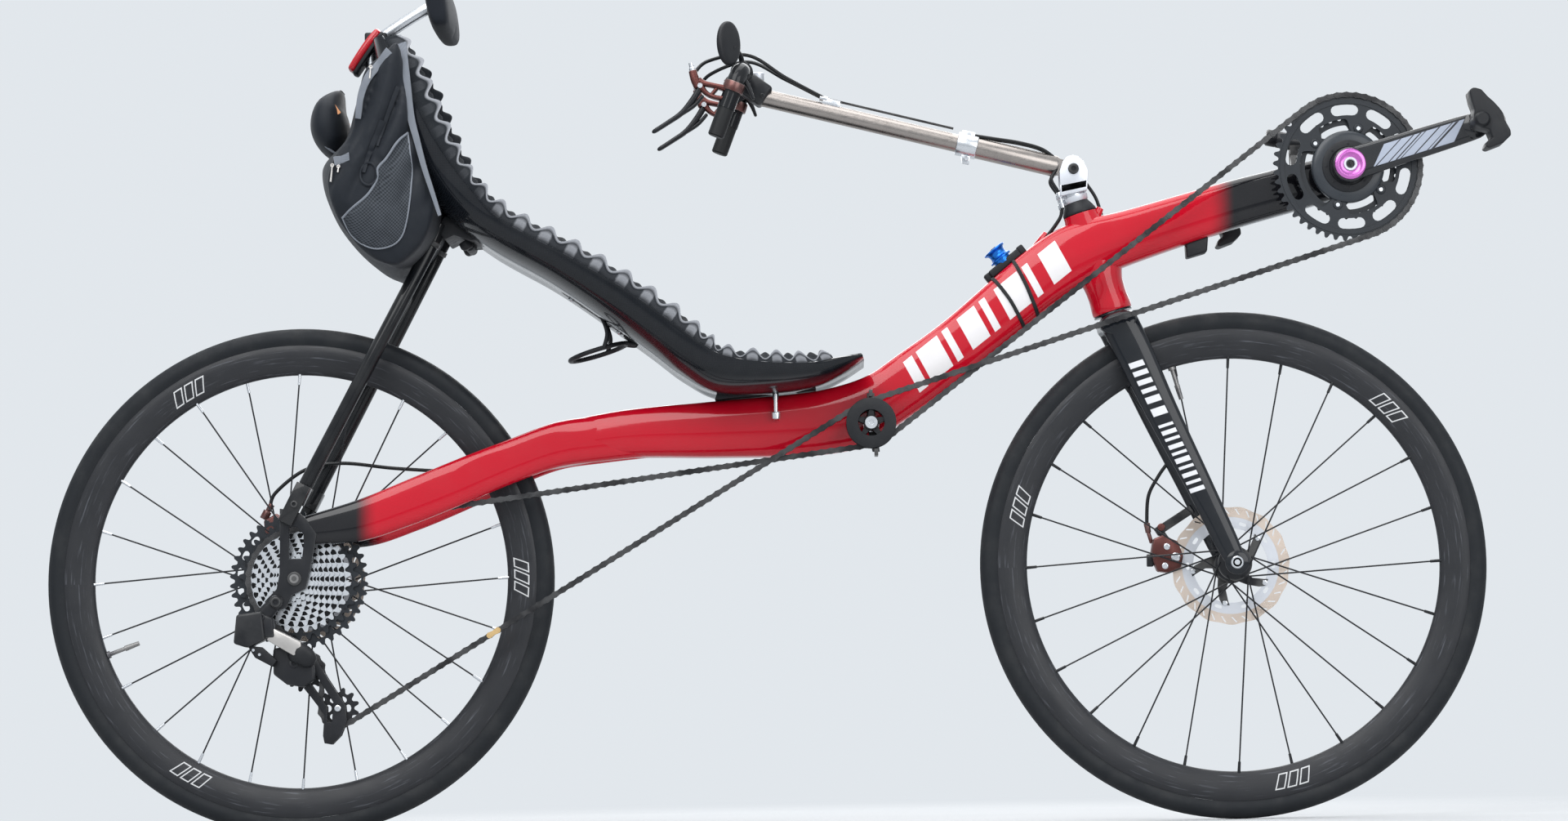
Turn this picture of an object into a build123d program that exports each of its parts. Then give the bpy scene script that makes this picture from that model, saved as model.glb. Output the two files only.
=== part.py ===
from build123d import *
import os
from math import acos, atan2, cos, degrees, hypot, pi, radians, sin

# Recumbent bicycle in millimetres: +X forward, +Y to the rider's left, +Z up.
# Tables give positions ahead of the rear hub and above the ground.
# at() shifts them to the shared frame, whose origin is the seat reference point.

SEAT_X = 620.0
SEAT_Z = 620.0

# Wheels. REAR_HUB is the rear hub's x and z in the tables; both hubs stand at its height.
WHEELBASE = 1249.0
REAR_HUB = (0.0, 339.5)
TYRE_RADIUS = 339.5
TYRE_WIDTH = 28.0
TYRE_HEIGHT = 23.5
RIM_DEPTH = 39.5
RIM_OUTER_RADIUS = TYRE_RADIUS - TYRE_HEIGHT
RIM_INNER_RADIUS = RIM_OUTER_RADIUS - RIM_DEPTH
RIM_WIDTH = 27.0
RIM_EDGE_WIDTH = 14.0
SPOKE_COUNT = 24
SPOKE_RADIUS = 1.1
ROTOR_RADIUS = 80.0
ROTOR_THICKNESS = 2.0
ROTOR_BAND = 15.0
FRONT_HUB_FLANGE = 23.0
REAR_HUB_FLANGE = 26.0
FRONT_HUB_HALF = 47.0
REAR_HUB_LEFT = 62.0
REAR_HUB_RIGHT = 19.0
FRONT_AXLE_RADIUS = 6.0
REAR_AXLE_RADIUS = 6.0
RUNNING_GAP = 0.05

# Steering. The head tube stands on a fork that clears the tyre.
HEAD_ANGLE = 73.0
HEAD_TILT = radians(90.0 - HEAD_ANGLE)
CROWN_RISE = 33.04
FORK_LENGTH = TYRE_RADIUS + CROWN_RISE
RAKE = 46.72
HUB_Z = REAR_HUB[1]
HEAD_BOTTOM_X = WHEELBASE - RAKE * cos(HEAD_TILT) - FORK_LENGTH * sin(HEAD_TILT)
HEAD_BOTTOM_Z = HUB_Z - RAKE * sin(HEAD_TILT) + FORK_LENGTH * cos(HEAD_TILT)
HEAD_LENGTH = 139.0
HEAD_BOTTOM_RADIUS = 27.0
HEAD_TOP_RADIUS = 23.5
STEERER_RADIUS = 14.3
FORK_HALF_WIDTH = 59.0

# Drive. The crank axle's place is ahead of and above the head tube's lower end.
CRANK_AHEAD = 316.6
CRANK_ABOVE = 184.9
CRANK_X = HEAD_BOTTOM_X + CRANK_AHEAD
CRANK_Z = HEAD_BOTTOM_Z + CRANK_ABOVE
CRANK_LENGTH = 175.0
CRANK_ANGLE = 16.0
SHELL_RADIUS = 23.0
SHELL_HALF = 36.5
SPINDLE_RADIUS = 12.0
CHAINRING_TEETH = 48
PITCH = 12.7
CHAINRING_Y = -48.0
INNER_RING_Y = -41.0
CHAINRING_THICKNESS = 2.0
IDLER_X = 767.0
IDLER_Z = 534.0
IDLER_PITCH_RADIUS = 28.5
IDLER_FLANGE_RADIUS = 33.8
IDLER_INNER_Y = -44.0
IDLER_OUTER_Y = -55.5
CHAIN_HEIGHT = 8.6
CHAIN_INNER_WIDTH = 4.0
CHAIN_OUTER_WIDTH = 5.4
DRIVEN_TEETH = 33
DRIVEN_RADIUS = PITCH / (2.0 * sin(pi / DRIVEN_TEETH))
DRIVEN_Y = -32.75
UPPER_PULLEY = (8.0, 218.0)
LOWER_PULLEY = (52.0, 168.0)
PULLEY_RADIUS = 24.0

# Seat.
SHELL_THICKNESS = 4.0
FOAM_THICKNESS = 27.0

CHAINRING_RADIUS = PITCH / (2.0 * sin(pi / CHAINRING_TEETH))

os.makedirs("parts", exist_ok=True)


def save(shape, name):
    """Write one piece of the bicycle."""
    shape.label = name
    export_step(shape, f"parts/{name}.step")


def at(x, y, z):
    """Give the shared-frame point for a place ahead of the rear hub and above the ground."""
    return Vector(x - SEAT_X, y, z - SEAT_Z)


def along(start, end):
    """Give a plane at start that looks towards end, with its first direction close to +Y."""
    line = (end - start).normalized()
    side = Vector(0, 1, 0)
    if abs(line.Y) > 0.95:
        side = Vector(1, 0, 0)
    side = (side - line * side.dot(line)).normalized()
    return Plane(origin=start, x_dir=side, z_dir=line)


def rod(start, end, radius, end_radius=None):
    """Give a straight round bar, or a cone where the end radius differs."""
    place = along(start, end)
    length = (end - start).length
    if end_radius is None or end_radius == radius:
        return extrude(place * Circle(radius), amount=length)
    return loft([place * Circle(radius), place * Pos(0, 0, length) * Circle(end_radius)])


def tube(start, end, radius, wall):
    """Give a straight tube."""
    return rod(start, end, radius) - rod(start, end, radius - wall)


def bar(start, end, width, height):
    """Give a straight bar of box section, width across the bicycle."""
    place = along(start, end)
    return extrude(place * Rectangle(width, height), amount=(end - start).length)


def hose(points, radius):
    """Give a hose through a row of points, with mitred bends."""
    path = Polyline(*[at(*point) for point in points])
    start = at(*points[0])
    section = along(start, at(*points[1])) * Circle(radius)
    return sweep(section, path=path, transition=Transition.ROUND)


def disc(x, z, y_from, y_to, radius):
    """Give a round disc whose axis runs across the bicycle."""
    return rod(at(x, y_from, z), at(x, y_to, z), radius)


def ring(x, z, y_from, y_to, outer, inner):
    """Give a flat ring whose axis runs across the bicycle."""
    return disc(x, z, y_from, y_to, outer) - disc(x, z, y_from, y_to, inner)


def plate(points, y_from, y_to):
    """Give a flat plate from a side outline of (x, z) points."""
    outline = [at(x, y_from, z) for x, z in points]
    face = make_face(Polyline(*outline, close=True))
    return extrude(face, amount=abs(y_to - y_from), dir=(0, 1 if y_to > y_from else -1, 0))


def skin(rings):
    """Give a solid with flat sides through rows of points of equal count."""
    return loft([make_face(Polyline(*ring_points, close=True)) for ring_points in rings], ruled=True)


def from_head(points):
    """Give (x, z) places for points measured from the head tube's lower end."""
    return [(HEAD_BOTTOM_X + ahead, HEAD_BOTTOM_Z + above) for ahead, above in points]


def from_front_hub(points):
    """Give (x, z) places for points measured from the front hub."""
    return [(WHEELBASE + ahead, HUB_Z + above) for ahead, above in points]


def head_at(ahead, y, above):
    """Give a point by its place from the head tube's lower end."""
    return at(HEAD_BOTTOM_X + ahead, y, HEAD_BOTTOM_Z + above)


def steer(along_axis, ahead=0.0, y=0.0):
    """Give a point by its distance up the steering axis from the head tube's lower end."""
    x = HEAD_BOTTOM_X - along_axis * sin(HEAD_TILT) + ahead * cos(HEAD_TILT)
    z = HEAD_BOTTOM_Z + along_axis * cos(HEAD_TILT) + ahead * sin(HEAD_TILT)
    return at(x, y, z)


# ---------------------------------------------------------------- main frame
# The beam has three stretches: under the seat, the rise to the head tube, and the boom.
# Columns: x, lower z, depth, half width.
BEAM_SEAT = [
    (TYRE_RADIUS - 11.5, 482.0, 59.0, 33.0),
    (430.7, 496.2, 63.7, 31.0),
    (551.7, 495.1, 74.7, 30.0),
    (650.0, 494.5, 82.5, 30.0),
    (705.8, 497.0, 86.7, 30.0),
    (761.0, 507.7, 92.5, 30.0),
]
BEND_X = BEAM_SEAT[-1][0]
BEND_Z = BEAM_SEAT[-1][1]
# Columns: share of the way from the bend to the head tube's lower end, ahead and up; depth, half width.
BEAM_RISE = [
    (0.1328, 0.1606, 93.3, 30.0),
    (0.3325, 0.418, 95.6, 30.0),
    (0.5993, 0.8119, 102.2, 30.0),
    (0.7658, 1.0648, 97.6, 30.0),
    (0.898, 1.2116, 88.0, 30.0),
]
# Columns: ahead of and above the head tube's lower end, depth, half width.
BEAM_BOOM = [
    (21.1, 62.2, 74.7, 28.0),
    (153.6, 105.9, 66.0, 26.0),
    (241.9, 130.4, 62.0, 25.0),
    (304.6, 146.9, 60.0, 24.0),
]
# Columns: share of the half width, share of the height.
BEAM_SECTION = [
    (0.55, 0.0), (0.84, 0.1), (1.0, 0.52), (0.86, 0.85), (0.52, 1.0),
    (-0.52, 1.0), (-0.86, 0.85), (-1.0, 0.52), (-0.84, 0.1), (-0.55, 0.0),
]
# Columns: x, lower z, upper z, inner y, outer y, for the stay on one side.
STAY = [
    (14.0, 401.0, 421.0, 57.0, 70.0),
    (84.9, 397.5, 443.0, 54.0, 72.0),
    (150.6, 412.0, 468.0, 47.0, 66.0),
    (215.0, 435.0, 494.0, 41.0, 60.0),
    (279.0, 463.0, 521.0, 24.0, 47.0),
    (TYRE_RADIUS + 5.5, 487.0, 545.0, 12.0, 36.0),
]
# Columns: share of the width from the inner side, share of the height.
STAY_SECTION = [(0.25, 0.0), (0.85, 0.04), (1.0, 0.5), (0.8, 0.94), (0.2, 1.0), (0.0, 0.5)]


def rise(ahead, up):
    """Give (x, z) for shares of the way from the beam's bend to the head tube's lower end."""
    return BEND_X + ahead * (HEAD_BOTTOM_X - BEND_X), BEND_Z + up * (HEAD_BOTTOM_Z - BEND_Z)


def beam_ring(x, low, depth, half):
    """Give one station of the beam."""
    return [at(x, half * side, low + depth * up) for side, up in BEAM_SECTION]


def flare_ring(up_axis, deep, wide):
    """Give one station of the head tube, which swells into the beam."""
    return [steer(up_axis, deep * cos(2 * pi * i / FLARE_SIDES), wide * sin(2 * pi * i / FLARE_SIDES))
            for i in range(FLARE_SIDES)]


def stay_ring(x, low, high, inner, outer, side):
    """Give one station of a rear stay."""
    return [at(x, side * (inner + (outer - inner) * out), low + (high - low) * up) for out, up in STAY_SECTION]


FLARE_SIDES = 20
# Columns: share of the head tube's length, half depth along the beam, half width.
FLARE = [
    (0.0, HEAD_BOTTOM_RADIUS, HEAD_BOTTOM_RADIUS),
    (0.18, HEAD_BOTTOM_RADIUS - 1.0, HEAD_BOTTOM_RADIUS - 1.0),
    (0.32, 28.0, 27.0),
    (0.45, 38.0, 28.0),
    (0.56, 56.0, 27.0),
    (0.72, 40.0, 26.0),
    (0.85, 27.0, 24.5),
    (1.0, HEAD_TOP_RADIUS, HEAD_TOP_RADIUS),
]

stations = BEAM_SEAT + [(*rise(ahead, up), depth, half) for ahead, up, depth, half in BEAM_RISE]
stations += [(HEAD_BOTTOM_X + ahead, HEAD_BOTTOM_Z + above, depth, half) for ahead, above, depth, half in BEAM_BOOM]
frame = skin([beam_ring(*station) for station in stations])
for side in (-1, 1):
    frame += skin([stay_ring(*station, side) for station in STAY])
frame += skin([flare_ring(share * HEAD_LENGTH, deep, wide) for share, deep, wide in FLARE])
frame += disc(CRANK_X, CRANK_Z, -SHELL_HALF, SHELL_HALF, SHELL_RADIUS)
STEERER_BORE = STEERER_RADIUS + 1.2
frame -= rod(steer(-5), steer(HEAD_LENGTH + 40), STEERER_BORE)
frame -= disc(CRANK_X, CRANK_Z, -60, 60, SPINDLE_RADIUS + RUNNING_GAP)
save(frame, "main_frame")

# ------------------------------------------------------------------ dropouts
DROPOUT = [
    (-19.0, 433.0), (4.0, 429.0), (14.0, 421.0), (30.0, 398.0), (24.0, 370.0), (18.0, 340.0),
    (14.0, 326.0), (-4.0, 318.0), (-12.0, 301.0), (-32.0, 296.0), (-40.0, 310.0), (-24.0, 326.0),
    (-20.0, 345.0), (-19.0, 390.0),
]
DROPOUT_WINDOW = [(-7.0, 366.0), (10.0, 366.0), (14.0, 396.0), (4.0, 408.0), (-7.0, 408.0)]
LEFT_DROPOUT = DROPOUT[:7] + [(-14.0, 326.0), (-20.0, 345.0), (-19.0, 390.0)]
DROPOUT_INNER_Y = 66.0
DROPOUT_OUTER_Y = 73.0
dropouts = {}
for side, name, outline in ((-1, "dropout_right", DROPOUT), (1, "dropout_left", LEFT_DROPOUT)):
    piece = plate(outline, side * DROPOUT_INNER_Y, side * DROPOUT_OUTER_Y)
    piece -= plate(DROPOUT_WINDOW, side * (DROPOUT_INNER_Y - 5), side * (DROPOUT_OUTER_Y + 5))
    piece -= disc(*REAR_HUB, side * 60, side * 80, REAR_AXLE_RADIUS)
    piece += disc(-7, 422, side * DROPOUT_INNER_Y, side * (DROPOUT_OUTER_Y + 8), 6)
    dropouts[name] = piece - frame
    save(dropouts[name], name)

# Seat stays run from the dropout bolts up to the back of the seat.
STAY_LOW = (-7.0, 64.0, 422.0)
STAY_HIGH = (198.0, 46.0, 812.0)
STAY_TUBE_RADIUS = 9.5
stays = {}
for side, name in ((-1, "seat_stay_right"), (1, "seat_stay_left")):
    low = at(STAY_LOW[0] + 12, side * STAY_LOW[1], STAY_LOW[2] + 24)
    high = at(STAY_HIGH[0], side * STAY_HIGH[1], STAY_HIGH[2])
    piece = rod(low, high, STAY_TUBE_RADIUS)
    piece += bar(at(-12, side * 77, 413), at(14, side * 76, 464), 6, 22)
    piece += bar(at(2, side * 66, 440), at(14, side * 66, 464), 24, 22)
    piece -= disc(-7, 422, side * 60, side * 90, 6)
    piece -= plate(DROPOUT, side * (DROPOUT_INNER_Y - 0.5), side * DROPOUT_OUTER_Y)
    stays[name] = piece
    save(piece, name)

# ---------------------------------------------------------------- seat shell
# Columns: x, z on the outer spine, tilt of the section in degrees, lip height, half width.
SEAT = [
    (757.0, 621.0, -35.0, 6.0, 88.0),
    (728.0, 603.0, -34.0, 22.0, 105.0),
    (690.0, 588.0, -18.0, 33.0, 118.0),
    (626.0, 581.0, 2.0, 40.0, 128.0),
    (562.0, 583.0, 14.0, 48.0, 132.0),
    (517.0, 606.0, 34.0, 54.0, 132.0),
    (473.0, 640.0, 39.0, 58.0, 130.0),
    (418.0, 681.0, 37.0, 56.0, 128.0),
    (345.0, 732.0, 34.0, 50.0, 127.0),
    (262.0, 781.0, 36.0, 46.0, 128.0),
    (205.0, 829.0, 48.0, 44.0, 124.0),
    (165.0, 886.0, 58.0, 42.0, 119.0),
    (137.0, 950.0, 67.0, 38.0, 113.0),
    (120.0, 1015.0, 76.0, 28.0, 102.0),
    (112.0, 1060.0, 82.0, 14.0, 80.0),
]
# Columns: share of the half width, share of the lip height.
SHELL_SECTION = [(1.0, 1.0), (0.93, 0.42), (0.6, 0.0), (-0.6, 0.0), (-0.93, 0.42), (-1.0, 1.0)]
FOAM_RISE = 9.0


def seat_point(x, z, tilt, side, lift):
    """Give a point of a seat section, lift measured square to the spine."""
    angle = radians(tilt)
    return at(x + lift * sin(angle), side, z + lift * cos(angle))


def shell_ring(x, z, tilt, lip, half):
    """Give one station of the shell with its wall."""
    outer = [(half * s, lip * r) for s, r in SHELL_SECTION]
    inner = inner_row(lip, half)
    return [seat_point(x, z, tilt, s, r) for s, r in outer + inner[::-1]]


def inner_row(lip, half):
    """Give the shell's inner line as (side, lift) pairs."""
    row = []
    for s, r in SHELL_SECTION:
        across = s * half - (SHELL_THICKNESS if s > 0 else -SHELL_THICKNESS) * (0.35 if r == 0 else 1.0)
        row.append((across, lip * r + (SHELL_THICKNESS if r == 0 else SHELL_THICKNESS * 0.4 * (r < 1))))
    return row


def foam_ring(x, z, tilt, lip, half):
    """Give one station of the foam, which fills the shell up to just above its lips."""
    inner = inner_row(lip, half)
    top_edge = lip + FOAM_RISE
    middle = SHELL_THICKNESS + FOAM_THICKNESS
    top = [(-half + 9, top_edge), (-0.55 * half, max(middle, 0.5 * lip)), (0.55 * half, max(middle, 0.5 * lip)),
           (half - 9, top_edge)]
    return [seat_point(x, z, tilt, s, r) for s, r in inner + top]


shell = skin([shell_ring(*station) for station in SEAT])
foam = skin([foam_ring(*station) for station in SEAT[1:]]) - shell
save(shell, "seat_shell")
save(foam, "seat_foam")

# A low rubber-faced block carries the shell on the beam.
seat_base = plate([(558, 571), (694, 583), (694, 589), (662, 584.5), (626, 581.5), (562, 583.5)], -24, 24)
seat_base += bar(at(640, -38, 575), at(640, -22, 580), 8, 14)
seat_base += rod(at(640, -36, 548), at(640, -36, 580), 3)
seat_base -= frame
seat_base -= shell
save(seat_base - foam, "seat_base")

# ------------------------------------------------------------------ headrest
headrest = hose([(103, 0, 1012), (99, 0, 1058), (120, 0, 1078), (170, 0, 1109), (190, 0, 1114)], 8) - shell
pad = skin([[at(x0, y, z0), at(x1, y, z1), at(x2, y, z2), at(x3, y, z3)] for y, x0, z0, x1, z1, x2, z2, x3, z3 in [
    (-92, 186, 1085, 206, 1085, 200, 1125, 186, 1125),
    (-70, 184, 1070, 214, 1072, 205, 1145, 180, 1145),
    (70, 184, 1070, 214, 1072, 205, 1145, 180, 1145),
    (92, 186, 1085, 206, 1085, 200, 1125, 186, 1125)]])
save(pad, "headrest_pad")
headrest -= pad
save(headrest, "headrest_bracket")

# ---------------------------------------------------------------------- bag
BAG = [
    (100, 1052), (84, 1040), (76, 1022), (70, 985), (32, 946), (28, 905), (40, 863),
    (50, 800), (83, 765), (143, 743), (190, 790), (196, 835), (162, 890), (134, 950), (116, 1015), (108, 1050),
]
# The bag's sides reach forward past the seat's edge.
BAG_SIDE = [
    (150, 1054), (120, 1062), (90, 1040), (80, 985), (60, 930), (60, 850), (80, 790),
    (143, 752), (186, 790), (196, 850), (180, 930), (160, 1010),
]
BAG_CENTRE = (105.0, 900.0)
BAG_HALF = 140.0
BAG_SHOULDER = 127.0


def bag_ring(outline, y, share):
    """Give one station of the bag, shrunk about its middle."""
    x0, z0 = BAG_CENTRE
    return [at(x0 + (x - x0) * share, y, z0 + (z - z0) * share) for x, z in outline]


bag = skin([bag_ring(BAG, -BAG_SHOULDER, 0.97), bag_ring(BAG, 0, 1.0), bag_ring(BAG, BAG_SHOULDER, 0.97)])
for side in (-1, 1):
    bag += skin([bag_ring(BAG_SIDE, side * (BAG_SHOULDER - 1), 1.0), bag_ring(BAG_SIDE, side * BAG_HALF, 0.8)])
for piece in (shell, foam, headrest, stays["seat_stay_left"], stays["seat_stay_right"]):
    bag -= piece
save(bag, "seat_bag")
save(bar(at(112, 0, 1082), at(72, 0, 1026), 42, 13) - bag - headrest, "rear_lamp")

# -------------------------------------------------------------- bottle cage
cage = bar(at(351.4, 0, 726.3), at(454.4, 0, 652.6), 26, 5)
CAGE_RING = at(402, 0, 640)
CAGE_AXIS = Vector(-0.28, 0, 0.96)
CAGE_RADIUS = 38.0
cage += rod(CAGE_RING - CAGE_AXIS * 4, CAGE_RING + CAGE_AXIS * 4, CAGE_RADIUS + 3)
cage -= rod(CAGE_RING - CAGE_AXIS * 6, CAGE_RING + CAGE_AXIS * 6, CAGE_RADIUS)
for side in (-1, 1):
    cage += hose([(380, side * 11, 706), (404, side * 30, 691), (416, side * 39, 664), (412, side * 39.5, 643)], 3.2)
    cage += hose([(438, side * 14, 651), (462, side * 11, 652)], 3.2)
cage -= foam
save(cage - shell, "bottle_cage")

# ------------------------------------------------------------ idler bracket
idler_bracket = disc(IDLER_X, IDLER_Z, -29, -63, 4.0)
idler_bracket += disc(IDLER_X, IDLER_Z, -28, -38.5, 11)
idler_bracket += disc(IDLER_X, IDLER_Z, -61.4, -64, 9)
save(idler_bracket - frame, "idler_bracket")

# -------------------------------------------------------------------- chain
# Each wheel of the chain run: x, z, pitch radius, y, and which way the chain turns round it.
CHAINRING = (CRANK_X, CRANK_Z, CHAINRING_RADIUS, CHAINRING_Y)
SPROCKET = (*REAR_HUB, DRIVEN_RADIUS, DRIVEN_Y)
IDLER_LOW = (IDLER_X, IDLER_Z, IDLER_PITCH_RADIUS, IDLER_INNER_Y)
IDLER_HIGH = (IDLER_X, IDLER_Z, IDLER_PITCH_RADIUS, IDLER_OUTER_Y)
UPPER = (*UPPER_PULLEY, PULLEY_RADIUS, DRIVEN_Y)
LOWER = (*LOWER_PULLEY, PULLEY_RADIUS, DRIVEN_Y)


def tangent(first, second, side_first, side_second):
    """Give the two touch points of a straight run, side +1 to the left of its direction."""
    x1, z1, r1, y1 = first
    x2, z2, r2, y2 = second
    dx = x2 - x1
    dz = z2 - z1
    gap = hypot(dx, dz)
    turn = acos((side_first * r1 - side_second * r2) / gap)
    angle = atan2(dz, dx) + turn
    nx = cos(angle)
    nz = sin(angle)
    return ((x1 + side_first * r1 * nx, y1, z1 + side_first * r1 * nz),
            (x2 + side_second * r2 * nx, y2, z2 + side_second * r2 * nz))


# Drive run rearward: over the ring, under the idler, over the sprocket; then down and forward.
DRIVE_FRONT = tangent(CHAINRING, IDLER_LOW, -1, 1)
DRIVE_REAR = tangent(IDLER_LOW, SPROCKET, 1, -1)
DROP = tangent(SPROCKET, UPPER, -1, 1)
CAGE_RUN = tangent(UPPER, LOWER, 1, -1)
RETURN_REAR = tangent(LOWER, IDLER_HIGH, -1, 1)
RETURN_FRONT = tangent(IDLER_HIGH, CHAINRING, 1, -1)
TOOTH_CLEAR = 46.0


def chain_run(run, width, trim_start=0.0, trim_end=0.0):
    """Give a straight stretch of chain."""
    start = at(*run[0])
    end = at(*run[1])
    line = (end - start).normalized()
    return bar(start + line * trim_start, end - line * trim_end, width, CHAIN_HEIGHT)


def chain_arc(wheel, start, end, clockwise, width, y_shift=0.0):
    """Give the stretch of chain round a wheel between two touch points."""
    x, z, radius, y = wheel
    first = atan2(start[2] - z, start[0] - x)
    last = atan2(end[2] - z, end[0] - x)
    sweep_angle = (first - last) % (2 * pi) if clockwise else (last - first) % (2 * pi)
    low = radius - CHAIN_HEIGHT / 2
    high = radius + CHAIN_HEIGHT / 2
    place = Plane(origin=at(x, y + y_shift + width / 2, z), x_dir=(1, 0, 0), z_dir=(0, -1, 0))
    begin = degrees(last if clockwise else first)
    span = degrees(sweep_angle)
    outer = CenterArc((0, 0), high, begin, span)
    inner = CenterArc((0, 0), low, begin, span)
    outline = [outer, Line(outer @ 1, inner @ 1), inner, Line(outer @ 0, inner @ 0)]
    return extrude(place * make_face(outline), amount=width)


chain = chain_run(DRIVE_FRONT, CHAIN_INNER_WIDTH, trim_start=TOOTH_CLEAR)
chain += chain_arc(IDLER_LOW, DRIVE_FRONT[1], DRIVE_REAR[0], True, CHAIN_INNER_WIDTH)
chain += chain_run(DRIVE_REAR, CHAIN_INNER_WIDTH)
chain += chain_arc(SPROCKET, DRIVE_REAR[1], DROP[0], False, CHAIN_INNER_WIDTH)
chain += chain_run(DROP, CHAIN_INNER_WIDTH)
chain += chain_arc(UPPER, DROP[1], CAGE_RUN[0], True, CHAIN_INNER_WIDTH)
chain += chain_run(CAGE_RUN, CHAIN_INNER_WIDTH)
chain += chain_arc(LOWER, CAGE_RUN[1], RETURN_REAR[0], False, CHAIN_INNER_WIDTH)
chain += chain_run(RETURN_REAR, CHAIN_INNER_WIDTH)
chain += chain_arc(IDLER_HIGH, RETURN_REAR[1], RETURN_FRONT[0], True, CHAIN_INNER_WIDTH)
chain += chain_run(RETURN_FRONT, CHAIN_INNER_WIDTH, trim_end=TOOTH_CLEAR)
SIDE_PLATE = 1.0
SIDE_PLATE_Y = CHAIN_OUTER_WIDTH / 2 - SIDE_PLATE / 2
for shift in (-SIDE_PLATE_Y, SIDE_PLATE_Y):
    chain += chain_arc(CHAINRING, RETURN_FRONT[1], DRIVE_FRONT[0], False, SIDE_PLATE, shift)
    for run, flip in ((DRIVE_FRONT, False), (RETURN_FRONT, True)):
        start = at(*run[1 if flip else 0]) + Vector(0, shift, 0)
        line = (at(*run[0 if flip else 1]) - at(*run[1 if flip else 0])).normalized()
        chain += bar(start, start + line * (TOOTH_CLEAR + 8), SIDE_PLATE, CHAIN_HEIGHT)
save(chain, "chain")

# ----------------------------------------------------------------- cassette
# A tooth on a pitch circle, as columns: distance out from the circle, half width.
TOOTH = [(-7.0, 4.2), (-1.0, 3.0), (3.9, 1.0)]
TOOTH_ROOT = 3.6


def tooth_row(count, pitch_radius):
    """Give the outlines of the teeth of one toothed wheel."""
    corners = [(pitch_radius + out, -half) for out, half in TOOTH] + [
        (pitch_radius + out, half) for out, half in TOOTH[::-1]]
    return Sketch() + [Rot(0, 0, 360 * index / count) * make_face(Polyline(*corners, close=True))
                       for index in range(count)]


# Columns: teeth, distance out from the first sprocket.
SPROCKETS = [(44, 0.0), (38, 3.9), (33, 7.8), (29, 11.4), (26, 15.0), (23, 18.6),
             (20, 22.2), (17, 25.8), (15, 29.4), (13, 33.0), (11, 36.6)]
FIRST_SPROCKET_Y = -24.0
SPROCKET_THICKNESS = 1.9
cassette = disc(*REAR_HUB, -22.0, -64.0, 17)
for teeth, step in SPROCKETS:
    pitch_radius = PITCH / (2 * sin(pi / teeth))
    y = FIRST_SPROCKET_Y - step
    edge = DRIVEN_RADIUS - CHAIN_HEIGHT / 2 if teeth == DRIVEN_TEETH else pitch_radius - 1.0
    if teeth > DRIVEN_TEETH:
        place = Plane(origin=at(REAR_HUB[0], y, REAR_HUB[1]), x_dir=(1, 0, 0), z_dir=(0, -1, 0))
        cassette += extrude(place * (Circle(pitch_radius - TOOTH_ROOT) + tooth_row(teeth, pitch_radius)),
                            amount=SPROCKET_THICKNESS)
    else:
        cassette += disc(*REAR_HUB, y, y - SPROCKET_THICKNESS, edge)
cassette += disc(*REAR_HUB, -77, 77, REAR_AXLE_RADIUS)
cassette += disc(*REAR_HUB, -62, -66, 11)
cassette += disc(*REAR_HUB, 63.5, 66, 9)
save(cassette, "cassette")

# --------------------------------------------------------------- derailleur
derailleur = disc(-24, 309, -60, -80, 8)
derailleur += bar(at(-24, -68, 309), at(-48, -68, 284), 16, 22)
derailleur += plate([(-84, 292), (-50, 296), (-46, 258), (-70, 250), (-88, 256)], -60, -84)
derailleur += plate([(-52, 292), (-34, 282), (-30, 262), (-56, 262)], -58, -78)
derailleur += plate([(-45, 282), (-42, 268), (6, 244), (10, 250), (-6, 262)], -52, -76)
derailleur += plate([(-30, 248), (-30, 214), (10, 196), (24, 222), (16, 246), (-4, 252)], -46, -66)
cage_plate = [(10, 240), (24, 234), (62, 172), (64, 152), (44, 120), (32, 126), (34, 160), (0, 204), (-6, 226)]
CAGE_WINDOW = [(16, 206), (24, 210), (42, 180), (40, 156), (36, 156), (36, 172)]
derailleur_cage = plate(cage_plate, -37.5, -40.5) + plate(cage_plate, -24.5, -26.5)
derailleur_cage -= plate(CAGE_WINDOW, -20, -45)
for x, z in (UPPER_PULLEY, LOWER_PULLEY):
    derailleur_cage += disc(x, z, -26, -41, 5)
    derailleur_cage += disc(x, z, -30.8, -33.2, PULLEY_RADIUS - 5)
derailleur_cage += disc(14, 226, -40, -47, 9)
derailleur_cage -= chain
save(derailleur_cage, "derailleur_cage")
derailleur -= derailleur_cage
derailleur -= chain
save(derailleur - dropouts["dropout_right"], "derailleur_body")

# -------------------------------------------------------------- rear brake
rear_brake = plate([(-40, 432), (-6, 410), (-4, 396), (-28, 388), (-54, 402), (-56, 424)], 36.5, 46)
rear_brake += plate([(-40, 432), (-6, 410), (-4, 396), (-28, 388), (-54, 402), (-56, 424)], 54, 64)
rear_brake += plate([(-56, 424), (-40, 434), (-20, 422), (-34, 421)], 46, 54)
rear_brake += hose([(-44, 46, 424), (-40, 46, 462), (0, 47, 492), (50, 47, 500), (120, 47, 492), (200, 47, 486)], 2.5)
for piece in (frame, stays["seat_stay_left"], dropouts["dropout_left"]):
    rear_brake -= piece
save(rear_brake, "rear_brake")

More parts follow.
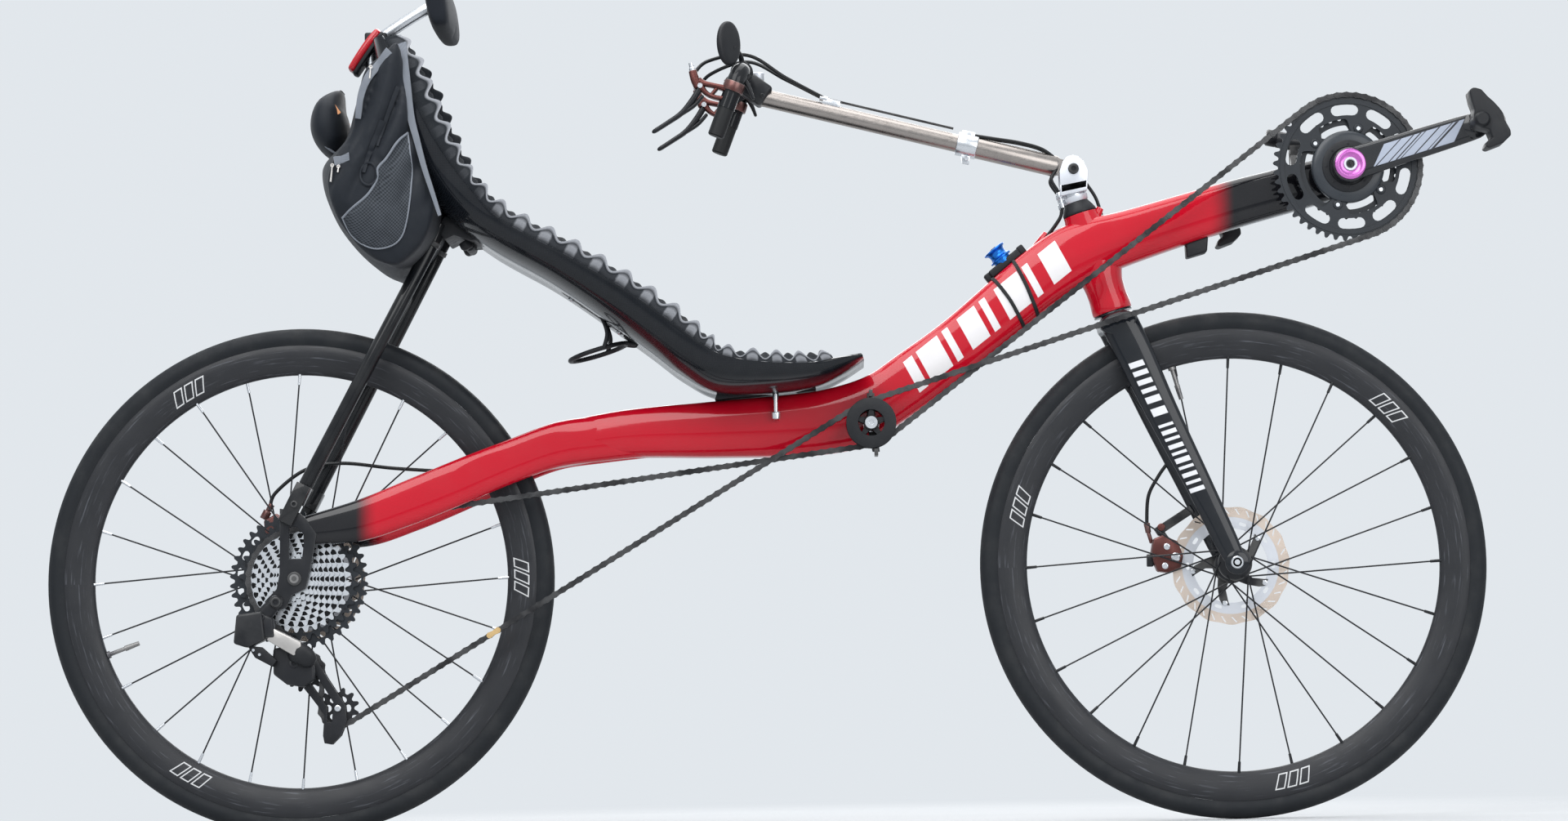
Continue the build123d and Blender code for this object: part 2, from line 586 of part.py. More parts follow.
# ------------------------------------------------------- small frame pieces
front_lamp = rod(head_at(216.6, 40, 239.9), head_at(322.6, 40, 216.9), 12)
front_lamp += bar(head_at(256.6, 30, 225.9), head_at(256.6, 30, 185.9), 14, 18)
front_lamp += bar(head_at(256.6, 18, 192.9), head_at(256.6, 40, 222.9), 12, 18)
save(front_lamp - frame, "front_lamp")
BOOM_BOX = [(99.6, 89.9), (130.6, 99.9), (128.6, 77.9), (100.6, 69.9)]
save(plate(from_head(BOOM_BOX), -13, 13) - frame, "boom_box")
rise_ahead, rise_up, rise_depth, rise_half = BEAM_RISE[2]
rise_x, rise_low = rise(rise_ahead, rise_up)


def on_beam(ahead, up):
    """Give a point ahead of and above the beam's top at the third station of its rise."""
    return at(rise_x + ahead, 0, rise_low + rise_depth + up)


spool = bar(on_beam(-29.6, -17.6), on_beam(9.8, 13.8), 24, 12)
spool += rod(on_beam(-10.5, 0.5), on_beam(-24.8, 18.5), 12)
# Columns: lower and upper centre of each flange, ahead and up.
for lower, upper in (((-14.2, 5.2), (-15.8, 7.1)), ((-23.2, 16.6), (-24.8, 18.5))):
    spool += rod(on_beam(*lower), on_beam(*upper), 16)
save(spool - frame, "spool_mount")

# ------------------------------------------------------- fork and headset
FORK_GAP = 1.0
TYRE_CLEARANCE = 6.0
# Columns: share of the fork's length, share of the rake, side, half depth, half thickness.
BLADE = [
    (0.027, 0.0, 28.0, 26.0, 12.0),
    (0.161, 0.15, 33.0, 25.0, 9.0),
    (0.403, 0.364, 38.0, 22.0, 7.5),
    (0.698, 0.685, 49.0, 18.0, 6.5),
    (0.913, 0.899, 52.0, 16.0, 6.0),
    (0.9985, 0.985, 53.5, 13.0, 5.5),
]


def blade_ring(down, ahead, y, depth, half, side):
    """Give one station of a fork blade."""
    shape = [(1.0, 0.0), (0.6, 1.0), (-0.6, 1.0), (-1.0, 0.0), (-0.6, -1.0), (0.6, -1.0)]
    return [steer(-down * FORK_LENGTH, ahead * RAKE + depth * a, side * (y + half * b)) for a, b in shape]


fork = rod(steer(-FORK_GAP), steer(-34), 26.5, 25.0)
fork += rod(steer(-30), steer(HEAD_LENGTH + 40), STEERER_RADIUS)
for side in (-1, 1):
    fork += skin([blade_ring(*station, side) for station in BLADE])
    fork += disc(WHEELBASE, HUB_Z, side * (FRONT_HUB_HALF + 2), side * FORK_HALF_WIDTH, 16)
fork -= disc(WHEELBASE, HUB_Z, -40, 40, 60)
fork -= disc(WHEELBASE, HUB_Z, -21, 21, TYRE_RADIUS + TYRE_CLEARANCE)
fork += disc(WHEELBASE, HUB_Z, -FORK_HALF_WIDTH - 1, FORK_HALF_WIDTH + 1, FRONT_AXLE_RADIUS)
save(fork, "fork")
cone = rod(steer(HEAD_LENGTH + 1), steer(HEAD_LENGTH + 20), 22.5, 14.6) - rod(
    steer(HEAD_LENGTH - 5), steer(HEAD_LENGTH + 30), STEERER_RADIUS)
save(cone, "headset_cone")

PIVOT = (HEAD_BOTTOM_X - 49.4, HEAD_BOTTOM_Z + 193.1)
TILLER_END = (622.8, 983.9)
JOIN_DISTANCE = 146.8
CLEVIS = [(-67.4, 155.9), (-31.4, 163.9), (-29.4, 189.9), (-35.4, 205.9), (-49.4, 211.9), (-63.4, 205.9),
          (-68.4, 189.9)]
CLEVIS_SLOT = [(-75.4, 173.9), (-15.4, 180.9), (-15.4, 222.9), (-75.4, 222.9)]
clevis = plate(from_head(CLEVIS), -19, 19)
clevis -= plate(from_head(CLEVIS_SLOT), -14, 14)
clevis -= disc(*PIVOT, -30, 30, 4 + RUNNING_GAP)
clevis -= rod(steer(HEAD_LENGTH + 15), steer(HEAD_LENGTH + 40), STEERER_RADIUS)
save(clevis, "stem_clevis")
CALIPER = from_front_hub([(-99, 52.5), (-63, 32.5), (-69, 0.5), (-99, -9.5), (-121, 5.5), (-119, 40.5)])
CALIPER_BRIDGE = from_front_hub([(-99, 52.5), (-119, 40.5), (-121, 5.5), (-115, 8.5), (-112, 34.5)])
front_brake = plate(CALIPER, 26, 34.5) + plate(CALIPER, 41.5, 52) + plate(CALIPER_BRIDGE, 34.5, 41.5)
adaptor = from_front_hub([(-99, 48.5), (-63, 78.5)])
front_brake += bar(*[at(x, 50, z) for x, z in adaptor], 9, 14)
hose_route = from_front_hub([(-116, 34.5), (-116, 90.5), (-99, 130.5), (-83, 156.5)])
front_brake += hose([(x, y, z) for (x, z), y in zip(hose_route, (47, 47, 45, 42))], 2.5)
front_brake -= fork
save(front_brake, "front_brake")

# -------------------------------------------------------------------- tiller
pivot = at(PIVOT[0], 0, PIVOT[1])
tip = at(TILLER_END[0], 0, TILLER_END[1])
slope = (tip - pivot).normalized()
join = pivot + slope * JOIN_DISTANCE
tiller_up = Vector(-slope.Z, 0, slope.X) * -1
tiller_outer = tube(pivot + slope * 24, join, 14.3, 1.6)
tiller_outer += rod(pivot + slope * 20, pivot + slope * 40, 14.3)
tiller_outer += rod(at(PIVOT[0], -13, PIVOT[1]), at(PIVOT[0], 13, PIVOT[1]), 12)
tiller_outer += bar(pivot, pivot + slope * 26, 22, 20)
tiller_outer += disc(*PIVOT, -21, 21, 4)
save(tiller_outer, "tiller_outer")
tiller_inner = tube(join - slope * 62, tip, 12.1, 1.4)
save(tiller_inner, "tiller_inner")
collar = rod(join - slope * 14, join + slope * 16, 15.8)
collar += bar(join - tiller_up * 12, join - tiller_up * 25, 14, 11)
collar -= rod(join - slope * 20, join, 14.3 + RUNNING_GAP)
collar -= rod(join - slope * 20, join + slope * 20, 12.1 + RUNNING_GAP)
save(collar, "tiller_clamp")

GRIP_HALF = 80.0
GRIP_TOP = (596.0, 996.0)
GRIP_END = (566.4, 918.3)
CROSSBAR = (602.0, 1008.0)
CROSSBAR_HALF = 64.0
BAR_RADIUS = 11.1
BAR_SWELL_RADIUS = 11.9
BARE_END = 40.0
handle_route = [(GRIP_TOP[0], -GRIP_HALF, GRIP_TOP[1]), (CROSSBAR[0], -CROSSBAR_HALF, CROSSBAR[1]),
                (CROSSBAR[0], CROSSBAR_HALF, CROSSBAR[1]), (GRIP_TOP[0], GRIP_HALF, GRIP_TOP[1])]
bare_share = BARE_END / hypot(GRIP_TOP[0] - GRIP_END[0], GRIP_TOP[1] - GRIP_END[1])
swell_end = (GRIP_END[0] + (GRIP_TOP[0] - GRIP_END[0]) * bare_share,
             GRIP_END[1] + (GRIP_TOP[1] - GRIP_END[1]) * bare_share)
handle_route = [(swell_end[0], -GRIP_HALF, swell_end[1]), *handle_route, (swell_end[0], GRIP_HALF, swell_end[1])]
handlebar = hose(handle_route, BAR_SWELL_RADIUS)
for side in (-1, 1):
    stub = at(GRIP_END[0], side * GRIP_HALF, GRIP_END[1])
    handlebar += rod(at(swell_end[0], side * GRIP_HALF, swell_end[1]), stub, BAR_RADIUS)
handlebar += bar(tip - slope * 12, at(606, 0, 1002), 34, 34)
handlebar -= tiller_inner
save(handlebar, "handlebar")
levers = {}
for side, name in ((-1, "lever_right"), (1, "lever_left")):
    y = side * GRIP_HALF
    lever = bar(at(585, y, 975), at(548, y, 985), 16, 14)
    lever += bar(at(552, y, 982), at(536, y, 1000), 14, 12)
    lever += bar(at(545, y, 985), at(520, y, 950), 10, 7)
    lever += bar(at(521, y, 952), at(482, y, 925), 10, 6)
    levers[name] = lever - handlebar
    save(levers[name], name)
MIRROR = (590.0, -86.0, 1043.0)
mirror_place = Plane(origin=at(*MIRROR), x_dir=(0.62, 0.77, 0), z_dir=(-0.77, 0.62, 0))
mirror_rim = [(25 * cos(radians(a)), 29 * sin(radians(a))) for a in range(0, 360, 30)]
mirror = extrude(mirror_place * make_face(Polyline(*mirror_rim, close=True)), amount=8)
mirror += rod(at(602, -50, 1012), at(602, -50, 1032), 4)
mirror += rod(at(602, -50, 1030), at(589, -84, 1038), 4)
mirror += disc(*CROSSBAR, -56, -44, BAR_SWELL_RADIUS + 3.5)
mirror -= disc(*CROSSBAR, -58, -42, BAR_SWELL_RADIUS + RUNNING_GAP)
save(mirror, "mirror")
STOP_BACK = 86.4
STOP_LENGTH = 23.8
STOP_LIFT = 14.0
WIRE_LIFT = 18.4
WIRE_END = (tip - join).length - 23.0


def on_tiller(back, lift, y):
    """Give a point by its distance back from the tiller's tip and its lift from the tiller's axis."""
    return tip - slope * back + tiller_up * lift + Vector(0, y, 0)


cables = bar(on_tiller(STOP_BACK, STOP_LIFT, 0), on_tiller(STOP_BACK + STOP_LENGTH, STOP_LIFT, 0), 14, 11)
stop = on_tiller(STOP_BACK + 3, WIRE_LIFT, 0)
for y in (-4.5, 4.5):
    cables += hose([(536, y * 16, 1000), (556, y * 12, 1024), (610, y * 6, 1036), (660, y * 2, 1008),
                    (stop.X + SEAT_X, y, stop.Z + SEAT_Z)], 2.5)
    cables += rod(on_tiller(STOP_BACK + 5, WIRE_LIFT, y), on_tiller(WIRE_END, WIRE_LIFT, y), 1.0)
for piece in (tiller_inner, tiller_outer, handlebar, levers["lever_left"], levers["lever_right"]):
    cables -= piece
save(cables, "tiller_cables")


# ------------------------------------------------------------------- wheels
def wheel(prefix, x, flange_radius, left, right, rotor_y):
    """Build one wheel about the origin, tyre, rim, hub with spokes and rotor, and stand it on its axle."""
    stand = Pos(x - SEAT_X, 0, HUB_Z - SEAT_Z)
    middle = TYRE_RADIUS - TYRE_WIDTH / 2
    half = TYRE_WIDTH / 2
    rim_half = RIM_WIDTH / 2
    edge_half = RIM_EDGE_WIDTH / 2
    bead = RIM_OUTER_RADIUS + 0.2

    def turned(points):
        """Give a ring turned about the wheel's axle from (radius, side) points."""
        outline = [Vector(radius, side, 0) for radius, side in points]
        return revolve(make_face(Polyline(*outline, close=True)), axis=Axis.Y)

    tyre_points = [(bead, -11.5), (bead, 11.5)]
    tyre_points += [(middle + half * cos(radians(a)), half * sin(radians(a))) for a in (110, 75, 45, 15, -15, -45, -75, -110)]
    save(stand * turned(tyre_points), f"{prefix}_tyre")
    rim_points = [(RIM_OUTER_RADIUS, -rim_half + 2), (RIM_OUTER_RADIUS, rim_half - 2), (RIM_OUTER_RADIUS - 8, rim_half),
                  (RIM_INNER_RADIUS + 8, edge_half), (RIM_INNER_RADIUS, edge_half - 4),
                  (RIM_INNER_RADIUS, 4 - edge_half), (RIM_INNER_RADIUS + 8, -edge_half),
                  (RIM_OUTER_RADIUS - 8, -rim_half)]
    rim = turned(rim_points)
    save(stand * rim, f"{prefix}_rim")
    bore = FRONT_AXLE_RADIUS + RUNNING_GAP
    hub = disc(SEAT_X, SEAT_Z, -right, left, 13)
    flange_right = -right + 4.0
    flange_left = min(left - 8.0, 24.0) if left > 50 else left - 22.0
    flange_right = flange_right if right < 30 else -right + 22.0
    for y in (flange_right, flange_left):
        hub += disc(SEAT_X, SEAT_Z, y - 1.5, y + 1.5, flange_radius)
    half_count = SPOKE_COUNT // 2
    for index in range(half_count):
        for y, phase in ((flange_right, 0.0), (flange_left, 0.5)):
            rim_angle = 2 * pi * (index + phase) / half_count
            lead = radians(66.0) * (1 if index % 2 else -1)
            root = flange_radius - 3.0
            reach = RIM_INNER_RADIUS + 3.0
            start = Vector(root * cos(rim_angle + lead), y, root * sin(rim_angle + lead))
            end = Vector(reach * cos(rim_angle), 0.12 * y, reach * sin(rim_angle))
            hub += rod(start, end, SPOKE_RADIUS)
    hub -= disc(SEAT_X, SEAT_Z, -right - 1, left + 1, bore)
    save(stand * (hub - rim), f"{prefix}_hub")
    rotor = ring(SEAT_X, SEAT_Z, rotor_y - ROTOR_THICKNESS / 2, rotor_y + ROTOR_THICKNESS / 2,
                 ROTOR_RADIUS, ROTOR_RADIUS - ROTOR_BAND)
    for index in range(5):
        angle = 2 * pi * index / 5
        start = Vector(14 * cos(angle), rotor_y, 14 * sin(angle))
        end = Vector(67 * cos(angle + 0.35), rotor_y, 67 * sin(angle + 0.35))
        rotor += bar(start, end, ROTOR_THICKNESS, 9)
    rotor += ring(SEAT_X, SEAT_Z, rotor_y - 3, rotor_y + 3, 24, 13)
    rotor -= disc(SEAT_X, SEAT_Z, rotor_y - 5, rotor_y + 5, 13)
    save(stand * rotor, f"{prefix}_rotor")


wheel("front", WHEELBASE, FRONT_HUB_FLANGE, FRONT_HUB_HALF, FRONT_HUB_HALF, 38.0)
wheel("rear", 0.0, REAR_HUB_FLANGE, REAR_HUB_LEFT, REAR_HUB_RIGHT, 50.0)

# -------------------------------------------------------------------- cranks
crank_line = (cos(radians(CRANK_ANGLE)), sin(radians(CRANK_ANGLE)))


def crank_point(distance, y, turn=1.0):
    """Give a point along the crank, turn -1 for the left one."""
    return at(CRANK_X + turn * distance * crank_line[0], y, CRANK_Z + turn * distance * crank_line[1])


CRANK_IN_Y = 60.0
CRANK_OUT_Y = 74.0
PEDAL_SPINDLE_RADIUS = 4.5
for side, name in ((-1, "crank_right"), (1, "crank_left")):
    turn = -side
    arm = skin([[crank_point(d, side * y, turn) + Vector(-w * crank_line[1], 0, w * crank_line[0]) for y, w in
                 ((inner, -half), (outer, -half), (outer, half), (inner, half))]
                for d, inner, outer, half in ((0, 56, 72, 17), (60, 60, 74, 13), (CRANK_LENGTH, 66, 79, 12))])
    arm += rod(crank_point(0, side * 55, turn), crank_point(0, side * 73, turn), 19)
    arm += rod(crank_point(CRANK_LENGTH, side * 66, turn), crank_point(CRANK_LENGTH, side * 79, turn), 14)
    arm -= rod(crank_point(CRANK_LENGTH, side * 60, turn), crank_point(CRANK_LENGTH, side * 90, turn),
               PEDAL_SPINDLE_RADIUS + RUNNING_GAP)
    if side < 0:
        arm += disc(CRANK_X, CRANK_Z, -56, 56, SPINDLE_RADIUS)
        arm += disc(CRANK_X, CRANK_Z, -38.5, -56, 38)
    else:
        arm -= disc(CRANK_X, CRANK_Z, 50, 56, SPINDLE_RADIUS)
    save(arm, name)

BAND_INNER_RADIUS = 78.0
SLOT_COUNT = 20
# One slot of the big ring's band, as columns: radius, half width.
SLOT = [(81.0, 7.0), (83.0, 8.6), (86.5, 8.9), (88.5, 7.6)]
slot_corners = [(out, -half) for out, half in SLOT] + [(out, half) for out, half in SLOT[::-1]]
slots = Sketch() + [Rot(0, 0, 360 * index / SLOT_COUNT) * make_face(Polyline(*slot_corners, close=True))
                    for index in range(SLOT_COUNT)]
ring_place = Plane(origin=at(CRANK_X, CHAINRING_Y + CHAINRING_THICKNESS / 2, CRANK_Z), x_dir=(1, 0, 0),
                   z_dir=(0, -1, 0))
band = Circle(92.0) + tooth_row(CHAINRING_TEETH, CHAINRING_RADIUS) - Circle(BAND_INNER_RADIUS) - slots
rings = extrude(ring_place * band, amount=CHAINRING_THICKNESS)
INNER_RING_RADIUS = 74.0
rings += ring(CRANK_X, CRANK_Z, INNER_RING_Y - 1, INNER_RING_Y + 1, INNER_RING_RADIUS, 60)
for index in range(4):
    angle = radians(90 * index + 40)
    start = at(CRANK_X + 34 * cos(angle), CHAINRING_Y, CRANK_Z + 34 * sin(angle))
    end = at(CRANK_X + 82 * cos(angle), CHAINRING_Y, CRANK_Z + 82 * sin(angle))
    rings += bar(start, end, 5, 20)
    rings += rod(at(CRANK_X + 66 * cos(angle), -51, CRANK_Z + 66 * sin(angle)),
                 at(CRANK_X + 66 * cos(angle), -39, CRANK_Z + 66 * sin(angle)), 6)
rings -= disc(CRANK_X, CRANK_Z, -30, -70, 38)
save(rings, "chainrings")

# -------------------------------------------------------------------- pedals
for side, name in ((-1, "pedal_right"), (1, "pedal_left")):
    turn = -side
    axle_in = crank_point(CRANK_LENGTH, side * 66, turn)
    axle_out = crank_point(CRANK_LENGTH, side * 142, turn)
    middle = (axle_in + axle_out) * 0.5
    pedal = rod(axle_in, axle_out, PEDAL_SPINDLE_RADIUS)
    pedal += rod(crank_point(CRANK_LENGTH, side * 84, turn), axle_out, 9)
    cx = crank_point(CRANK_LENGTH, side * 115, turn)
    body = [(-9, -36), (9, -36), (11, -16), (8, -4), (2, 20), (-1, 42), (-5, 42), (-8, 20), (-10, -4)]
    outline = [Vector(cx.X + a, side * 92, cx.Z + b) for a, b in body]
    pedal += extrude(make_face(Polyline(*outline, close=True)), amount=44, dir=(0, side, 0))
    save(pedal, name)

# --------------------------------------------------------------------- idler
idler = ring(IDLER_X, IDLER_Z, -39.5, -60.5, IDLER_PITCH_RADIUS - CHAIN_HEIGHT / 2 - 0.6, 4.0 + RUNNING_GAP)
for y in (-40.0, -49.75, -60.0):
    idler += ring(IDLER_X, IDLER_Z, y - 0.7, y + 0.7, IDLER_FLANGE_RADIUS, 10)
save(idler, "idler")
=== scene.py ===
"""Looks of a recumbent bicycle: finishes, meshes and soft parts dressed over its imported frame."""

import logging
import math
from dataclasses import dataclass, field
from enum import Enum
from typing import Callable, Iterable, Sequence

import bmesh
import bpy
from mathutils import Matrix, Vector
from mathutils.bvhtree import BVHTree

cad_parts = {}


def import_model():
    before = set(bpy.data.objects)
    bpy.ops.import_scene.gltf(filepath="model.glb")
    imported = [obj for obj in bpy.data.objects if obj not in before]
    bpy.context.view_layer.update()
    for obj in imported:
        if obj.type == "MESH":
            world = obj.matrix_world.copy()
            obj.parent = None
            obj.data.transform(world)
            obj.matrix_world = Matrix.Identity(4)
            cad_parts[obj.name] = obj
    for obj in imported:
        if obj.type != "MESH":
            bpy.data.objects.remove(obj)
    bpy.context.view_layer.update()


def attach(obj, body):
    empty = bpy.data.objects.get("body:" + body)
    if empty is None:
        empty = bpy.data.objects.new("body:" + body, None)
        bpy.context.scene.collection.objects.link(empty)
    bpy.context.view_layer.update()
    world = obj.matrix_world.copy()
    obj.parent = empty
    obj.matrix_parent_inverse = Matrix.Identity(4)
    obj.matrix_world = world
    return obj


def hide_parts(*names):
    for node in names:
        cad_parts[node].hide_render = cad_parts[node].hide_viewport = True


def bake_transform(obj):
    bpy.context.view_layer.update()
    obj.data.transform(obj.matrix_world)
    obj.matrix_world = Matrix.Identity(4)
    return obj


LOG = logging.getLogger("recumbent")

# Sizes are in millimetres, ahead of the rear hub and above the ground.
MM = 0.001
SEAT_X = 620.0
SEAT_Z = 620.0
WHEELBASE = 1249.0
AXLE_Z = 339.5
HEAD_X = 1095.4
HEAD_Z = 682.1
HEAD_TILT = math.radians(17.0)
CRANK_X = 1412.0
CRANK_Z = 867.0
CRANK_LENGTH = 175.0
CRANK_ANGLE = math.radians(16.0)
PITCH = 12.7
IDLER_X = 767.0
IDLER_Z = 534.0
SIDES = ((-1, "right"), (1, "left"))

# Points closer than this are one point, in metres.
MERGE = 0.00002
FINE_MERGE = 0.00001
NET_MERGE = 0.0001

Colour = tuple[float, float, float]
Spot = Callable[[float, float], Vector]
Pair = tuple[float, float]
Mesh = bmesh.types.BMesh
Socket = bpy.types.NodeSocket


# ------------------------------------------------------------------ placing
def place(x: float, z: float, y: float = 0.0) -> Vector:
    """Turn a workshop position into a point of the shared frame.

    Args:
        x: millimetres ahead of the rear hub.
        z: millimetres above the ground.
        y: millimetres to the rider's left of the middle plane.

    Returns:
        The point in metres.
    """
    return Vector(((x - SEAT_X) * MM, y * MM, (z - SEAT_Z) * MM))


def steer(up: float, ahead: float = 0.0, y: float = 0.0) -> Vector:
    """Give a point by its distance up the steering axis.

    Args:
        up: millimetres up the axis from the head tube's lower end.
        ahead: millimetres ahead of the axis, square to it.
        y: millimetres to the left.

    Returns:
        The point in metres.
    """
    x = HEAD_X - up * math.sin(HEAD_TILT) + ahead * math.cos(HEAD_TILT)
    z = HEAD_Z + up * math.cos(HEAD_TILT) + ahead * math.sin(HEAD_TILT)
    return place(x, z, y)


def crank_spot(out: float, across: float, y: float, turn: float = 1.0) -> Vector:
    """Give a point in a crank arm's own directions.

    Args:
        out: millimetres from the crank axle along the arm.
        across: millimetres square to the arm, upward on the right arm.
        y: millimetres to the left.
        turn: 1 for the right arm, -1 for the left one.

    Returns:
        The point in metres.
    """
    c, s = math.cos(CRANK_ANGLE), math.sin(CRANK_ANGLE)
    return place(CRANK_X + turn * (out * c - across * s), CRANK_Z + turn * (out * s + across * c), y)


def blend_rows(rows: Sequence[Sequence[float]], share: float, ring: bool = False) -> list[float]:
    """Read a table of numbers at a share of its length, smoothly between rows.

    Args:
        rows: rows of equal length.
        share: 0 at the first row and 1 at the last.
        ring: whether the last row is followed by the first.

    Returns:
        The row's values there, by a Catmull-Rom curve through the rows.
    """
    last = len(rows) - 1
    if ring:
        at = (share % 1.0) * len(rows)
        index = int(at)
        before, first, second, after = (rows[(index + step) % len(rows)] for step in (-1, 0, 1, 2))
    else:
        at = min(max(share, 0.0), 1.0) * last
        index = min(int(at), last - 1)
        before, first = rows[max(index - 1, 0)], rows[index]
        second, after = rows[index + 1], rows[min(index + 2, last)]
    t = at - index
    values = []
    for a, b, c, d in zip(before, first, second, after):
        values.append(0.5 * (2 * b + (c - a) * t + (2 * a - 5 * b + 4 * c - d) * t * t
                             + (3 * b - a - 3 * c + d) * t ** 3))
    return values


def facing(side: int) -> Vector:
    """Give the direction across the bicycle, 1 for the left and -1 for the right."""
    return Vector((0, side, 0))


# ------------------------------------------------------------------ shapes
def turn_outward(bm: Mesh, faces: Iterable[bmesh.types.BMFace]) -> None:
    """Turn faces outward, each of them once and in the order given."""
    bmesh.ops.recalc_face_normals(bm, faces=list(dict.fromkeys(faces)))


def surface(bm: Mesh, around: int, length: int, spot: Spot,
            closed: bool = True, capped: bool = True) -> list[bmesh.types.BMVert]:
    """Bend a grid into a surface.

    Args:
        bm: the mesh to add to.
        around: steps in the first direction.
        length: steps in the second direction.
        spot: gives the point for shares from 0 to 1 of both directions.
        closed: whether the first direction meets itself.
        capped: whether open ends are filled.

    Returns:
        The vertices of the surface.
    """
    known = set(bm.verts)
    grid = bmesh.ops.create_grid(bm, x_segments=around, y_segments=length, size=0.5)
    for vert in grid["verts"]:
        vert.co = spot(vert.co.x + 0.5, vert.co.y + 0.5)
    if closed:
        bmesh.ops.remove_doubles(bm, verts=grid["verts"], dist=MERGE)
    fresh = [v for v in bm.verts if v not in known]
    if closed and capped:
        rims = dict.fromkeys(e for v in fresh for e in v.link_edges if e.is_boundary)
        bmesh.ops.holes_fill(bm, edges=list(rims), sides=0)
    turn_outward(bm, (f for v in fresh for f in v.link_faces))
    return fresh


def rod(bm: Mesh, start: Vector, end: Vector, radius: float,
        end_radius: float | None = None, steps: int = 24) -> list[bmesh.types.BMVert]:
    """Add a round bar or cone.

    Args:
        bm: the mesh to add to.
        start: the middle of one end.
        end: the middle of the other end.
        radius: millimetres at the start.
        end_radius: millimetres at the end, the same where it is left out.
        steps: sides round the bar.

    Returns:
        Its vertices.
    """
    line = end - start
    turn = line.to_track_quat("Z", "Y").to_matrix().to_4x4()
    matrix = Matrix.Translation((start + end) / 2) @ turn
    wide = radius if end_radius is None else end_radius
    return bmesh.ops.create_cone(bm, cap_ends=True, segments=steps, radius1=radius * MM, radius2=wide * MM,
                                 depth=line.length, matrix=matrix)["verts"]


def block(bm: Mesh, start: Vector, end: Vector, wide: float,
          high: float) -> list[bmesh.types.BMVert]:
    """Add a straight bar of box section between two points, wide across the bicycle, in millimetres.

    Args:
        bm: the mesh to add to.
        start: the middle of one end.
        end: the middle of the other end.
        wide: millimetres across the bicycle.
        high: millimetres square to that.

    Returns:
        Its vertices.
    """
    line = end - start
    side = facing(1) if abs(line.normalized().y) < 0.95 else Vector((1, 0, 0))
    side = (side - line * side.dot(line) / line.length_squared).normalized()
    up = line.normalized().cross(side)
    turn = Matrix((side, up, line.normalized())).transposed().to_4x4()
    scale = Matrix.Diagonal((wide * MM, high * MM, line.length, 1.0))
    matrix = Matrix.Translation((start + end) / 2) @ turn @ scale
    return bmesh.ops.create_cube(bm, size=1.0, matrix=matrix)["verts"]


def turned(bm: Mesh, centre: Vector, axis: Vector, profile: Sequence[Pair],
           steps: int = 64, ring: bool = True) -> None:
    """Spin a profile about an axis.

    Args:
        bm: the mesh to add to.
        centre: the point that the profile's lengths are measured from.
        axis: the axis' direction.
        profile: pairs of radius and distance along the axis, in millimetres.
        steps: steps round the axis.
        ring: whether the profile closes on itself.
    """
    axis = axis.normalized()
    out = Vector((0, 0, 1)) if abs(axis.z) < 0.9 else Vector((1, 0, 0))
    out = (out - axis * out.dot(axis)).normalized()
    verts = [bm.verts.new(centre + out * r * MM + axis * h * MM) for r, h in profile]
    edges = [bm.edges.new(pair) for pair in zip(verts, verts[1:])]
    if ring:
        edges.append(bm.edges.new((verts[-1], verts[0])))
    known = set(bm.verts) - set(verts)
    bmesh.ops.spin(bm, geom=verts + edges, cent=centre, axis=axis, angle=math.tau, steps=steps,
                   use_merge=True, use_duplicate=False)
    fresh = [v for v in bm.verts if v not in known]
    bmesh.ops.remove_doubles(bm, verts=fresh, dist=FINE_MERGE)
    turn_outward(bm, (f for v in fresh if v.is_valid for f in v.link_faces))


def plate(bm: Mesh, outline: Iterable[Pair], y0: float, y1: float,
          holes: Sequence[Sequence[Pair]] = ()) -> None:
    """Raise a flat plate from a side outline.

    Args:
        bm: the mesh to add to.
        outline: pairs of millimetres ahead of the rear hub and above the ground.
        y0: one face, in millimetres to the left.
        y1: the other face.
        holes: outlines of openings through the plate.
    """
    loops = [[bm.verts.new(place(x, z, y0)) for x, z in row] for row in (outline, *holes)]
    edges = [bm.edges.new(pair) for loop in loops for pair in zip(loop, loop[1:] + loop[:1])]
    if holes:
        filled = bmesh.ops.triangle_fill(bm, use_beauty=True, use_dissolve=False, edges=edges, normal=(0, 1, 0))
        faces = [item for item in filled["geom"] if isinstance(item, bmesh.types.BMFace)]
    else:
        faces = [bm.faces.new(loops[0])]
    lifted = bmesh.ops.extrude_face_region(bm, geom=faces)["geom"]
    verts = [item for item in lifted if isinstance(item, bmesh.types.BMVert)]
    bmesh.ops.translate(bm, verts=verts, vec=Vector((0, (y1 - y0) * MM, 0)))
    around = [f for v in verts for e in v.link_edges for f in e.link_faces]
    turn_outward(bm, around + [f for f in faces if f.is_valid])


def soften(bm: Mesh, width: float, angle: float = 35.0, segments: int = 2) -> None:
    """Round the sharp edges of a mesh.

    Args:
        bm: the mesh.
        width: millimetres taken off each side of an edge.
        angle: degrees above which an edge counts as sharp.
        segments: faces across each rounded edge.
    """
    limit = math.radians(angle)
    sharp = [e for e in bm.edges if len(e.link_faces) == 2 and e.calc_face_angle(0.0) > limit]
    bmesh.ops.bevel(bm, geom=sharp, offset=width * MM, offset_type="OFFSET", segments=segments, profile=0.5,
                    affect="EDGES", clamp_overlap=True, material=-1)


def bolt(bm: Mesh, centre: Vector, axis: Vector, radius: float, height: float) -> None:
    """Add a cap screw with a socket in its head.

    Args:
        bm: the mesh to add to.
        centre: the seat of the head.
        axis: the way the head faces.
        radius: the head's radius in millimetres.
        height: the head's height in millimetres.
    """
    socket = radius * 0.5
    profile = [(radius, 0), (radius, height * 0.75), (radius * 0.8, height), (socket, height),
               (socket * 0.95, height * 0.35), (0.0, height * 0.35)]
    turned(bm, centre, axis, [(0.0, 0.0)] + profile, steps=18, ring=False)


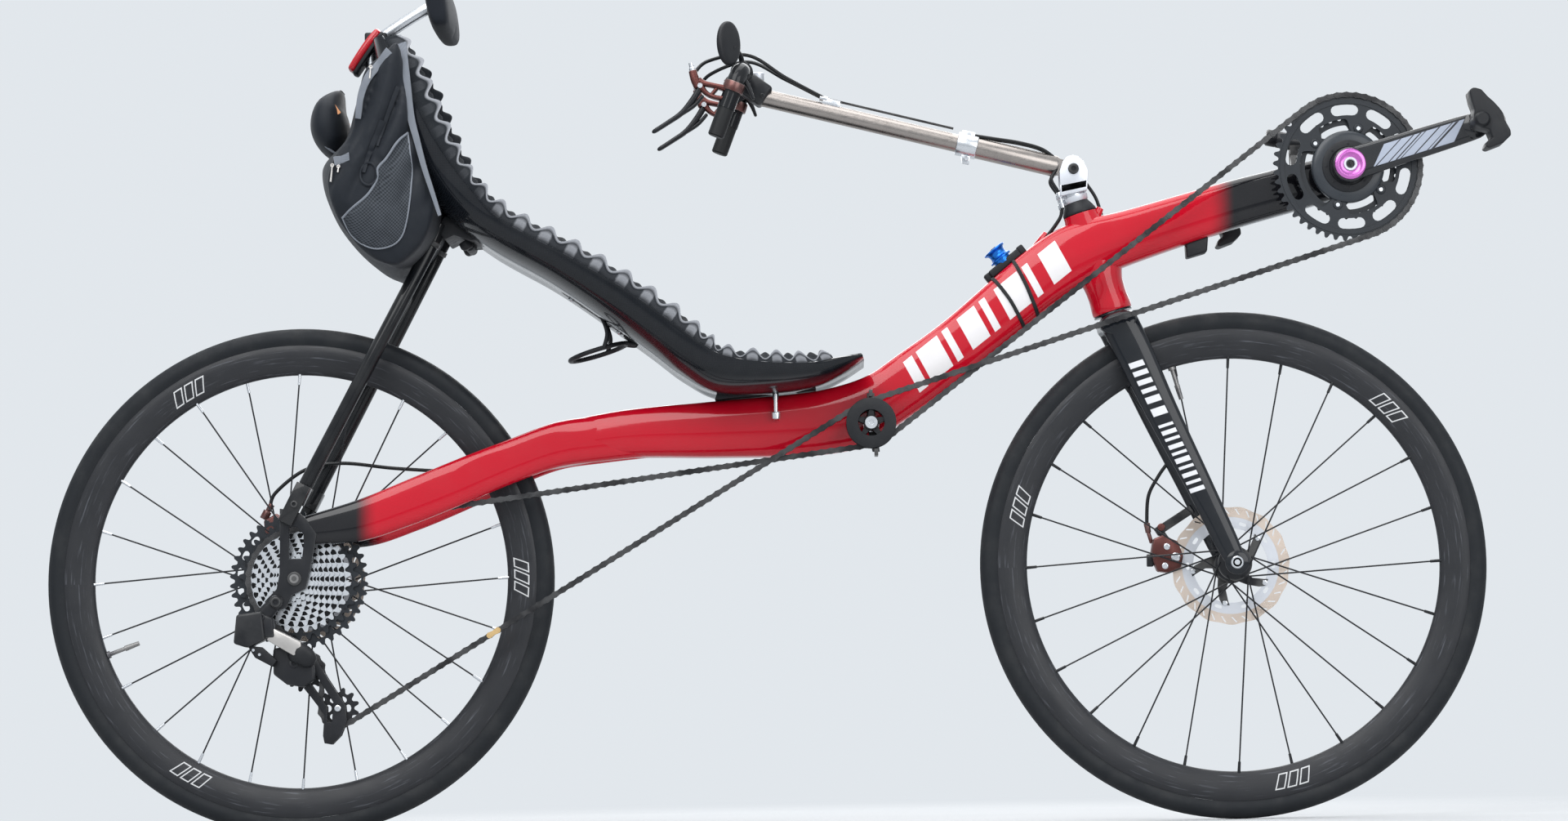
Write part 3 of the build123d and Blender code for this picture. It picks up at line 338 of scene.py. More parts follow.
def hose_points(points: Sequence[Vector], steps: int) -> list[Vector]:
    """Give evenly shared points on a smooth curve through a row of points."""
    rows = [tuple(p) for p in points]
    return [Vector(blend_rows(rows, index / steps)) for index in range(steps + 1)]


def hose_pairs(points: Sequence[Pair], steps: int) -> list[Pair]:
    """Give evenly shared pairs on a smooth curve through a row of pairs."""
    return [tuple(blend_rows(points, index / steps)) for index in range(steps + 1)]


def hose(bm: Mesh, points: Sequence[Vector], radius: float, steps: int = 40,
         sides: int = 12) -> None:
    """Add a round hose along a smooth curve.

    Args:
        bm: the mesh to add to.
        points: the route, in metres.
        radius: the hose's radius in millimetres.
        steps: lengths along the hose.
        sides: sides round the hose.
    """
    route = hose_points(points, steps)
    frames = []
    side = None
    for index, here in enumerate(route):
        line = (route[min(index + 1, steps)] - route[max(index - 1, 0)]).normalized()
        if side is None:
            side = line.orthogonal().normalized()
        side = (side - line * side.dot(line)).normalized()
        frames.append((here, side, line.cross(side)))

    def spot(u: float, v: float) -> Vector:
        """Give a point on the hose.

        Args:
            u: share of the way round.
            v: share of the way along.

        Returns:
            The point in metres.
        """
        here, first, second = frames[round(v * steps)]
        angle = math.tau * u
        return here + (first * math.cos(angle) + second * math.sin(angle)) * radius * MM

    surface(bm, sides, steps, spot)


def strap(bm: Mesh, points: Sequence[Vector], normals: Sequence[Vector], width: float,
          thick: float, steps: int = 40, end_width: float | None = None) -> None:
    """Add a flat strap along a smooth curve.

    Args:
        bm: the mesh to add to.
        points: the route of its middle, in metres.
        normals: the way its outer face looks at each point of the route.
        width: millimetres across.
        thick: millimetres thick.
        steps: lengths along the strap.
        end_width: millimetres across at the far end, where it differs.
    """
    route = hose_points(points, steps)
    looks = hose_points(normals, steps)
    section = [(-0.5, 0.0), (-0.46, 0.9), (-0.3, 1.0), (0.3, 1.0), (0.46, 0.9), (0.5, 0.0), (0.3, -0.1), (-0.3, -0.1)]

    def spot(u: float, v: float) -> Vector:
        """Give a point on the strap.

        Args:
            u: share of the way round.
            v: share of the way along.

        Returns:
            The point in metres.
        """
        index = round(v * steps)
        line = (route[min(index + 1, steps)] - route[max(index - 1, 0)]).normalized()
        look = (looks[index] - line * looks[index].dot(line)).normalized()
        across, lift = section[round(u * len(section)) % len(section)]
        wide = width + ((width if end_width is None else end_width) - width) * v
        return route[index] + line.cross(look) * across * wide * MM + look * lift * thick * MM

    surface(bm, len(section), steps, spot)


def limb(bm: Mesh, stations: Sequence[Sequence[float]], power: float = 2.0, tip: float = 0.08,
         around: int = 24, length: int = 28) -> list[bmesh.types.BMVert]:
    """Add a rounded bar through stations in a side view.

    Args:
        bm: the mesh to add to.
        stations: rows of x, z, y, half height and half width in millimetres.
        power: 2 for an oval section, more for a boxy one.
        tip: share of the length over which each end is rounded off.
        around: sides round the bar.
        length: rows along it.

    Returns:
        Its vertices.
    """

    def spot(u: float, v: float) -> Vector:
        """Give a point on the bar.

        Args:
            u: share of the way round.
            v: share of the way along.

        Returns:
            The point in metres.
        """
        share = 0.5 - 0.5 * math.cos(math.pi * v)
        x, z, y, high, wide = blend_rows(stations, share)
        x0, z0 = blend_rows(stations, share - 0.02)[:2]
        x1, z1 = blend_rows(stations, share + 0.02)[:2]
        long = math.hypot(x1 - x0, z1 - z0) or 1.0
        close = min(share, 1.0 - share) / tip if tip else 1.0
        fit = math.sqrt(max(1.0 - (1.0 - min(close, 1.0)) ** 2, 0.12))
        c, s = math.cos(math.tau * u), math.sin(math.tau * u)
        a = math.copysign(abs(c) ** (2.0 / power), c) * high * fit
        b = math.copysign(abs(s) ** (2.0 / power), s) * wide * fit
        return place(x - (z1 - z0) / long * a, z + (x1 - x0) / long * a, y + b)

    return surface(bm, around, length, spot)


def polar_loop(x: float, z: float, spots: Iterable[Pair]) -> list[Pair]:
    """Turn radii and angles about a centre into an outline."""
    return [(x + r * math.cos(a), z + r * math.sin(a)) for r, a in spots]


def bar_loop(x: float, z: float, angle: float, spots: Iterable[Pair]) -> list[Pair]:
    """Give the outline of an arm that leans at an angle from a centre.

    Args:
        x: the centre's place ahead of the rear hub, in millimetres.
        z: its height.
        angle: the arm's angle above straight ahead.
        spots: the outline as lengths along the arm and square to it.

    Returns:
        The points as pairs of x and z.
    """
    c, s = math.cos(angle), math.sin(angle)
    return [(x + r * c - w * s, z + r * s + w * c) for r, w in spots]


def circle_loop(x: float, z: float, radius: float, steps: int = 72) -> list[Pair]:
    """Give the outline of a round opening.

    Args:
        x: its centre's place ahead of the rear hub, in millimetres.
        z: its centre's height.
        radius: its radius.
        steps: the number of points.

    Returns:
        The points as pairs of x and z.
    """
    return polar_loop(x, z, [(radius, math.tau * step / steps) for step in range(steps)])


def slots(x: float, z: float, count: int, low: float, high: float, metal: float, turn: float = 0.0) -> list[list[Pair]]:
    """Give the outlines of even slots with round ends about an axle.

    Args:
        x: the axle's place ahead of the rear hub, in millimetres.
        z: its height.
        count: the number of slots.
        low: the slots' inner radius.
        high: the slots' outer radius.
        metal: share of each step that stays metal between two slots.
        turn: how far the slots are shifted, as a share of one step.

    Returns:
        One outline for each slot.
    """
    middle, half = (low + high) / 2, (high - low) / 2
    reach = max(math.pi * (1 - metal) / count - half / middle, 0.001)
    parts = max(1, round(reach / 0.05))
    loops = []
    for step in range(count):
        centre = math.tau * (step + turn) / count
        spots = []
        for end in (1, -1):
            for part in range(7):
                angle = math.pi * part / 6
                spots.append((middle + end * half * math.cos(angle),
                              centre + end * (reach + half / middle * math.sin(angle))))
            spots += [(middle - end * half, centre + end * reach * (1 - 2 * part / parts)) for part in range(1, parts)]
        loops.append(polar_loop(x, z, spots))
    return loops


TOOTH_SHAPE = (0.0, 0.12, 0.8, 1.0, 0.8, 0.12)
TOOTH_HEIGHT = 7.2
ROOT_DEPTH = 3.5


def pitch_radius(teeth: int) -> float:
    """Give the pitch radius for a number of teeth."""
    return PITCH / (2 * math.sin(math.pi / teeth))


def gear(bm: Mesh, x: float, z: float, y: float, teeth: int, thick: float,
         holes: Sequence[Sequence[Pair]]) -> None:
    """Add a toothed ring with openings.

    Args:
        bm: the mesh to add to.
        x: its axle's place ahead of the rear hub, in millimetres.
        z: its axle's height.
        y: its outer face.
        teeth: the number of teeth on a chain of half-inch pitch.
        thick: the ring's thickness, laid towards the left.
        holes: outlines of its bore and openings.
    """
    around = teeth * len(TOOTH_SHAPE)
    root = pitch_radius(teeth) - ROOT_DEPTH
    outline = [(root + TOOTH_HEIGHT * TOOTH_SHAPE[step % len(TOOTH_SHAPE)], math.tau * step / around)
               for step in range(around)]
    plate(bm, polar_loop(x, z, outline), y, y + thick, holes)


# ------------------------------------------------------------------ finishes
class Texture(Enum):
    """Kinds of fine surface pattern."""

    GRAIN = "fine grain"
    TWILL = "carbon twill"
    CLOTH = "plain weave"
    BRUSHED = "brushed lines"
    FOAM = "open cells"
    NETTING = "open netting"


class Shader:
    """A node tree with short ways to add and link its nodes."""

    def __init__(self, tree: bpy.types.NodeTree) -> None:
        """Start on an empty tree."""
        self.tree = tree
        tree.nodes.clear()

    def node(self, kind: str, **values: object) -> bpy.types.Node:
        """Add a node, with attributes by name.

        Args:
            kind: the node's type.
            values: its attributes by name.

        Returns:
            The node.
        """
        made = self.tree.nodes.new(kind)
        for name, value in values.items():
            setattr(made, name, value)
        return made

    def link(self, source: Socket, target: Socket) -> None:
        """Join two sockets."""
        self.tree.links.new(source, target)

    def feed(self, target: Socket, value: object) -> None:
        """Set a socket's value, or link it where the value is a socket.

        Args:
            target: the socket.
            value: a number, a colour or a socket.
        """
        if isinstance(value, Socket):
            self.link(value, target)
        else:
            target.default_value = value

    def maths(self, operation: str, first: object, second: object = 0.0, third: object = 0.0) -> Socket:
        """Add a Math node.

        Args:
            operation: the node's operation.
            first: a number or socket.
            second: a number or socket.
            third: a number or socket.

        Returns:
            Its output.
        """
        made = self.node("ShaderNodeMath", operation=operation)
        for target, value in zip(made.inputs, (first, second, third)):
            self.feed(target, value)
        return made.outputs[0]

    def mix(self, share: object, first: object, second: object) -> Socket:
        """Mix two colours.

        Args:
            share: how much of the second, a number or socket.
            first: a colour or socket.
            second: a colour or socket.

        Returns:
            The mixed colour.
        """
        made = self.node("ShaderNodeMix", data_type="RGBA")
        self.feed(made.inputs[0], share)
        self.feed(made.inputs[6], (*first, 1.0) if isinstance(first, tuple) else first)
        self.feed(made.inputs[7], (*second, 1.0) if isinstance(second, tuple) else second)
        return made.outputs[2]

    def ramp(self, value: object, low: float, high: float, out_low: float = 0.0,
             out_high: float = 1.0) -> Socket:
        """Map a value from one range to another, smoothly and clamped.

        Args:
            value: a number or socket.
            low: where the range starts.
            high: where it ends.
            out_low: what its start becomes.
            out_high: what its end becomes.

        Returns:
            The mapped value.
        """
        made = self.node("ShaderNodeMapRange", interpolation_type="SMOOTHSTEP")
        self.feed(made.inputs["Value"], value)
        for label, number in (("From Min", low), ("From Max", high), ("To Min", out_low), ("To Max", out_high)):
            made.inputs[label].default_value = number
        return made.outputs["Result"]

    def noise(self, vector: Socket, scale: object, detail: float = 4.0) -> Socket:
        """Add a noise texture and give its value.

        Args:
            vector: where it is read.
            scale: a number or socket.
            detail: its octaves.

        Returns:
            Its value.
        """
        made = self.node("ShaderNodeTexNoise")
        self.feed(made.inputs["Vector"], vector)
        self.feed(made.inputs["Scale"], scale)
        made.inputs["Detail"].default_value = detail
        return made.outputs[0]

    def vector(self, operation: str, first: Socket, second: Vector) -> bpy.types.Node:
        """Add a Vector Math node.

        Args:
            operation: the node's operation.
            first: a socket.
            second: a fixed vector.

        Returns:
            The node.
        """
        made = self.node("ShaderNodeVectorMath", operation=operation)
        self.link(first, made.inputs[0])
        made.inputs[1].default_value = second
        return made

    def split(self, vector: Socket) -> Sequence[Socket]:
        """Split a vector into its three parts.

        Args:
            vector: the vector's socket.

        Returns:
            The sockets of x, y and z.
        """
        made = self.node("ShaderNodeSeparateXYZ")
        self.link(vector, made.inputs[0])
        return made.outputs

    def blend(self, share: Socket, first: bpy.types.Node, second: bpy.types.Node, target: Socket) -> None:
        """Mix two shaders into the output's surface.

        Args:
            share: how much of the second.
            first: a shader.
            second: a shader.
            target: the socket that takes the mix.
        """
        mixed = self.node("ShaderNodeMixShader")
        for source, inlet in zip((share, first.outputs[0], second.outputs[0]), mixed.inputs):
            self.link(source, inlet)
        self.link(mixed.outputs[0], target)

    def spot(self) -> Socket:
        """Give the object's own coordinates."""
        return self.node("ShaderNodeTexCoord").outputs["Object"]


def new_group(name: str, inputs: Sequence[tuple[str, float]], outputs: Sequence[str]) -> tuple:
    """Make an empty shader group.

    Args:
        name: the group's name.
        inputs: names and default values of its number inputs.
        outputs: names of its number outputs.

    Returns:
        The group, a Shader on it, its input node and its output node.
    """
    group = bpy.data.node_groups.new(name, "ShaderNodeTree")
    shader = Shader(group)
    for label, value in inputs:
        made = group.interface.new_socket(name=label, in_out="INPUT", socket_type="NodeSocketFloat")
        made.default_value = value
    for label in outputs:
        group.interface.new_socket(name=label, in_out="OUTPUT", socket_type="NodeSocketFloat")
    return group, shader, shader.node("NodeGroupInput"), shader.node("NodeGroupOutput")


def texture_group(texture: Texture) -> bpy.types.NodeTree:
    """Give the shared group of one fine pattern, made on first use.

    Args:
        texture: the pattern.

    Returns:
        A group with a Scale input, and Mask and Height outputs from 0 to 1.
    """
    name = f"pattern {texture.value}"
    if name in bpy.data.node_groups:
        return bpy.data.node_groups[name]
    group, s, given, result = new_group(name, [("Scale", 400.0)], ["Mask", "Height"])
    scale = given.outputs["Scale"]
    spot = s.spot()
    large = s.noise(spot, s.maths("MULTIPLY", scale, 0.04), 5.0)
    if texture in (Texture.GRAIN, Texture.FOAM):
        fine = s.noise(spot, scale, 6.0)
        if texture is Texture.FOAM:
            cells = s.node("ShaderNodeTexVoronoi")
            s.link(spot, cells.inputs["Vector"])
            s.link(scale, cells.inputs["Scale"])
            fine = s.maths("MULTIPLY", s.ramp(cells.outputs["Distance"], 0.1, 0.6), fine)
        mask, height = large, fine
    elif texture is Texture.BRUSHED:
        stretch = s.node("ShaderNodeMapping")
        s.link(spot, stretch.inputs["Vector"])
        stretch.inputs["Scale"].default_value = (0.05, 1.0, 1.0)
        fine = s.noise(stretch.outputs["Vector"], scale, 8.0)
        mask, height = s.maths("MULTIPLY_ADD", fine, 0.6, s.maths("MULTIPLY", large, 0.4)), fine
    else:
        x, y, z = s.split(spot)
        if texture is Texture.TWILL:
            first = s.maths("SINE", s.maths("MULTIPLY", s.maths("ADD", x, z), scale))
            second = s.maths("SINE", s.maths("MULTIPLY", s.maths("SUBTRACT", s.maths("ADD", x, y), z), scale))
        else:
            first = s.maths("SINE", s.maths("MULTIPLY", s.maths("ADD", x, s.maths("MULTIPLY", y, 0.6)), scale))
            second = s.maths("SINE", s.maths("MULTIPLY", s.maths("SUBTRACT", z, s.maths("MULTIPLY", y, 0.6)), scale))
        woven = s.maths("MULTIPLY_ADD", s.maths("MULTIPLY", first, second), 0.5, 0.5)
        if texture is Texture.NETTING:
            woven = s.ramp(woven, 0.25, 0.7)
        mask = s.maths("MULTIPLY_ADD", woven, 0.55, s.maths("MULTIPLY", large, 0.45))
        height = woven
    s.feed(result.inputs["Mask"], mask)
    s.feed(result.inputs["Height"], height)
    return group


def wear_group() -> bpy.types.NodeTree:
    """Give the shared group of dust on upward faces and rubbed edges, made on first use.

    Returns:
        A group with Dust and Edge outputs from 0 to 1.
    """
    name = "dust and rubbed edges"
    if name in bpy.data.node_groups:
        return bpy.data.node_groups[name]
    group, s, given, result = new_group(name, [("Scale", 30.0)], ["Dust", "Edge"])
    shape = s.node("ShaderNodeNewGeometry")
    patches = s.noise(s.spot(), given.outputs["Scale"], 8.0)
    up = s.maths("MULTIPLY_ADD", s.ramp(s.split(shape.outputs["Normal"])[2], -0.3, 0.9), 0.7, 0.3)
    s.feed(result.inputs["Dust"], s.maths("MULTIPLY", s.ramp(patches, 0.42, 0.72), up))
    edge = s.ramp(shape.outputs["Pointiness"], 0.53, 0.6)
    s.feed(result.inputs["Edge"], s.maths("MULTIPLY", edge, s.ramp(patches, 0.35, 0.6)))
    return group


METAL_SPECULAR = 0.5
COAT_ROUGHNESS = 0.06
SHEEN_ROUGHNESS = 0.5
DUST_COLOUR = (0.2, 0.195, 0.185)


@dataclass(frozen=True)
class Finish:
    """How one material looks.

    Colours are linear; lengths of the pattern follow from scale, in turns per metre.
    """

    name: str
    slot: str
    colour: Colour
    second: Colour
    roughness: float = 0.5
    spread: float = 0.1
    metallic: float = 0.0
    specular: float = 0.3
    coat: float = 0.0
    sheen: float = 0.0
    texture: Texture = Texture.GRAIN
    scale: float = 900.0
    bump: float = 0.15
    depth: float = 0.0004
    dust: float = 0.0
    wear: float = 0.0
    wear_colour: Colour = (0.45, 0.44, 0.42)

    def paint(self, s: Shader, base: Socket) -> Socket:
        """Change the base colour by marks of this finish; a plain finish has none."""
        return base

    def material(self) -> bpy.types.Material:
        """Give the finish's material, made on first use.

        Returns:
            The material.
        """
        if self.name in bpy.data.materials:
            return bpy.data.materials[self.name]
        made = bpy.data.materials.new(self.name)
        made.use_nodes = True
        s = Shader(made.node_tree)
        result = s.node("ShaderNodeOutputMaterial")
        shader = s.node("ShaderNodeBsdfPrincipled")
        s.link(shader.outputs[0], result.inputs["Surface"])
        pattern = s.node("ShaderNodeGroup", node_tree=texture_group(self.texture))
        pattern.inputs["Scale"].default_value = self.scale
        colour = self.paint(s, s.mix(pattern.outputs["Mask"], self.colour, self.second))
        rough = s.ramp(pattern.outputs["Mask"], 0.2, 0.8, self.roughness - self.spread, self.roughness + self.spread)
        if self.dust or self.wear:
            marks = s.node("ShaderNodeGroup", node_tree=wear_group())
            colour = s.mix(s.maths("MULTIPLY", marks.outputs["Dust"], self.dust), colour, DUST_COLOUR)
            colour = s.mix(s.maths("MULTIPLY", marks.outputs["Edge"], self.wear), colour, self.wear_colour)
            rough = s.maths("ADD", rough, s.maths("MULTIPLY", marks.outputs["Dust"], self.dust * 0.5))
        s.link(colour, shader.inputs["Base Color"])
        s.link(rough, shader.inputs["Roughness"])
        relief = s.node("ShaderNodeBump")
        specular = METAL_SPECULAR if self.metallic else self.specular
        for node, label, value in (
                (shader, "Metallic", self.metallic), (shader, "Specular IOR Level", specular),
                (shader, "Coat Weight", self.coat), (shader, "Coat Roughness", COAT_ROUGHNESS),
                (shader, "Sheen Weight", self.sheen), (shader, "Sheen Roughness", SHEEN_ROUGHNESS),
                (relief, "Strength", self.bump), (relief, "Distance", self.depth)):
            node.inputs[label].default_value = value
        s.link(pattern.outputs["Height"], relief.inputs["Height"])
        s.link(relief.outputs[0], shader.inputs["Normal"])
        return made


BAR_BLUR = 0.4


def bars_mask(s: Shader, origin: Vector, along: Vector, up: Vector, bars: Sequence[tuple[float, float]],
              height: float, slant: float) -> Socket:
    """Give a mask of slanted bars on a flat side.

    Args:
        s: the shader to build in.
        origin: the start of the row, at the middle of its height.
        along: the row's direction.
        up: the bars' direction.
        bars: start and end of each bar along the row, in millimetres.
        height: the bars' height in millimetres.
        slant: how far a bar leans per millimetre of height.

    Returns:
        A mask, 1 on a bar.
    """
    shifted = s.vector("SUBTRACT", s.spot(), origin)
    reach = []
    for way in (along, up):
        dot = s.vector("DOT_PRODUCT", shifted.outputs[0], way.normalized())
        reach.append(s.maths("MULTIPLY", dot.outputs["Value"], 1.0 / MM))
    row = s.maths("MULTIPLY_ADD", reach[1], -slant, reach[0])
    over = s.ramp(s.maths("ABSOLUTE", reach[1]), height / 2 - BAR_BLUR, height / 2 + BAR_BLUR)
    tall = s.maths("SUBTRACT", 1.0, over)
    total: object = 0.0
    for first, last in bars:
        middle, half = (first + last) / 2, (last - first) / 2
        away = s.maths("ABSOLUTE", s.maths("SUBTRACT", row, middle))
        total = s.maths("ADD", total, s.maths("SUBTRACT", 1.0, s.ramp(away, half - BAR_BLUR, half + BAR_BLUR)))
    look = s.split(s.node("ShaderNodeNewGeometry").outputs["Normal"])[1]
    side = s.ramp(s.maths("ABSOLUTE", look), 0.45, 0.6)
    outward = s.ramp(s.maths("MULTIPLY", look, s.split(s.spot())[1]), 0.0, 0.004)
    return s.maths("MULTIPLY", s.maths("MULTIPLY", total, tall), s.maths("MULTIPLY", side, outward))


@dataclass(frozen=True)
class BeamPaint(Finish):
    """Red lacquer that fades to black at both ends, with plain white bars on the sides."""

    black: Colour = (0.006, 0.006, 0.008)
    white: Colour = (0.86, 0.83, 0.83)
    rear_fade: Pair = (80.0, 112.0)
    front_fade: Pair = (1225.0, 1262.0)
    bars: tuple[Pair, ...] = ((0, 15), (22, 58), (66, 76), (92, 122), (130, 140), (156, 196), (204, 214), (232, 262))

    def paint(self, s: Shader, base: Socket) -> Socket:
        """Add the fades and the bars.

        Args:
            s: the shader to build in.
            base: the colour so far.

        Returns:
            The changed colour.
        """
        x_socket = s.split(s.spot())[0]
        rear = s.ramp(x_socket, *[(x - SEAT_X) * MM for x in self.rear_fade], 1.0, 0.0)
        front = s.ramp(x_socket, *[(x - SEAT_X) * MM for x in self.front_fade], 0.0, 1.0)
        colour = s.mix(s.maths("MAXIMUM", rear, front), base, self.black)
        start, end = place(822.0, 596.0), place(1036.0, 762.0)
        along = end - start
        up = Vector((-along.z, 0.0, along.x))
        mask = bars_mask(s, start, along, up, self.bars, 46.0, 0.18)
        return s.mix(mask, colour, self.white)


@dataclass(frozen=True)
class BladePaint(Finish):
    """Dark carbon with plain white bars down the fork's sides."""

    bars: tuple[Pair, ...] = ((0, 8), (13, 20), (26, 33), (39, 45), (51, 60), (68, 79), (92, 96), (101, 107),
                              (112, 116), (122, 128), (133, 137), (142, 149), (154, 158), (164, 170), (176, 180),
                              (186, 192))
    white: Colour = (0.8, 0.8, 0.82)

    def paint(self, s: Shader, base: Socket) -> Socket:
        """Add the bars.

        Args:
            s: the shader to build in.
            base: the colour so far.

        Returns:
            The changed colour.
        """
        start, end = steer(-76.0, 4.0), steer(-328.0, 35.0)
        along = end - start
        up = Vector((-along.z, 0.0, along.x))
        return s.mix(bars_mask(s, start, along, up, self.bars, 20.0, 0.12), base, self.white)


@dataclass(frozen=True)
class CrankPaint(Finish):
    """Black arm with a pale panel and dark slanted lines on its outer side."""

    panel: Colour = (0.42, 0.46, 0.55)
    dark: Colour = (0.03, 0.03, 0.035)
    lines: tuple[Pair, ...] = ((12, 14.5), (30, 32.5), (40, 43), (47, 49), (66, 69), (84, 86), (90, 95))

    def paint(self, s: Shader, base: Socket) -> Socket:
        """Add the panel and its lines.

        Args:
            s: the shader to build in.
            base: the colour so far.

        Returns:
            The changed colour.
        """
        start = crank_spot(40.0, 0.0, 0.0)
        along = crank_spot(100.0, 0.0, 0.0) - crank_spot(0.0, 0.0, 0.0)
        up = crank_spot(0.0, 100.0, 0.0) - crank_spot(0.0, 0.0, 0.0)
        panel = bars_mask(s, start, along, up, ((0.0, 112.0),), 25.0, 0.9)
        lines = bars_mask(s, start, along, up, self.lines, 26.0, 1.7)
        colour = s.mix(panel, base, self.panel)
        return s.mix(s.maths("MULTIPLY", panel, lines), colour, self.dark)


@dataclass(frozen=True)
class RimPaint(Finish):
    """Satin carbon rim with scuffs and three plain outlined marks."""

    centre_x: float = 0.0
    first_mark: float = 0.0
    radius: float = 296.0
    marks: tuple[float, ...] = (-16.0, 0.0, 16.0)
    mark_half: Pair = (5.6, 9.5)
    scuff: Colour = (0.2, 0.21, 0.24)
    white: Colour = (0.78, 0.78, 0.78)

    def paint(self, s: Shader, base: Socket) -> Socket:
        """Add scuffs along the rim and the marks round it.

        Args:
            s: the shader to build in.
            base: the colour so far.

        Returns:
            The changed colour.
        """
        shifted = s.vector("SUBTRACT", s.spot(), place(self.centre_x, AXLE_Z))
        x, _, z = s.split(shifted.outputs[0])
        angle = s.maths("ARCTAN2", z, x)
        radius = s.maths("SQRT", s.maths("ADD", s.maths("MULTIPLY", x, x), s.maths("MULTIPLY", z, z)))
        polar = s.node("ShaderNodeCombineXYZ")
        s.link(s.maths("MULTIPLY", angle, 3.0), polar.inputs[0])
        s.link(s.maths("MULTIPLY", radius, 160.0), polar.inputs[1])
        scuffs = s.ramp(s.noise(polar.outputs[0], 2.2, 9.0), 0.56, 0.75)
        colour = s.mix(s.maths("MULTIPLY", scuffs, 0.35), base, self.scuff)
        third = math.tau / 3.0
        turned_angle = s.maths("ADD", angle, math.tau * 2 - self.first_mark + third / 2)
        share = s.maths("SUBTRACT", s.maths("MODULO", turned_angle, third), third / 2)
        across = s.maths("MULTIPLY", share, self.radius)
        out = s.maths("MULTIPLY_ADD", radius, 1.0 / MM, -self.radius)
        lean = s.maths("MULTIPLY_ADD", out, 0.45, across)
        total: object = 0.0
        for middle in self.marks:
            wide = s.maths("ABSOLUTE", s.maths("SUBTRACT", lean, middle))
            beside = s.maths("SUBTRACT", wide, self.mark_half[0])
            beyond = s.maths("SUBTRACT", s.maths("ABSOLUTE", out), self.mark_half[1])
            away = s.maths("MAXIMUM", beside, beyond)
            line = s.maths("SUBTRACT", 1.0, s.ramp(s.maths("ABSOLUTE", away), 0.5, 1.1))
            total = s.maths("MAXIMUM", total, line)
        return s.mix(s.maths("MULTIPLY", total, 0.9), colour, self.white)


@dataclass(frozen=True)
class FoamPaint(Finish):
    """Dark open-cell foam with a pale cut edge and pale crests, which the piece's "edge" attribute marks; the dark left
    between the crests and under the edge is painted shade.
    """

    cut: Colour = (0.4, 0.41, 0.44)

    def paint(self, s: Shader, base: Socket) -> Socket:
        """Add the pale cut edge and the paler crests over the dark foam, which stays dark between them as painted
        shade.
        """
        marks = s.node("ShaderNodeAttribute", attribute_name="edge")
        return s.mix(marks.outputs["Fac"], base, self.cut)


LACQUER = BeamPaint("red lacquer", "red_paint", (0.6, 0.003, 0.02), (0.5, 0.001, 0.012), 0.3, 0.05, specular=0.05,
                    coat=0.8, bump=0.02, scale=220.0, dust=0.04)
FORK_CARBON = BladePaint("fork carbon", "satin_carbon", (0.004, 0.006, 0.009), (0.009, 0.011, 0.015), 0.34, 0.06,
                         specular=0.1, coat=0.6, texture=Texture.TWILL, scale=2600.0, bump=0.03, dust=0.05)
STAY_CARBON = Finish("stay carbon", "satin_carbon", (0.004, 0.005, 0.007), (0.01, 0.011, 0.013), 0.36, 0.06,
                     specular=0.1, coat=0.4, texture=Texture.TWILL, scale=2600.0, bump=0.03, dust=0.04, wear=0.06)
SEAT_CARBON = Finish("seat carbon", "black_carbon", (0.003, 0.004, 0.006), (0.012, 0.014, 0.018), 0.26, 0.08,
                     specular=0.1, coat=0.45, texture=Texture.TWILL, scale=1500.0, bump=0.06, dust=0.03)
TYRE_RUBBER = Finish("tyre rubber", "tyre", (0.008, 0.01, 0.013), (0.016, 0.018, 0.021), 0.62, 0.08, specular=0.25,
                     bump=0.12, scale=1800.0, dust=0.12)
SPOKE_BLACK = Finish("spoke black", "black_alloy", (0.006, 0.007, 0.009), (0.016, 0.017, 0.02), 0.42, 0.08)
BLACK_ALLOY = Finish("black alloy", "black_alloy", (0.007, 0.008, 0.01), (0.017, 0.018, 0.022), 0.36, 0.08,
                     specular=0.3, bump=0.06, wear=0.2, dust=0.03)
RING_BLACK = Finish("ring black", "black_alloy", (0.011, 0.014, 0.018), (0.02, 0.024, 0.03), 0.38, 0.08, specular=0.35,
                    bump=0.04, dust=0.03)
GREY_ALLOY = Finish("grey alloy", "black_alloy", (0.1, 0.1, 0.11), (0.15, 0.145, 0.15), 0.4, 0.08, metallic=0.8,
                    bump=0.05, wear=0.4)
METER_GREY = Finish("meter grey", "black_alloy", (0.022, 0.027, 0.034), (0.036, 0.042, 0.05), 0.3, 0.06, specular=0.45,
                    bump=0.03, dust=0.03)
SILVER_ALLOY = Finish("silver alloy", "silver_alloy", (0.6, 0.62, 0.65), (0.72, 0.74, 0.77), 0.26, 0.07, metallic=1.0,
                      bump=0.04, texture=Texture.BRUSHED, scale=1200.0)
PALE_ALLOY = Finish("pale anodised alloy", "silver_alloy", (0.62, 0.64, 0.69), (0.72, 0.74, 0.78), 0.42, 0.06,
                    metallic=0.6, bump=0.04)
TITANIUM = Finish("brushed titanium", "titanium", (0.24, 0.215, 0.2), (0.42, 0.385, 0.36), 0.3, 0.08, metallic=1.0,
                  texture=Texture.BRUSHED, scale=2200.0, bump=0.08)
CHAIN_STEEL = Finish("oiled chain steel", "chain_steel", (0.008, 0.008, 0.01), (0.03, 0.03, 0.032), 0.42, 0.1,
                     metallic=0.5, specular=0.3, scale=300.0, wear=0.3, wear_colour=(0.2, 0.2, 0.2))
LINK_GOLD = Finish("gold link", "chain_steel", (0.75, 0.5, 0.22), (0.85, 0.6, 0.3), 0.3, 0.06, metallic=1.0)
SPROCKET_STEEL = Finish("sprocket steel", "cassette_steel", (0.6, 0.62, 0.65), (0.8, 0.82, 0.85), 0.24, 0.07,
                        metallic=0.9, bump=0.04)
ROTOR_STEEL = Finish("rotor steel", "rotor_steel", (0.62, 0.51, 0.43), (0.74, 0.64, 0.56), 0.3, 0.08, metallic=0.8,
                     scale=500.0)
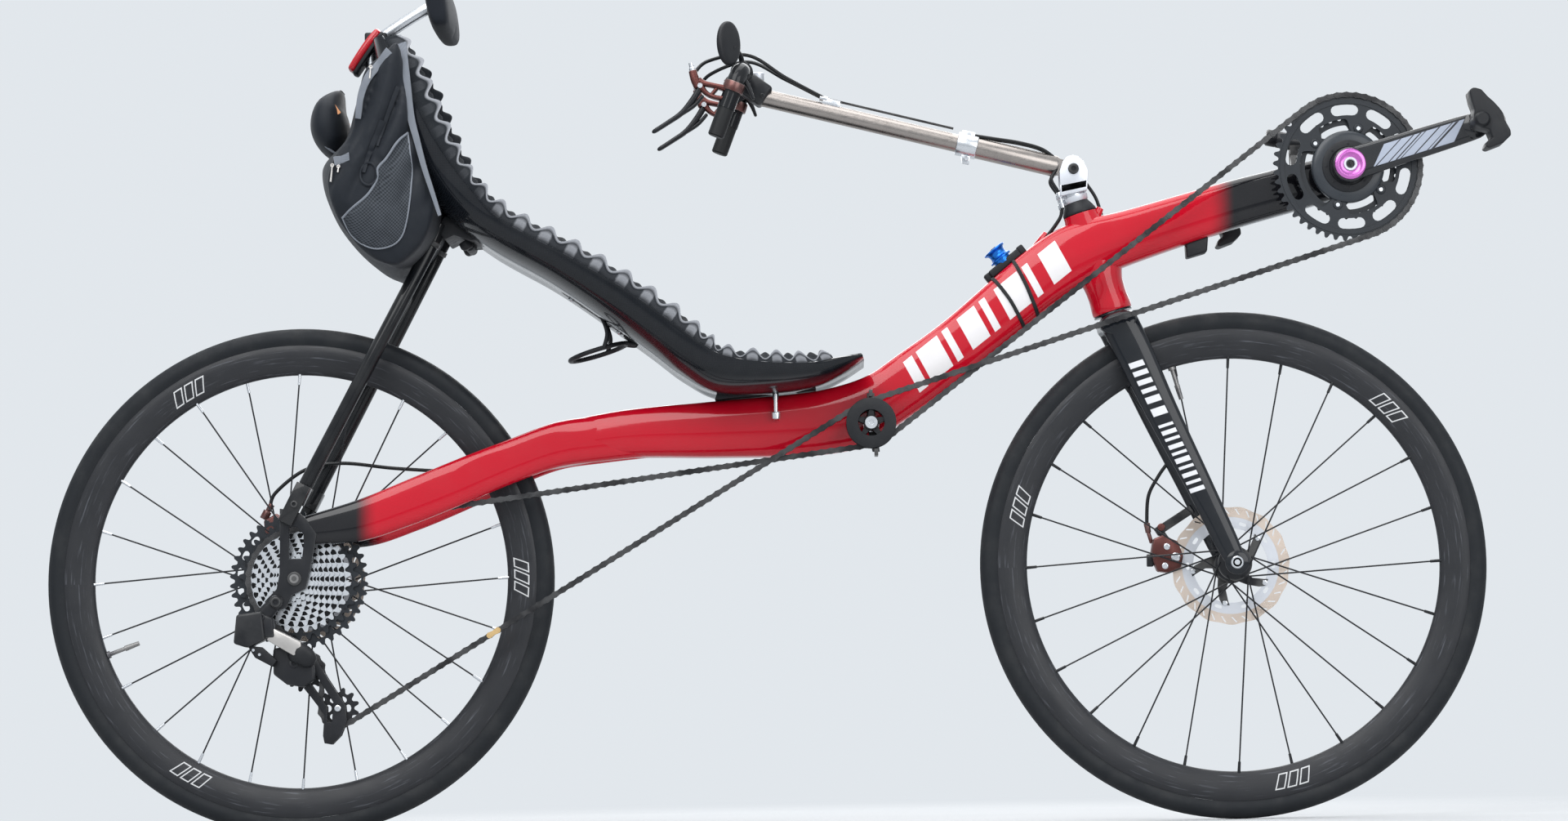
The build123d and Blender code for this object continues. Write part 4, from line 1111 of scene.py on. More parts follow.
BRONZE = Finish("bronze alloy", "bronze_alloy", (0.085, 0.026, 0.023), (0.16, 0.06, 0.052), 0.32, 0.07, metallic=0.8,
                wear=0.4)
BLUE_ALLOY = Finish("blue alloy", "blue_alloy", (0.01, 0.12, 0.5), (0.02, 0.2, 0.68), 0.28, 0.06, metallic=0.8)
PINK_ALLOY = Finish("pink alloy", "silver_alloy", (0.5, 0.1, 0.45), (0.7, 0.25, 0.66), 0.24, 0.05, metallic=0.8)
PLASTIC = Finish("moulded plastic", "black_plastic", (0.007, 0.008, 0.01), (0.016, 0.017, 0.02), 0.5, 0.1, bump=0.12,
                 scale=2400.0, dust=0.06)
RUBBER = Finish("black rubber", "hose", (0.006, 0.007, 0.008), (0.013, 0.014, 0.015), 0.55, 0.08, bump=0.08)
HOSE = Finish("cable housing", "hose", (0.006, 0.007, 0.008), (0.012, 0.013, 0.014), 0.35, 0.06, bump=0.03)
FOAM = FoamPaint("open-cell foam", "foam", (0.007, 0.009, 0.012), (0.03, 0.034, 0.04), 0.92, 0.05, specular=0.1,
                 sheen=0.08, texture=Texture.FOAM, scale=900.0, bump=0.6, depth=0.0012, dust=0.1)
PAD_CLOTH = Finish("pad cloth", "pad_fabric", (0.006, 0.008, 0.012), (0.02, 0.023, 0.03), 0.85, 0.08, specular=0.15,
                   sheen=0.12, texture=Texture.CLOTH, scale=3200.0, bump=0.3, dust=0.06)
BAG_CLOTH = Finish("bag nylon", "bag_fabric", (0.005, 0.007, 0.011), (0.017, 0.021, 0.028), 0.58, 0.1, specular=0.22,
                   sheen=0.05, texture=Texture.CLOTH, scale=3600.0, bump=0.3, dust=0.05)
GREY_CLOTH = Finish("grey webbing", "bag_fabric", (0.13, 0.145, 0.17), (0.3, 0.32, 0.36), 0.8, 0.08, specular=0.2,
                    sheen=0.1, texture=Texture.CLOTH, scale=2400.0, bump=0.5, dust=0.06)
NETTING = Finish("pocket netting", "bag_fabric", (0.008, 0.01, 0.013), (0.085, 0.095, 0.11), 0.75, 0.08, specular=0.2,
                 texture=Texture.NETTING, scale=1300.0, bump=0.6, depth=0.0008)
ORANGE_PATCH = Finish("orange patch", "bag_fabric", (0.72, 0.3, 0.13), (0.82, 0.42, 0.22), 0.7, 0.08,
                      texture=Texture.CLOTH, scale=3600.0, bump=0.2)
LAMP_RED = Finish("red lamp lens", "lamp_red", (0.42, 0.004, 0.014), (0.6, 0.02, 0.03), 0.2, 0.05, specular=0.1,
                  coat=0.8, texture=Texture.CLOTH, scale=1500.0, bump=0.25)
LENS = Finish("lamp lens", "silver_alloy", (0.6, 0.62, 0.64), (0.8, 0.82, 0.85), 0.08, 0.03, metallic=0.6, coat=1.0)
PALE_PLATE = Finish("pale plate", "silver_alloy", (0.42, 0.4, 0.38), (0.6, 0.58, 0.56), 0.34, 0.08, metallic=0.7)


# ------------------------------------------------------------------ assemblies
@dataclass
class Assembly:
    """Pieces that ride on one body of the frame."""

    body: str = "frame"

    def add(self, bm: Mesh, name: str, finish: Finish, nodes: Sequence[str] = (),
            angle: float = 38.0) -> bpy.types.Object:
        """Turn a mesh into a finished piece.

        Args:
            bm: the mesh, which is freed.
            name: the piece's name.
            finish: its finish.
            nodes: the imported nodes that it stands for.
            angle: degrees above which its edges stay sharp.

        Returns:
            The piece.
        """
        label = name.replace(" ", "-")
        mesh = bpy.data.meshes.new(label)
        bm.to_mesh(mesh)
        bm.free()
        piece = bpy.data.objects.new(label, mesh)
        bpy.context.scene.collection.objects.link(piece)
        return self.dress(piece, finish, nodes, angle)

    def form(self, name: str, finish: Finish, shape: Callable[..., object], *sizes: object,
             nodes: Sequence[str] = (), angle: float = 38.0, edge: Sequence[float] = (),
             **more: object) -> bpy.types.Object:
        """Make a finished piece from one shape.

        Args:
            name: the piece's name.
            finish: its finish.
            shape: the function that adds the shape to a mesh.
            sizes: what that function takes after the mesh.
            nodes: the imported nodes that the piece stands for.
            angle: degrees above which its edges stay sharp.
            edge: how its edges are rounded, as soften takes it; none where it is left out.
            more: what the shape's function takes by name.

        Returns:
            The piece.
        """
        bm = bmesh.new()
        shape(bm, *sizes, **more)
        if edge:
            soften(bm, *edge)
        return self.add(bm, name, finish, nodes, angle)

    def screws(self, name: str, finish: Finish, axis: Vector,
               rows: Iterable[Sequence[float]]) -> bpy.types.Object:
        """Make one piece of some cap screws that face the same way.

        Args:
            name: the piece's name.
            finish: its finish.
            axis: the way that the heads face.
            rows: for each screw x, z, y, the head's radius and its height.

        Returns:
            The piece.
        """
        bm = bmesh.new()
        for x, z, y, radius, height in rows:
            bolt(bm, place(x, z, y), axis, radius, height)
        return self.add(bm, name, finish)

    def dress(self, piece: bpy.types.Object, finish: Finish, nodes: Sequence[str] = (),
              angle: float = 38.0) -> bpy.types.Object:
        """Give an object its finish and its body.

        Args:
            piece: the object.
            finish: its finish.
            nodes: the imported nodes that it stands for.
            angle: degrees above which its edges stay sharp.

        Returns:
            The piece.
        """
        piece.data.materials.clear()
        piece.data.materials.append(finish.material())
        piece.data.shade_smooth()
        piece.data.set_sharp_from_angle(angle=math.radians(angle))
        if nodes:
            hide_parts(*nodes)
        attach(piece, self.body)
        LOG.info("%s: %d faces", piece.name, len(piece.data.polygons))
        return piece


CLOTH_FRAMES = 20
CLOTH_SETTINGS = (("use_pressure", True), ("quality", 5), ("mass", 0.3), ("tension_stiffness", 20.0),
                  ("compression_stiffness", 20.0), ("bending_stiffness", 0.8))


def inflate(piece: bpy.types.Object, voxel: float, pressure: float, cap: float) -> None:
    """Swell a soft piece as stuffed cloth.

    Args:
        piece: the object, a closed mesh.
        voxel: the remesh size in millimetres.
        pressure: the cloth's inner pressure.
        cap: the furthest that a point may move, in millimetres.
    """
    scene = bpy.context.scene
    bpy.context.view_layer.objects.active = piece
    remesh = piece.modifiers.new("even mesh", "REMESH")
    remesh.mode = "VOXEL"
    remesh.voxel_size = voxel * MM
    replace_mesh(piece)
    before = [v.co.copy() for v in piece.data.vertices]
    cloth = piece.modifiers.new("stuffed cloth", "CLOTH")
    for name, value in CLOTH_SETTINGS:
        setattr(cloth.settings, name, value)
    cloth.settings.uniform_pressure_force = pressure
    cloth.settings.effector_weights.gravity = 0.0
    cloth.point_cache.frame_start, cloth.point_cache.frame_end = 1, CLOTH_FRAMES
    for step in range(1, CLOTH_FRAMES + 1):
        scene.frame_set(step)
    replace_mesh(piece)
    scene.frame_set(1)
    for vert, old in zip(piece.data.vertices, before):
        move = vert.co - old
        if move.length > cap * MM:
            vert.co = old + move.normalized() * cap * MM


def replace_mesh(piece: bpy.types.Object) -> None:
    """Put an object's changed mesh in its place and drop its modifiers.

    Args:
        piece: the object.
    """
    graph = bpy.context.evaluated_depsgraph_get()
    fresh = bpy.data.meshes.new_from_object(piece.evaluated_get(graph), depsgraph=graph)
    piece.modifiers.clear()
    piece.data = fresh


def soft_skin(piece: bpy.types.Object) -> None:
    """Round a piece by one subdivision that stays live."""
    skin = piece.modifiers.new("soft skin", "SUBSURF")
    skin.levels = skin.render_levels = 1


@dataclass
class MainBeam(Assembly):
    """The carbon beam with its rear stays, head tube and crank shell."""

    beam: tuple = (
        (328.0, 482.0, 541.0, 33.0), (430.7, 496.2, 559.9, 31.0), (551.7, 495.1, 569.8, 30.0),
        (650.0, 494.5, 577.0, 30.0), (705.8, 497.0, 583.7, 30.0), (761.0, 507.7, 600.2, 30.0),
        (805.4, 535.7, 629.0, 30.0), (872.2, 580.6, 676.2, 30.0), (961.4, 649.3, 751.5, 30.0),
        (1017.1, 693.4, 791.0, 30.0), (1061.3, 719.0, 807.0, 30.0), (1116.5, 744.3, 819.0, 28.0),
        (1249.0, 788.0, 854.0, 26.0), (1337.3, 812.5, 874.5, 25.0), (1400.0, 829.0, 889.0, 24.0))
    section: tuple = (
        (0.3, 0.0), (0.62, 0.02), (0.88, 0.14), (1.0, 0.42), (0.98, 0.6), (0.88, 0.84), (0.66, 0.97), (0.3, 1.0),
        (-0.3, 1.0), (-0.66, 0.97), (-0.88, 0.84), (-0.98, 0.6), (-1.0, 0.42), (-0.88, 0.14), (-0.62, 0.02),
        (-0.3, 0.0))
    stay: tuple = (
        (12.0, 387.0, 421.0, 57.0, 71.0), (84.9, 390.0, 442.0, 54.0, 72.0), (150.6, 410.0, 468.0, 47.0, 66.0),
        (215.0, 435.0, 494.0, 41.0, 60.0), (279.0, 462.0, 519.0, 24.0, 47.0), (345.0, 486.0, 543.0, 12.0, 35.5),
        (405.0, 494.0, 551.0, 6.0, 31.0), (470.0, 500.0, 557.0, 0.0, 25.0))
    stay_section: tuple = ((0.25, 0.0), (0.85, 0.04), (1.0, 0.5), (0.8, 0.94), (0.2, 1.0), (0.0, 0.5))
    head: tuple = (
        (0.0, 26.6, 26.6), (6.0, 27.2, 27.2), (24.0, 26.0, 26.0), (44.0, 28.0, 27.0), (62.0, 36.0, 28.0),
        (80.0, 52.0, 27.5), (100.0, 42.0, 26.0), (118.0, 28.0, 24.6), (133.0, 23.8, 23.8), (139.0, 23.2, 23.2))
    shell_radius: float = 23.0
    shell_half: float = 36.5

    def build(self) -> None:
        """Build and dress the beam."""
        bm = bmesh.new()

        def beam_spot(u: float, v: float) -> Vector:
            """Give a point on the beam.

            Args:
                u: share of the way round.
                v: share of the way along.

            Returns:
                The point in metres.
            """
            x, low, high, half = blend_rows(self.beam, v)
            side, up = blend_rows(self.section, u, ring=True)
            return place(x, low + (high - low) * up, half * side)

        surface(bm, 48, 110, beam_spot)
        for side in (-1, 1):

            def stay_spot(u: float, v: float, side: int = side) -> Vector:
                """Give a point on a rear stay.

                Args:
                    u: share of the way round.
                    v: share of the way along.
                    side: -1 for the right one, 1 for the left one.

                Returns:
                    The point in metres.
                """
                x, low, high, inner, outer = blend_rows(self.stay, v)
                out, up = blend_rows(self.stay_section, u, ring=True)
                return place(x, low + (high - low) * up, side * (inner + (outer - inner) * out))

            surface(bm, 32, 60, stay_spot)

        def head_spot(u: float, v: float) -> Vector:
            """Give a point on the flared head tube."""
            up, deep, wide = blend_rows(self.head, v)
            return steer(up, deep * math.cos(math.tau * u), wide * math.sin(math.tau * u))

        surface(bm, 48, 60, head_spot)
        self.add(bm, "beam", LACQUER, ("main_frame",), angle=50.0)
        bm = bmesh.new()
        r, h = self.shell_radius, self.shell_half
        turned(bm, place(CRANK_X, CRANK_Z), facing(1),
               [(13.5, -h), (r - 1.2, -h), (r, -h + 1.2), (r, h - 1.2), (r - 1.2, h), (13.5, h)])
        for side in (-1, 1):
            turned(bm, place(CRANK_X, CRANK_Z, side * (h - 1)), facing(side),
                   [(13.0, 0), (r + 0.6, 0), (r + 0.6, 3.2), (r - 2, 5), (13.0, 5)], steps=48)
        self.add(bm, "crank shell", STAY_CARBON)
        self.ports()

    def ports(self) -> None:
        """Build the hose ports on the beam and its rear stays."""
        bm = bmesh.new()
        for start, end, radius in ((place(996, 770), place(1010, 790), 8.0), (place(1070, 798), place(1082, 824), 7.0),
                                   (place(200, 480, 49), place(190, 492, 48), 6.0)):
            rod(bm, start, end, radius, radius * 0.72, 24)
        soften(bm, 1.2)
        self.add(bm, "hose ports", LACQUER)


DROPOUT = ((-19.0, 433.0), (4.0, 429.0), (14.0, 421.0), (30.0, 398.0), (24.0, 370.0), (18.0, 340.0), (14.0, 326.0),
           (-4.0, 318.0), (-12.0, 301.0), (-32.0, 296.0), (-40.0, 310.0), (-24.0, 326.0), (-20.0, 345.0),
           (-19.0, 390.0))


@dataclass
class RearEnd(Assembly):
    """The dropouts and the seat stays."""

    window: tuple = ((-7.0, 366.0), (10.0, 366.0), (14.0, 396.0), (4.0, 408.0), (-7.0, 408.0))
    inner_y: float = 66.0
    outer_y: float = 73.0
    stay_radius: float = 9.5
    bracket: tuple = ((190.0, 804.0), (202.0, 822.0), (214.0, 820.0), (240.0, 800.0), (252.0, 789.0), (236.0, 788.0),
                      (214.0, 796.0), (202.0, 790.0))

    def build(self) -> None:
        """Build and dress the rear end."""
        left = DROPOUT[:7] + ((-14.0, 326.0), (-20.0, 345.0), (-19.0, 390.0))
        for side, word, outline in ((-1, "right", DROPOUT), (1, "left", left)):
            self.form(f"dropout {word}", BLACK_ALLOY, plate, outline, side * self.inner_y, side * self.outer_y,
                      (self.window,), nodes=(f"dropout_{word}",), edge=(1.0, 30.0))
            self.screws(f"dropout bolt {word}", SILVER_ALLOY, facing(side), [(-7, 422, side * self.outer_y, 6.0, 6.5)])
            bm = bmesh.new()
            turned(bm, place(0, AXLE_Z, side * self.outer_y), facing(side),
                   [(3.2, -4), (9.0, -4), (9.0, 2.6), (7.6, 3.8), (4.2, 3.8), (3.2, 1.0)], steps=32)
            rod(bm, place(0, AXLE_Z, side * 69), place(0, AXLE_Z, side * 77.4), 3.4, steps=24)
            self.add(bm, f"axle end {word}", BLACK_ALLOY)
            bm = bmesh.new()
            low, high = place(5, 446, side * 64), place(198, 812, side * 46)
            rod(bm, low, high, self.stay_radius, steps=32)
            block(bm, place(-12, 413, side * 77), place(14, 464, side * 76), 6, 20)
            block(bm, place(2, 440, side * 66), place(14, 464, side * 66), 22, 20)
            soften(bm, 1.6)
            self.add(bm, f"seat stay {word}", STAY_CARBON, (f"seat_stay_{word}",))
            bm = bmesh.new()
            turned(bm, high - (high - low).normalized() * 0.03, high - low,
                   [(9.6, -4), (11.2, -3), (11.2, 3), (9.6, 4)], steps=32)
            bolt(bm, place(1, 438, side * 79.5), facing(side), 4.4, 3.0)
            self.add(bm, f"stay collar {word}", BLACK_ALLOY)
        bm = bmesh.new()
        plate(bm, self.bracket, -54.0, 54.0)
        rod(bm, place(232, 784, -26), place(232, 784, 26), 6.5, steps=24)
        for side in (-1, 1):
            turned(bm, place(226, 790, side * 30), Vector((0.45, 0, -0.9)), [(0, 0), (9, 0), (9, 8), (6, 12), (0, 12)],
                   steps=20, ring=False)
        soften(bm, 1.6)
        self.add(bm, "stay bracket", PLASTIC)


# x, z on the outer spine, tilt of the section in degrees, lip height, half width, foam edge height.
SEAT = ((757.0, 621.0, -35.0, 4.0, 88.0, 8.0), (728.0, 603.0, -34.0, 17.0, 105.0, 24.0),
        (690.0, 588.0, -18.0, 24.0, 118.0, 34.0), (626.0, 581.0, 2.0, 31.0, 128.0, 42.0),
        (562.0, 583.0, 14.0, 40.0, 132.0, 50.0), (517.0, 606.0, 34.0, 42.0, 132.0, 56.0),
        (473.0, 640.0, 39.0, 41.0, 130.0, 59.0), (418.0, 681.0, 37.0, 40.0, 128.0, 58.0),
        (345.0, 732.0, 34.0, 34.0, 127.0, 53.0), (262.0, 781.0, 36.0, 33.0, 128.0, 50.0),
        (205.0, 829.0, 48.0, 41.0, 124.0, 56.0), (165.0, 886.0, 58.0, 41.0, 119.0, 62.0),
        (137.0, 950.0, 67.0, 36.0, 113.0, 62.0), (120.0, 1015.0, 76.0, 27.0, 102.0, 54.0),
        (112.0, 1060.0, 82.0, 13.0, 80.0, 36.0))


@dataclass
class Seat(Assembly):
    """The carbon shell, its profiled foam and the block that carries it."""

    section: tuple = ((1.0, 1.0), (0.93, 0.42), (0.6, 0.0), (0.0, 0.0), (-0.6, 0.0), (-0.93, 0.42), (-1.0, 1.0))
    shell_thickness: float = 4.0
    foam_thickness: float = 27.0
    bump_pitch: float = 38.0
    bump_height: float = 6.5
    bumps_across: float = 6.5
    foam_inset: float = 7.0
    hollow: float = 26.0
    hollow_slope: float = 0.42
    cut_end: float = 5.0
    back_gap: float = 4.6
    cut_depths: tuple = (0.1, 0.22, 0.38, 0.56, 0.76, 1.0)
    # How pale each row of the cut face is; its low rows are painted shade.
    cut_pale_and_painted_shade: tuple = (0.9, 0.1, 0.8, 0.7, 0.1, 0.0)
    dark_from: float = 0.68

    @staticmethod
    def spot(row: Sequence[float], side: float, lift: float) -> Vector:
        """Give a point of a seat section, lift measured square to the spine."""
        angle = math.radians(row[2])
        return place(row[0] + lift * math.sin(angle), row[1] + lift * math.cos(angle), side)

    def build(self) -> None:
        """Build and dress the seat."""
        self.shell()
        self.foam()
        self.base()

    def shell(self) -> None:
        """Build the shell."""
        bm = bmesh.new()

        def shell_spot(u: float, v: float) -> Vector:
            """Give a point on the shell's outer side.

            Args:
                u: share of the way round.
                v: share of the way along.

            Returns:
                The point in metres.
            """
            row = blend_rows(SEAT, v)
            side, lift = blend_rows(self.section, u)
            return self.spot(row, side * row[4], lift * row[3])

        surface(bm, 48, 140, shell_spot, closed=False)
        bmesh.ops.solidify(bm, geom=bm.faces[:], thickness=self.shell_thickness * MM * 0.9)
        bmesh.ops.recalc_face_normals(bm, faces=bm.faces[:])
        self.add(bm, "seat shell", SEAT_CARBON, ("seat_shell",), angle=50.0)

    def foam(self) -> None:
        """Build the foam: bumps on top, a cut edge down each side with painted shade between its crests, and a flat
        back.
        """
        bm = bmesh.new()
        rows = SEAT[1:]
        top, cut, low, length = 104, len(self.cut_depths), 14, 420
        around = top + 2 * cut + low
        reach = [0.0]
        for index in range(length):
            a, b = blend_rows(rows, index / length), blend_rows(rows, (index + 1) / length)
            reach.append(reach[-1] + math.hypot(b[0] - a[0], b[1] - a[1]))
        marks: dict[tuple, float] = {}

        def foam_spot(u: float, v: float) -> Vector:
            """Give a point on the foam and note how pale it is, its low values being painted shade.

            Args:
                u: share of the way round.
                v: share of the way along.

            Returns:
                The point in metres.
            """
            row = blend_rows(rows, v)
            lip, half, rim = row[3], row[4] - self.foam_inset, row[5]
            step = round(u * around) % around
            share = min(step, top) / top * 2.0 - 1.0 if step <= top + cut else -1.0
            wave = math.sin(math.tau * reach[round(v * length)] / self.bump_pitch)
            ends = min(v / 0.01, (1.0 - v) / 0.01, 1.0)
            row_phase = math.cos(math.tau * self.bumps_across * (share + 1.0) / 2)
            middle = max(self.shell_thickness + self.foam_thickness, rim - self.hollow)
            depth = min((1.0 - abs(share)) / self.hollow_slope, 1.0)
            height = rim + (middle - rim) * depth * depth * (3 - 2 * depth) + self.bump_height * wave * row_phase * ends
            pale = 1.0 if abs(share) == 1.0 else 0.0
            side = share * half
            if top < step <= top + cut or step >= around - cut:
                down = step - top - 1 if step <= top + cut else around - 1 - step
                side = math.copysign(half - 0.6 * self.cut_depths[down], top + cut + 0.5 - step)
                height += (lip - self.cut_end - height) * self.cut_depths[down]
                # Pale on the crests and in the pale rows; the dark rows and the troughs between crests are painted
                # shade. Below the top row the face is also darker on the upper part of the back, past dark_from.
                pale = self.cut_pale_and_painted_shade[down] * (1.0 if down == 0 or wave > 0.35 else 0.1)
                pale *= 1.0 if down == 0 else min(max((self.dark_from - v) / 0.08, 0.12), 1.0)
            elif step > top + cut:
                across = 1.0 - 2.0 * (step - top - cut) / low
                side, lift = blend_rows(self.section, (1.0 - across) / 2)
                side, height, pale = side * (row[4] - self.back_gap), lift * (lip - 6.0) + self.back_gap, 0.0
            point = self.spot(row, side, height)
            marks[tuple(round(value, 5) for value in point)] = pale
            return point

        surface(bm, around, length, foam_spot)
        edge = bm.verts.layers.float.new("edge")
        for vert in bm.verts:
            vert[edge] = marks.get(tuple(round(value, 5) for value in vert.co), 0.0)
        piece = self.add(bm, "seat foam", FOAM, ("seat_foam",), angle=80.0)

    def base(self) -> None:
        """Build the carrying block with its thumb bolt."""
        bm = bmesh.new()
        plate(bm, ((558, 571), (694, 583), (694, 587), (662, 583.5), (626, 580.5), (562, 582.5)), -24, 24)
        block(bm, place(640, 575, -38), place(640, 580, -22), 8, 14)
        soften(bm, 1.2)
        self.add(bm, "seat base", PLASTIC, ("seat_base",))
        bm = bmesh.new()
        turned(bm, place(640, 552, -36), Vector((0, 0, -1)),
               [(0, 0), (5.5, 0), (6.0, 1.5), (5.5, 9), (3.2, 10.5), (0, 10.5)], steps=16, ring=False)
        rod(bm, place(640, 548, -36), place(640, 580, -36), 2.8, steps=16)
        self.add(bm, "thumb bolt", SILVER_ALLOY)


@dataclass
class Headrest(Assembly):
    """The headrest's tube, clamp and pad, and the lamp under it."""

    tube_radius: float = 8.0
    pad: tuple = ((-90.0, 194.0, 1106.0, 9.0, 24.0), (-76.0, 196.0, 1107.0, 15.0, 34.0),
                  (0.0, 196.0, 1107.0, 17.0, 37.0), (76.0, 196.0, 1107.0, 15.0, 34.0),
                  (90.0, 194.0, 1106.0, 9.0, 24.0))

    def build(self) -> None:
        """Build and dress the headrest and lamp."""
        self.form("headrest tube", SILVER_ALLOY, hose,
                  [place(103, 1012), place(99, 1058), place(120, 1078), place(170, 1109), place(186, 1113)],
                  self.tube_radius, 60, 28, nodes=("headrest_bracket",))
        bm = bmesh.new()
        block(bm, place(92, 1068), place(122, 1068), 30, 22)
        rod(bm, place(106, 1068, -19), place(106, 1068, 19), 5, steps=20)
        soften(bm, 3.0, segments=3)
        self.add(bm, "headrest clamp", PLASTIC)
        bm = bmesh.new()

        def pad_spot(u: float, v: float) -> Vector:
            """Give a point on the pad's slack cover.

            Args:
                u: share of the way round.
                v: share of the way along.

            Returns:
                The point in metres.
            """
            y, x, z, deep, high = blend_rows(self.pad, v)
            c, s = math.cos(math.tau * u), math.sin(math.tau * u)
            a = math.copysign(abs(c) ** 0.6, c) * deep
            b = math.copysign(abs(s) ** 0.6, s) * high
            return place(x + a * 0.96 + b * -0.14, z + b * 0.98, y)

        surface(bm, 40, 40, pad_spot)
        piece = self.add(bm, "headrest pad", PAD_CLOTH, ("headrest_pad",), angle=80.0)
        inflate(piece, 4.0, 3.0, 4.0)
        self.dress(piece, PAD_CLOTH, angle=80.0)
        soft_skin(piece)
        self.lamp()

    def lamp(self) -> None:
        """Build the rear lamp."""
        self.form("rear lamp", LAMP_RED, limb,
                  ((72, 1027, 0, 5.5, 17), (84, 1045, 0, 6.2, 20), (100, 1068, 0, 6.2, 20), (112, 1083, 0, 5.0, 17)),
                  power=4.0, tip=0.1, nodes=("rear_lamp",))
        self.form("rear lamp back", PLASTIC, limb,
                  ((77, 1022, 0, 4, 15), (90, 1042, 0, 4.5, 18), (106, 1065, 0, 4.5, 18), (117, 1080, 0, 3.5, 15)),
                  power=4.0)


@dataclass
class Bag(Assembly):
    """The seat bag with its pouch, piping, netting pockets, zips, straps and patch."""

    middle: tuple = (
        (122, 1047), (108, 1034), (94, 1000), (82, 960), (66, 918), (40, 898), (37, 880), (42, 852), (62, 808),
        (98, 766), (138, 745), (188, 788), (196, 835), (164, 890), (136, 950), (122, 1015))
    side: tuple = (
        (150, 1044), (138, 1040), (108, 1012), (96, 970), (86, 925), (60, 888), (55, 845), (76, 800), (100, 770),
        (124, 753), (150, 751), (180, 780), (194, 825), (182, 868), (164, 936), (158, 1000))
    centre: Pair = (118.0, 895.0)
    half: float = 137.0
    shoulder: float = 118.0
    flank: float = 0.55
    fold_pitch: float = 35.0
    fold_depth: float = 15.0
    fold_lean: float = 0.36
    fold_sway: float = 7.0
    fold_sway_height: float = 41.0
    fold_foot: float = 800.0
    fold_rise: float = 110.0
    piping: tuple = ((151, 1048), (155, 1021), (159.5, 989), (165, 946), (173, 914), (183, 876), (195, 838), (203, 812))
    piping_y: tuple = (96.0, 110.0, 117.0, 122.0, 126.0, 129.0, 131.5, 133.0)
    netting: tuple = ((74, 812), (86, 822), (108, 840), (121, 862), (122, 875), (134, 890), (148, 912), (160, 924),
                      (164, 900), (166, 860), (162, 820), (154, 788), (140, 774), (118, 770), (98, 778), (84, 792))
    pouch: tuple = ((60.0, 1000.0, 0, 8, 45), (46.0, 975.0, 0, 20, 62), (44.0, 948.0, 0, 25, 68),
                    (52.0, 925.0, 0, 20, 62), (66.0, 908.0, 0, 9, 48))

    def spot(self, u: float, v: float) -> Vector:
        """Give a point on the slack bag, whose ends are its two sides.

        Args:
            u: share of the way round.
            v: share of the way along.

        Returns:
            The point in metres.
        """
        out = abs(2.0 * v - 1.0)
        turn = max(out - self.flank, 0.0) / (1.0 - self.flank) * math.pi / 2
        share = min(out / self.flank, 1.0)
        shrink = max(math.cos(turn), 0.0) ** 0.7
        y = self.shoulder * share + (self.half - self.shoulder) * math.sin(turn) ** 0.7
        middle = blend_rows(self.middle, u, ring=True)
        side = blend_rows(self.side, u, ring=True)
        x, z = (a + (b - a) * share ** 2 for a, b in zip(middle, side))
        x0, z0 = self.centre
        x, z = x0 + (x - x0) * shrink, z0 + (z - z0) * shrink
        sway = self.fold_sway * math.sin(z / self.fold_sway_height)
        crease = 1.0 - abs(math.sin(math.pi * (x - self.fold_lean * z + sway) / self.fold_pitch))
        high = min(max((z - self.fold_foot) / self.fold_rise, 0.1), 1.0)
        return place(x, z, math.copysign(y - self.fold_depth * crease ** 1.2 * high * share ** 2, v - 0.5))

    def build(self) -> None:
        """Build and dress the bag."""
        body = self.form("seat bag", BAG_CLOTH, surface, 120, 100, self.spot, nodes=("seat_bag",), angle=80.0)
        inflate(body, 4.0, 1.2, 2.0)
        self.dress(body, BAG_CLOTH, angle=80.0)
        self.tree = BVHTree.FromObject(body, bpy.context.evaluated_depsgraph_get())
        soft_skin(body)
        self.form("bag pouch", BAG_CLOTH, limb, self.pouch, power=2.6, tip=0.3, around=40, length=36, angle=80.0)
        bm = bmesh.new()
        hose(bm, [place(34, 934, -40), place(42, 920, -52), place(58, 908, -46)], 1.6, 20, 8)
        hose(bm, [place(34, 934, 40), place(42, 920, 52), place(58, 908, 46)], 1.6, 20, 8)
        self.add(bm, "pouch piping", GREY_CLOTH)
        for side, word in SIDES:
            self.trim(side, word)

    def drape(self, x: float, z: float, side: int, lift: float = 0.0) -> tuple[Vector, Vector]:
        """Find the bag's skin at a place in the side view.

        Args:
            x: millimetres ahead of the rear hub.
            z: millimetres above the ground.
            side: -1 for the right side, 1 for the left one.
            lift: millimetres out from the skin.

        Returns:
            The point and the way that the skin looks there.
        """
        spot, look = self.tree.ray_cast(place(x, z, side * 300.0), facing(-side))[:2]
        if spot is None:
            spot, look = self.tree.find_nearest(place(x, z, side * 100.0))[:2]
        look = (look + facing(side)).normalized()
        return spot + look * lift * MM, look

    def band(self, bm: Mesh, route: Sequence[Pair], side: int, width: float, thick: float,
             end_width: float | None = None) -> None:
        """Lay a flat band on the bag's skin along a route in the side view."""
        points, looks = zip(*(self.drape(x, z, side, 0.4) for x, z in hose_pairs(route, 16)))
        strap(bm, points, looks, width, thick, 60, end_width)

    def trim(self, side: int, word: str) -> None:
        """Dress one side of the bag.

        Args:
            side: -1 for the right side, 1 for the left one.
            word: the side's name.
        """
        bm = bmesh.new()
        route = [place(x, z, side * y) for (x, z), y in zip(self.piping, self.piping_y)]
        strap(bm, route, [Vector((-0.25, side, 0.0))] * len(route), 14.0, 2.4, 70, 4.5)
        self.band(bm, ((138, 1034), (124, 1018), (110, 1000), (100, 975), (95, 945)), side, 13.0, 1.6, 8.0)
        self.band(bm, ((63, 888), (74, 890), (84, 893)), side, 12.0, 1.2)
        self.add(bm, f"bag webbing {word}", GREY_CLOTH, angle=60.0)
        bm = bmesh.new()
        outline = hose_pairs(self.netting + self.netting[:1], 64)[:-1]
        middle = (128.0, 828.0)

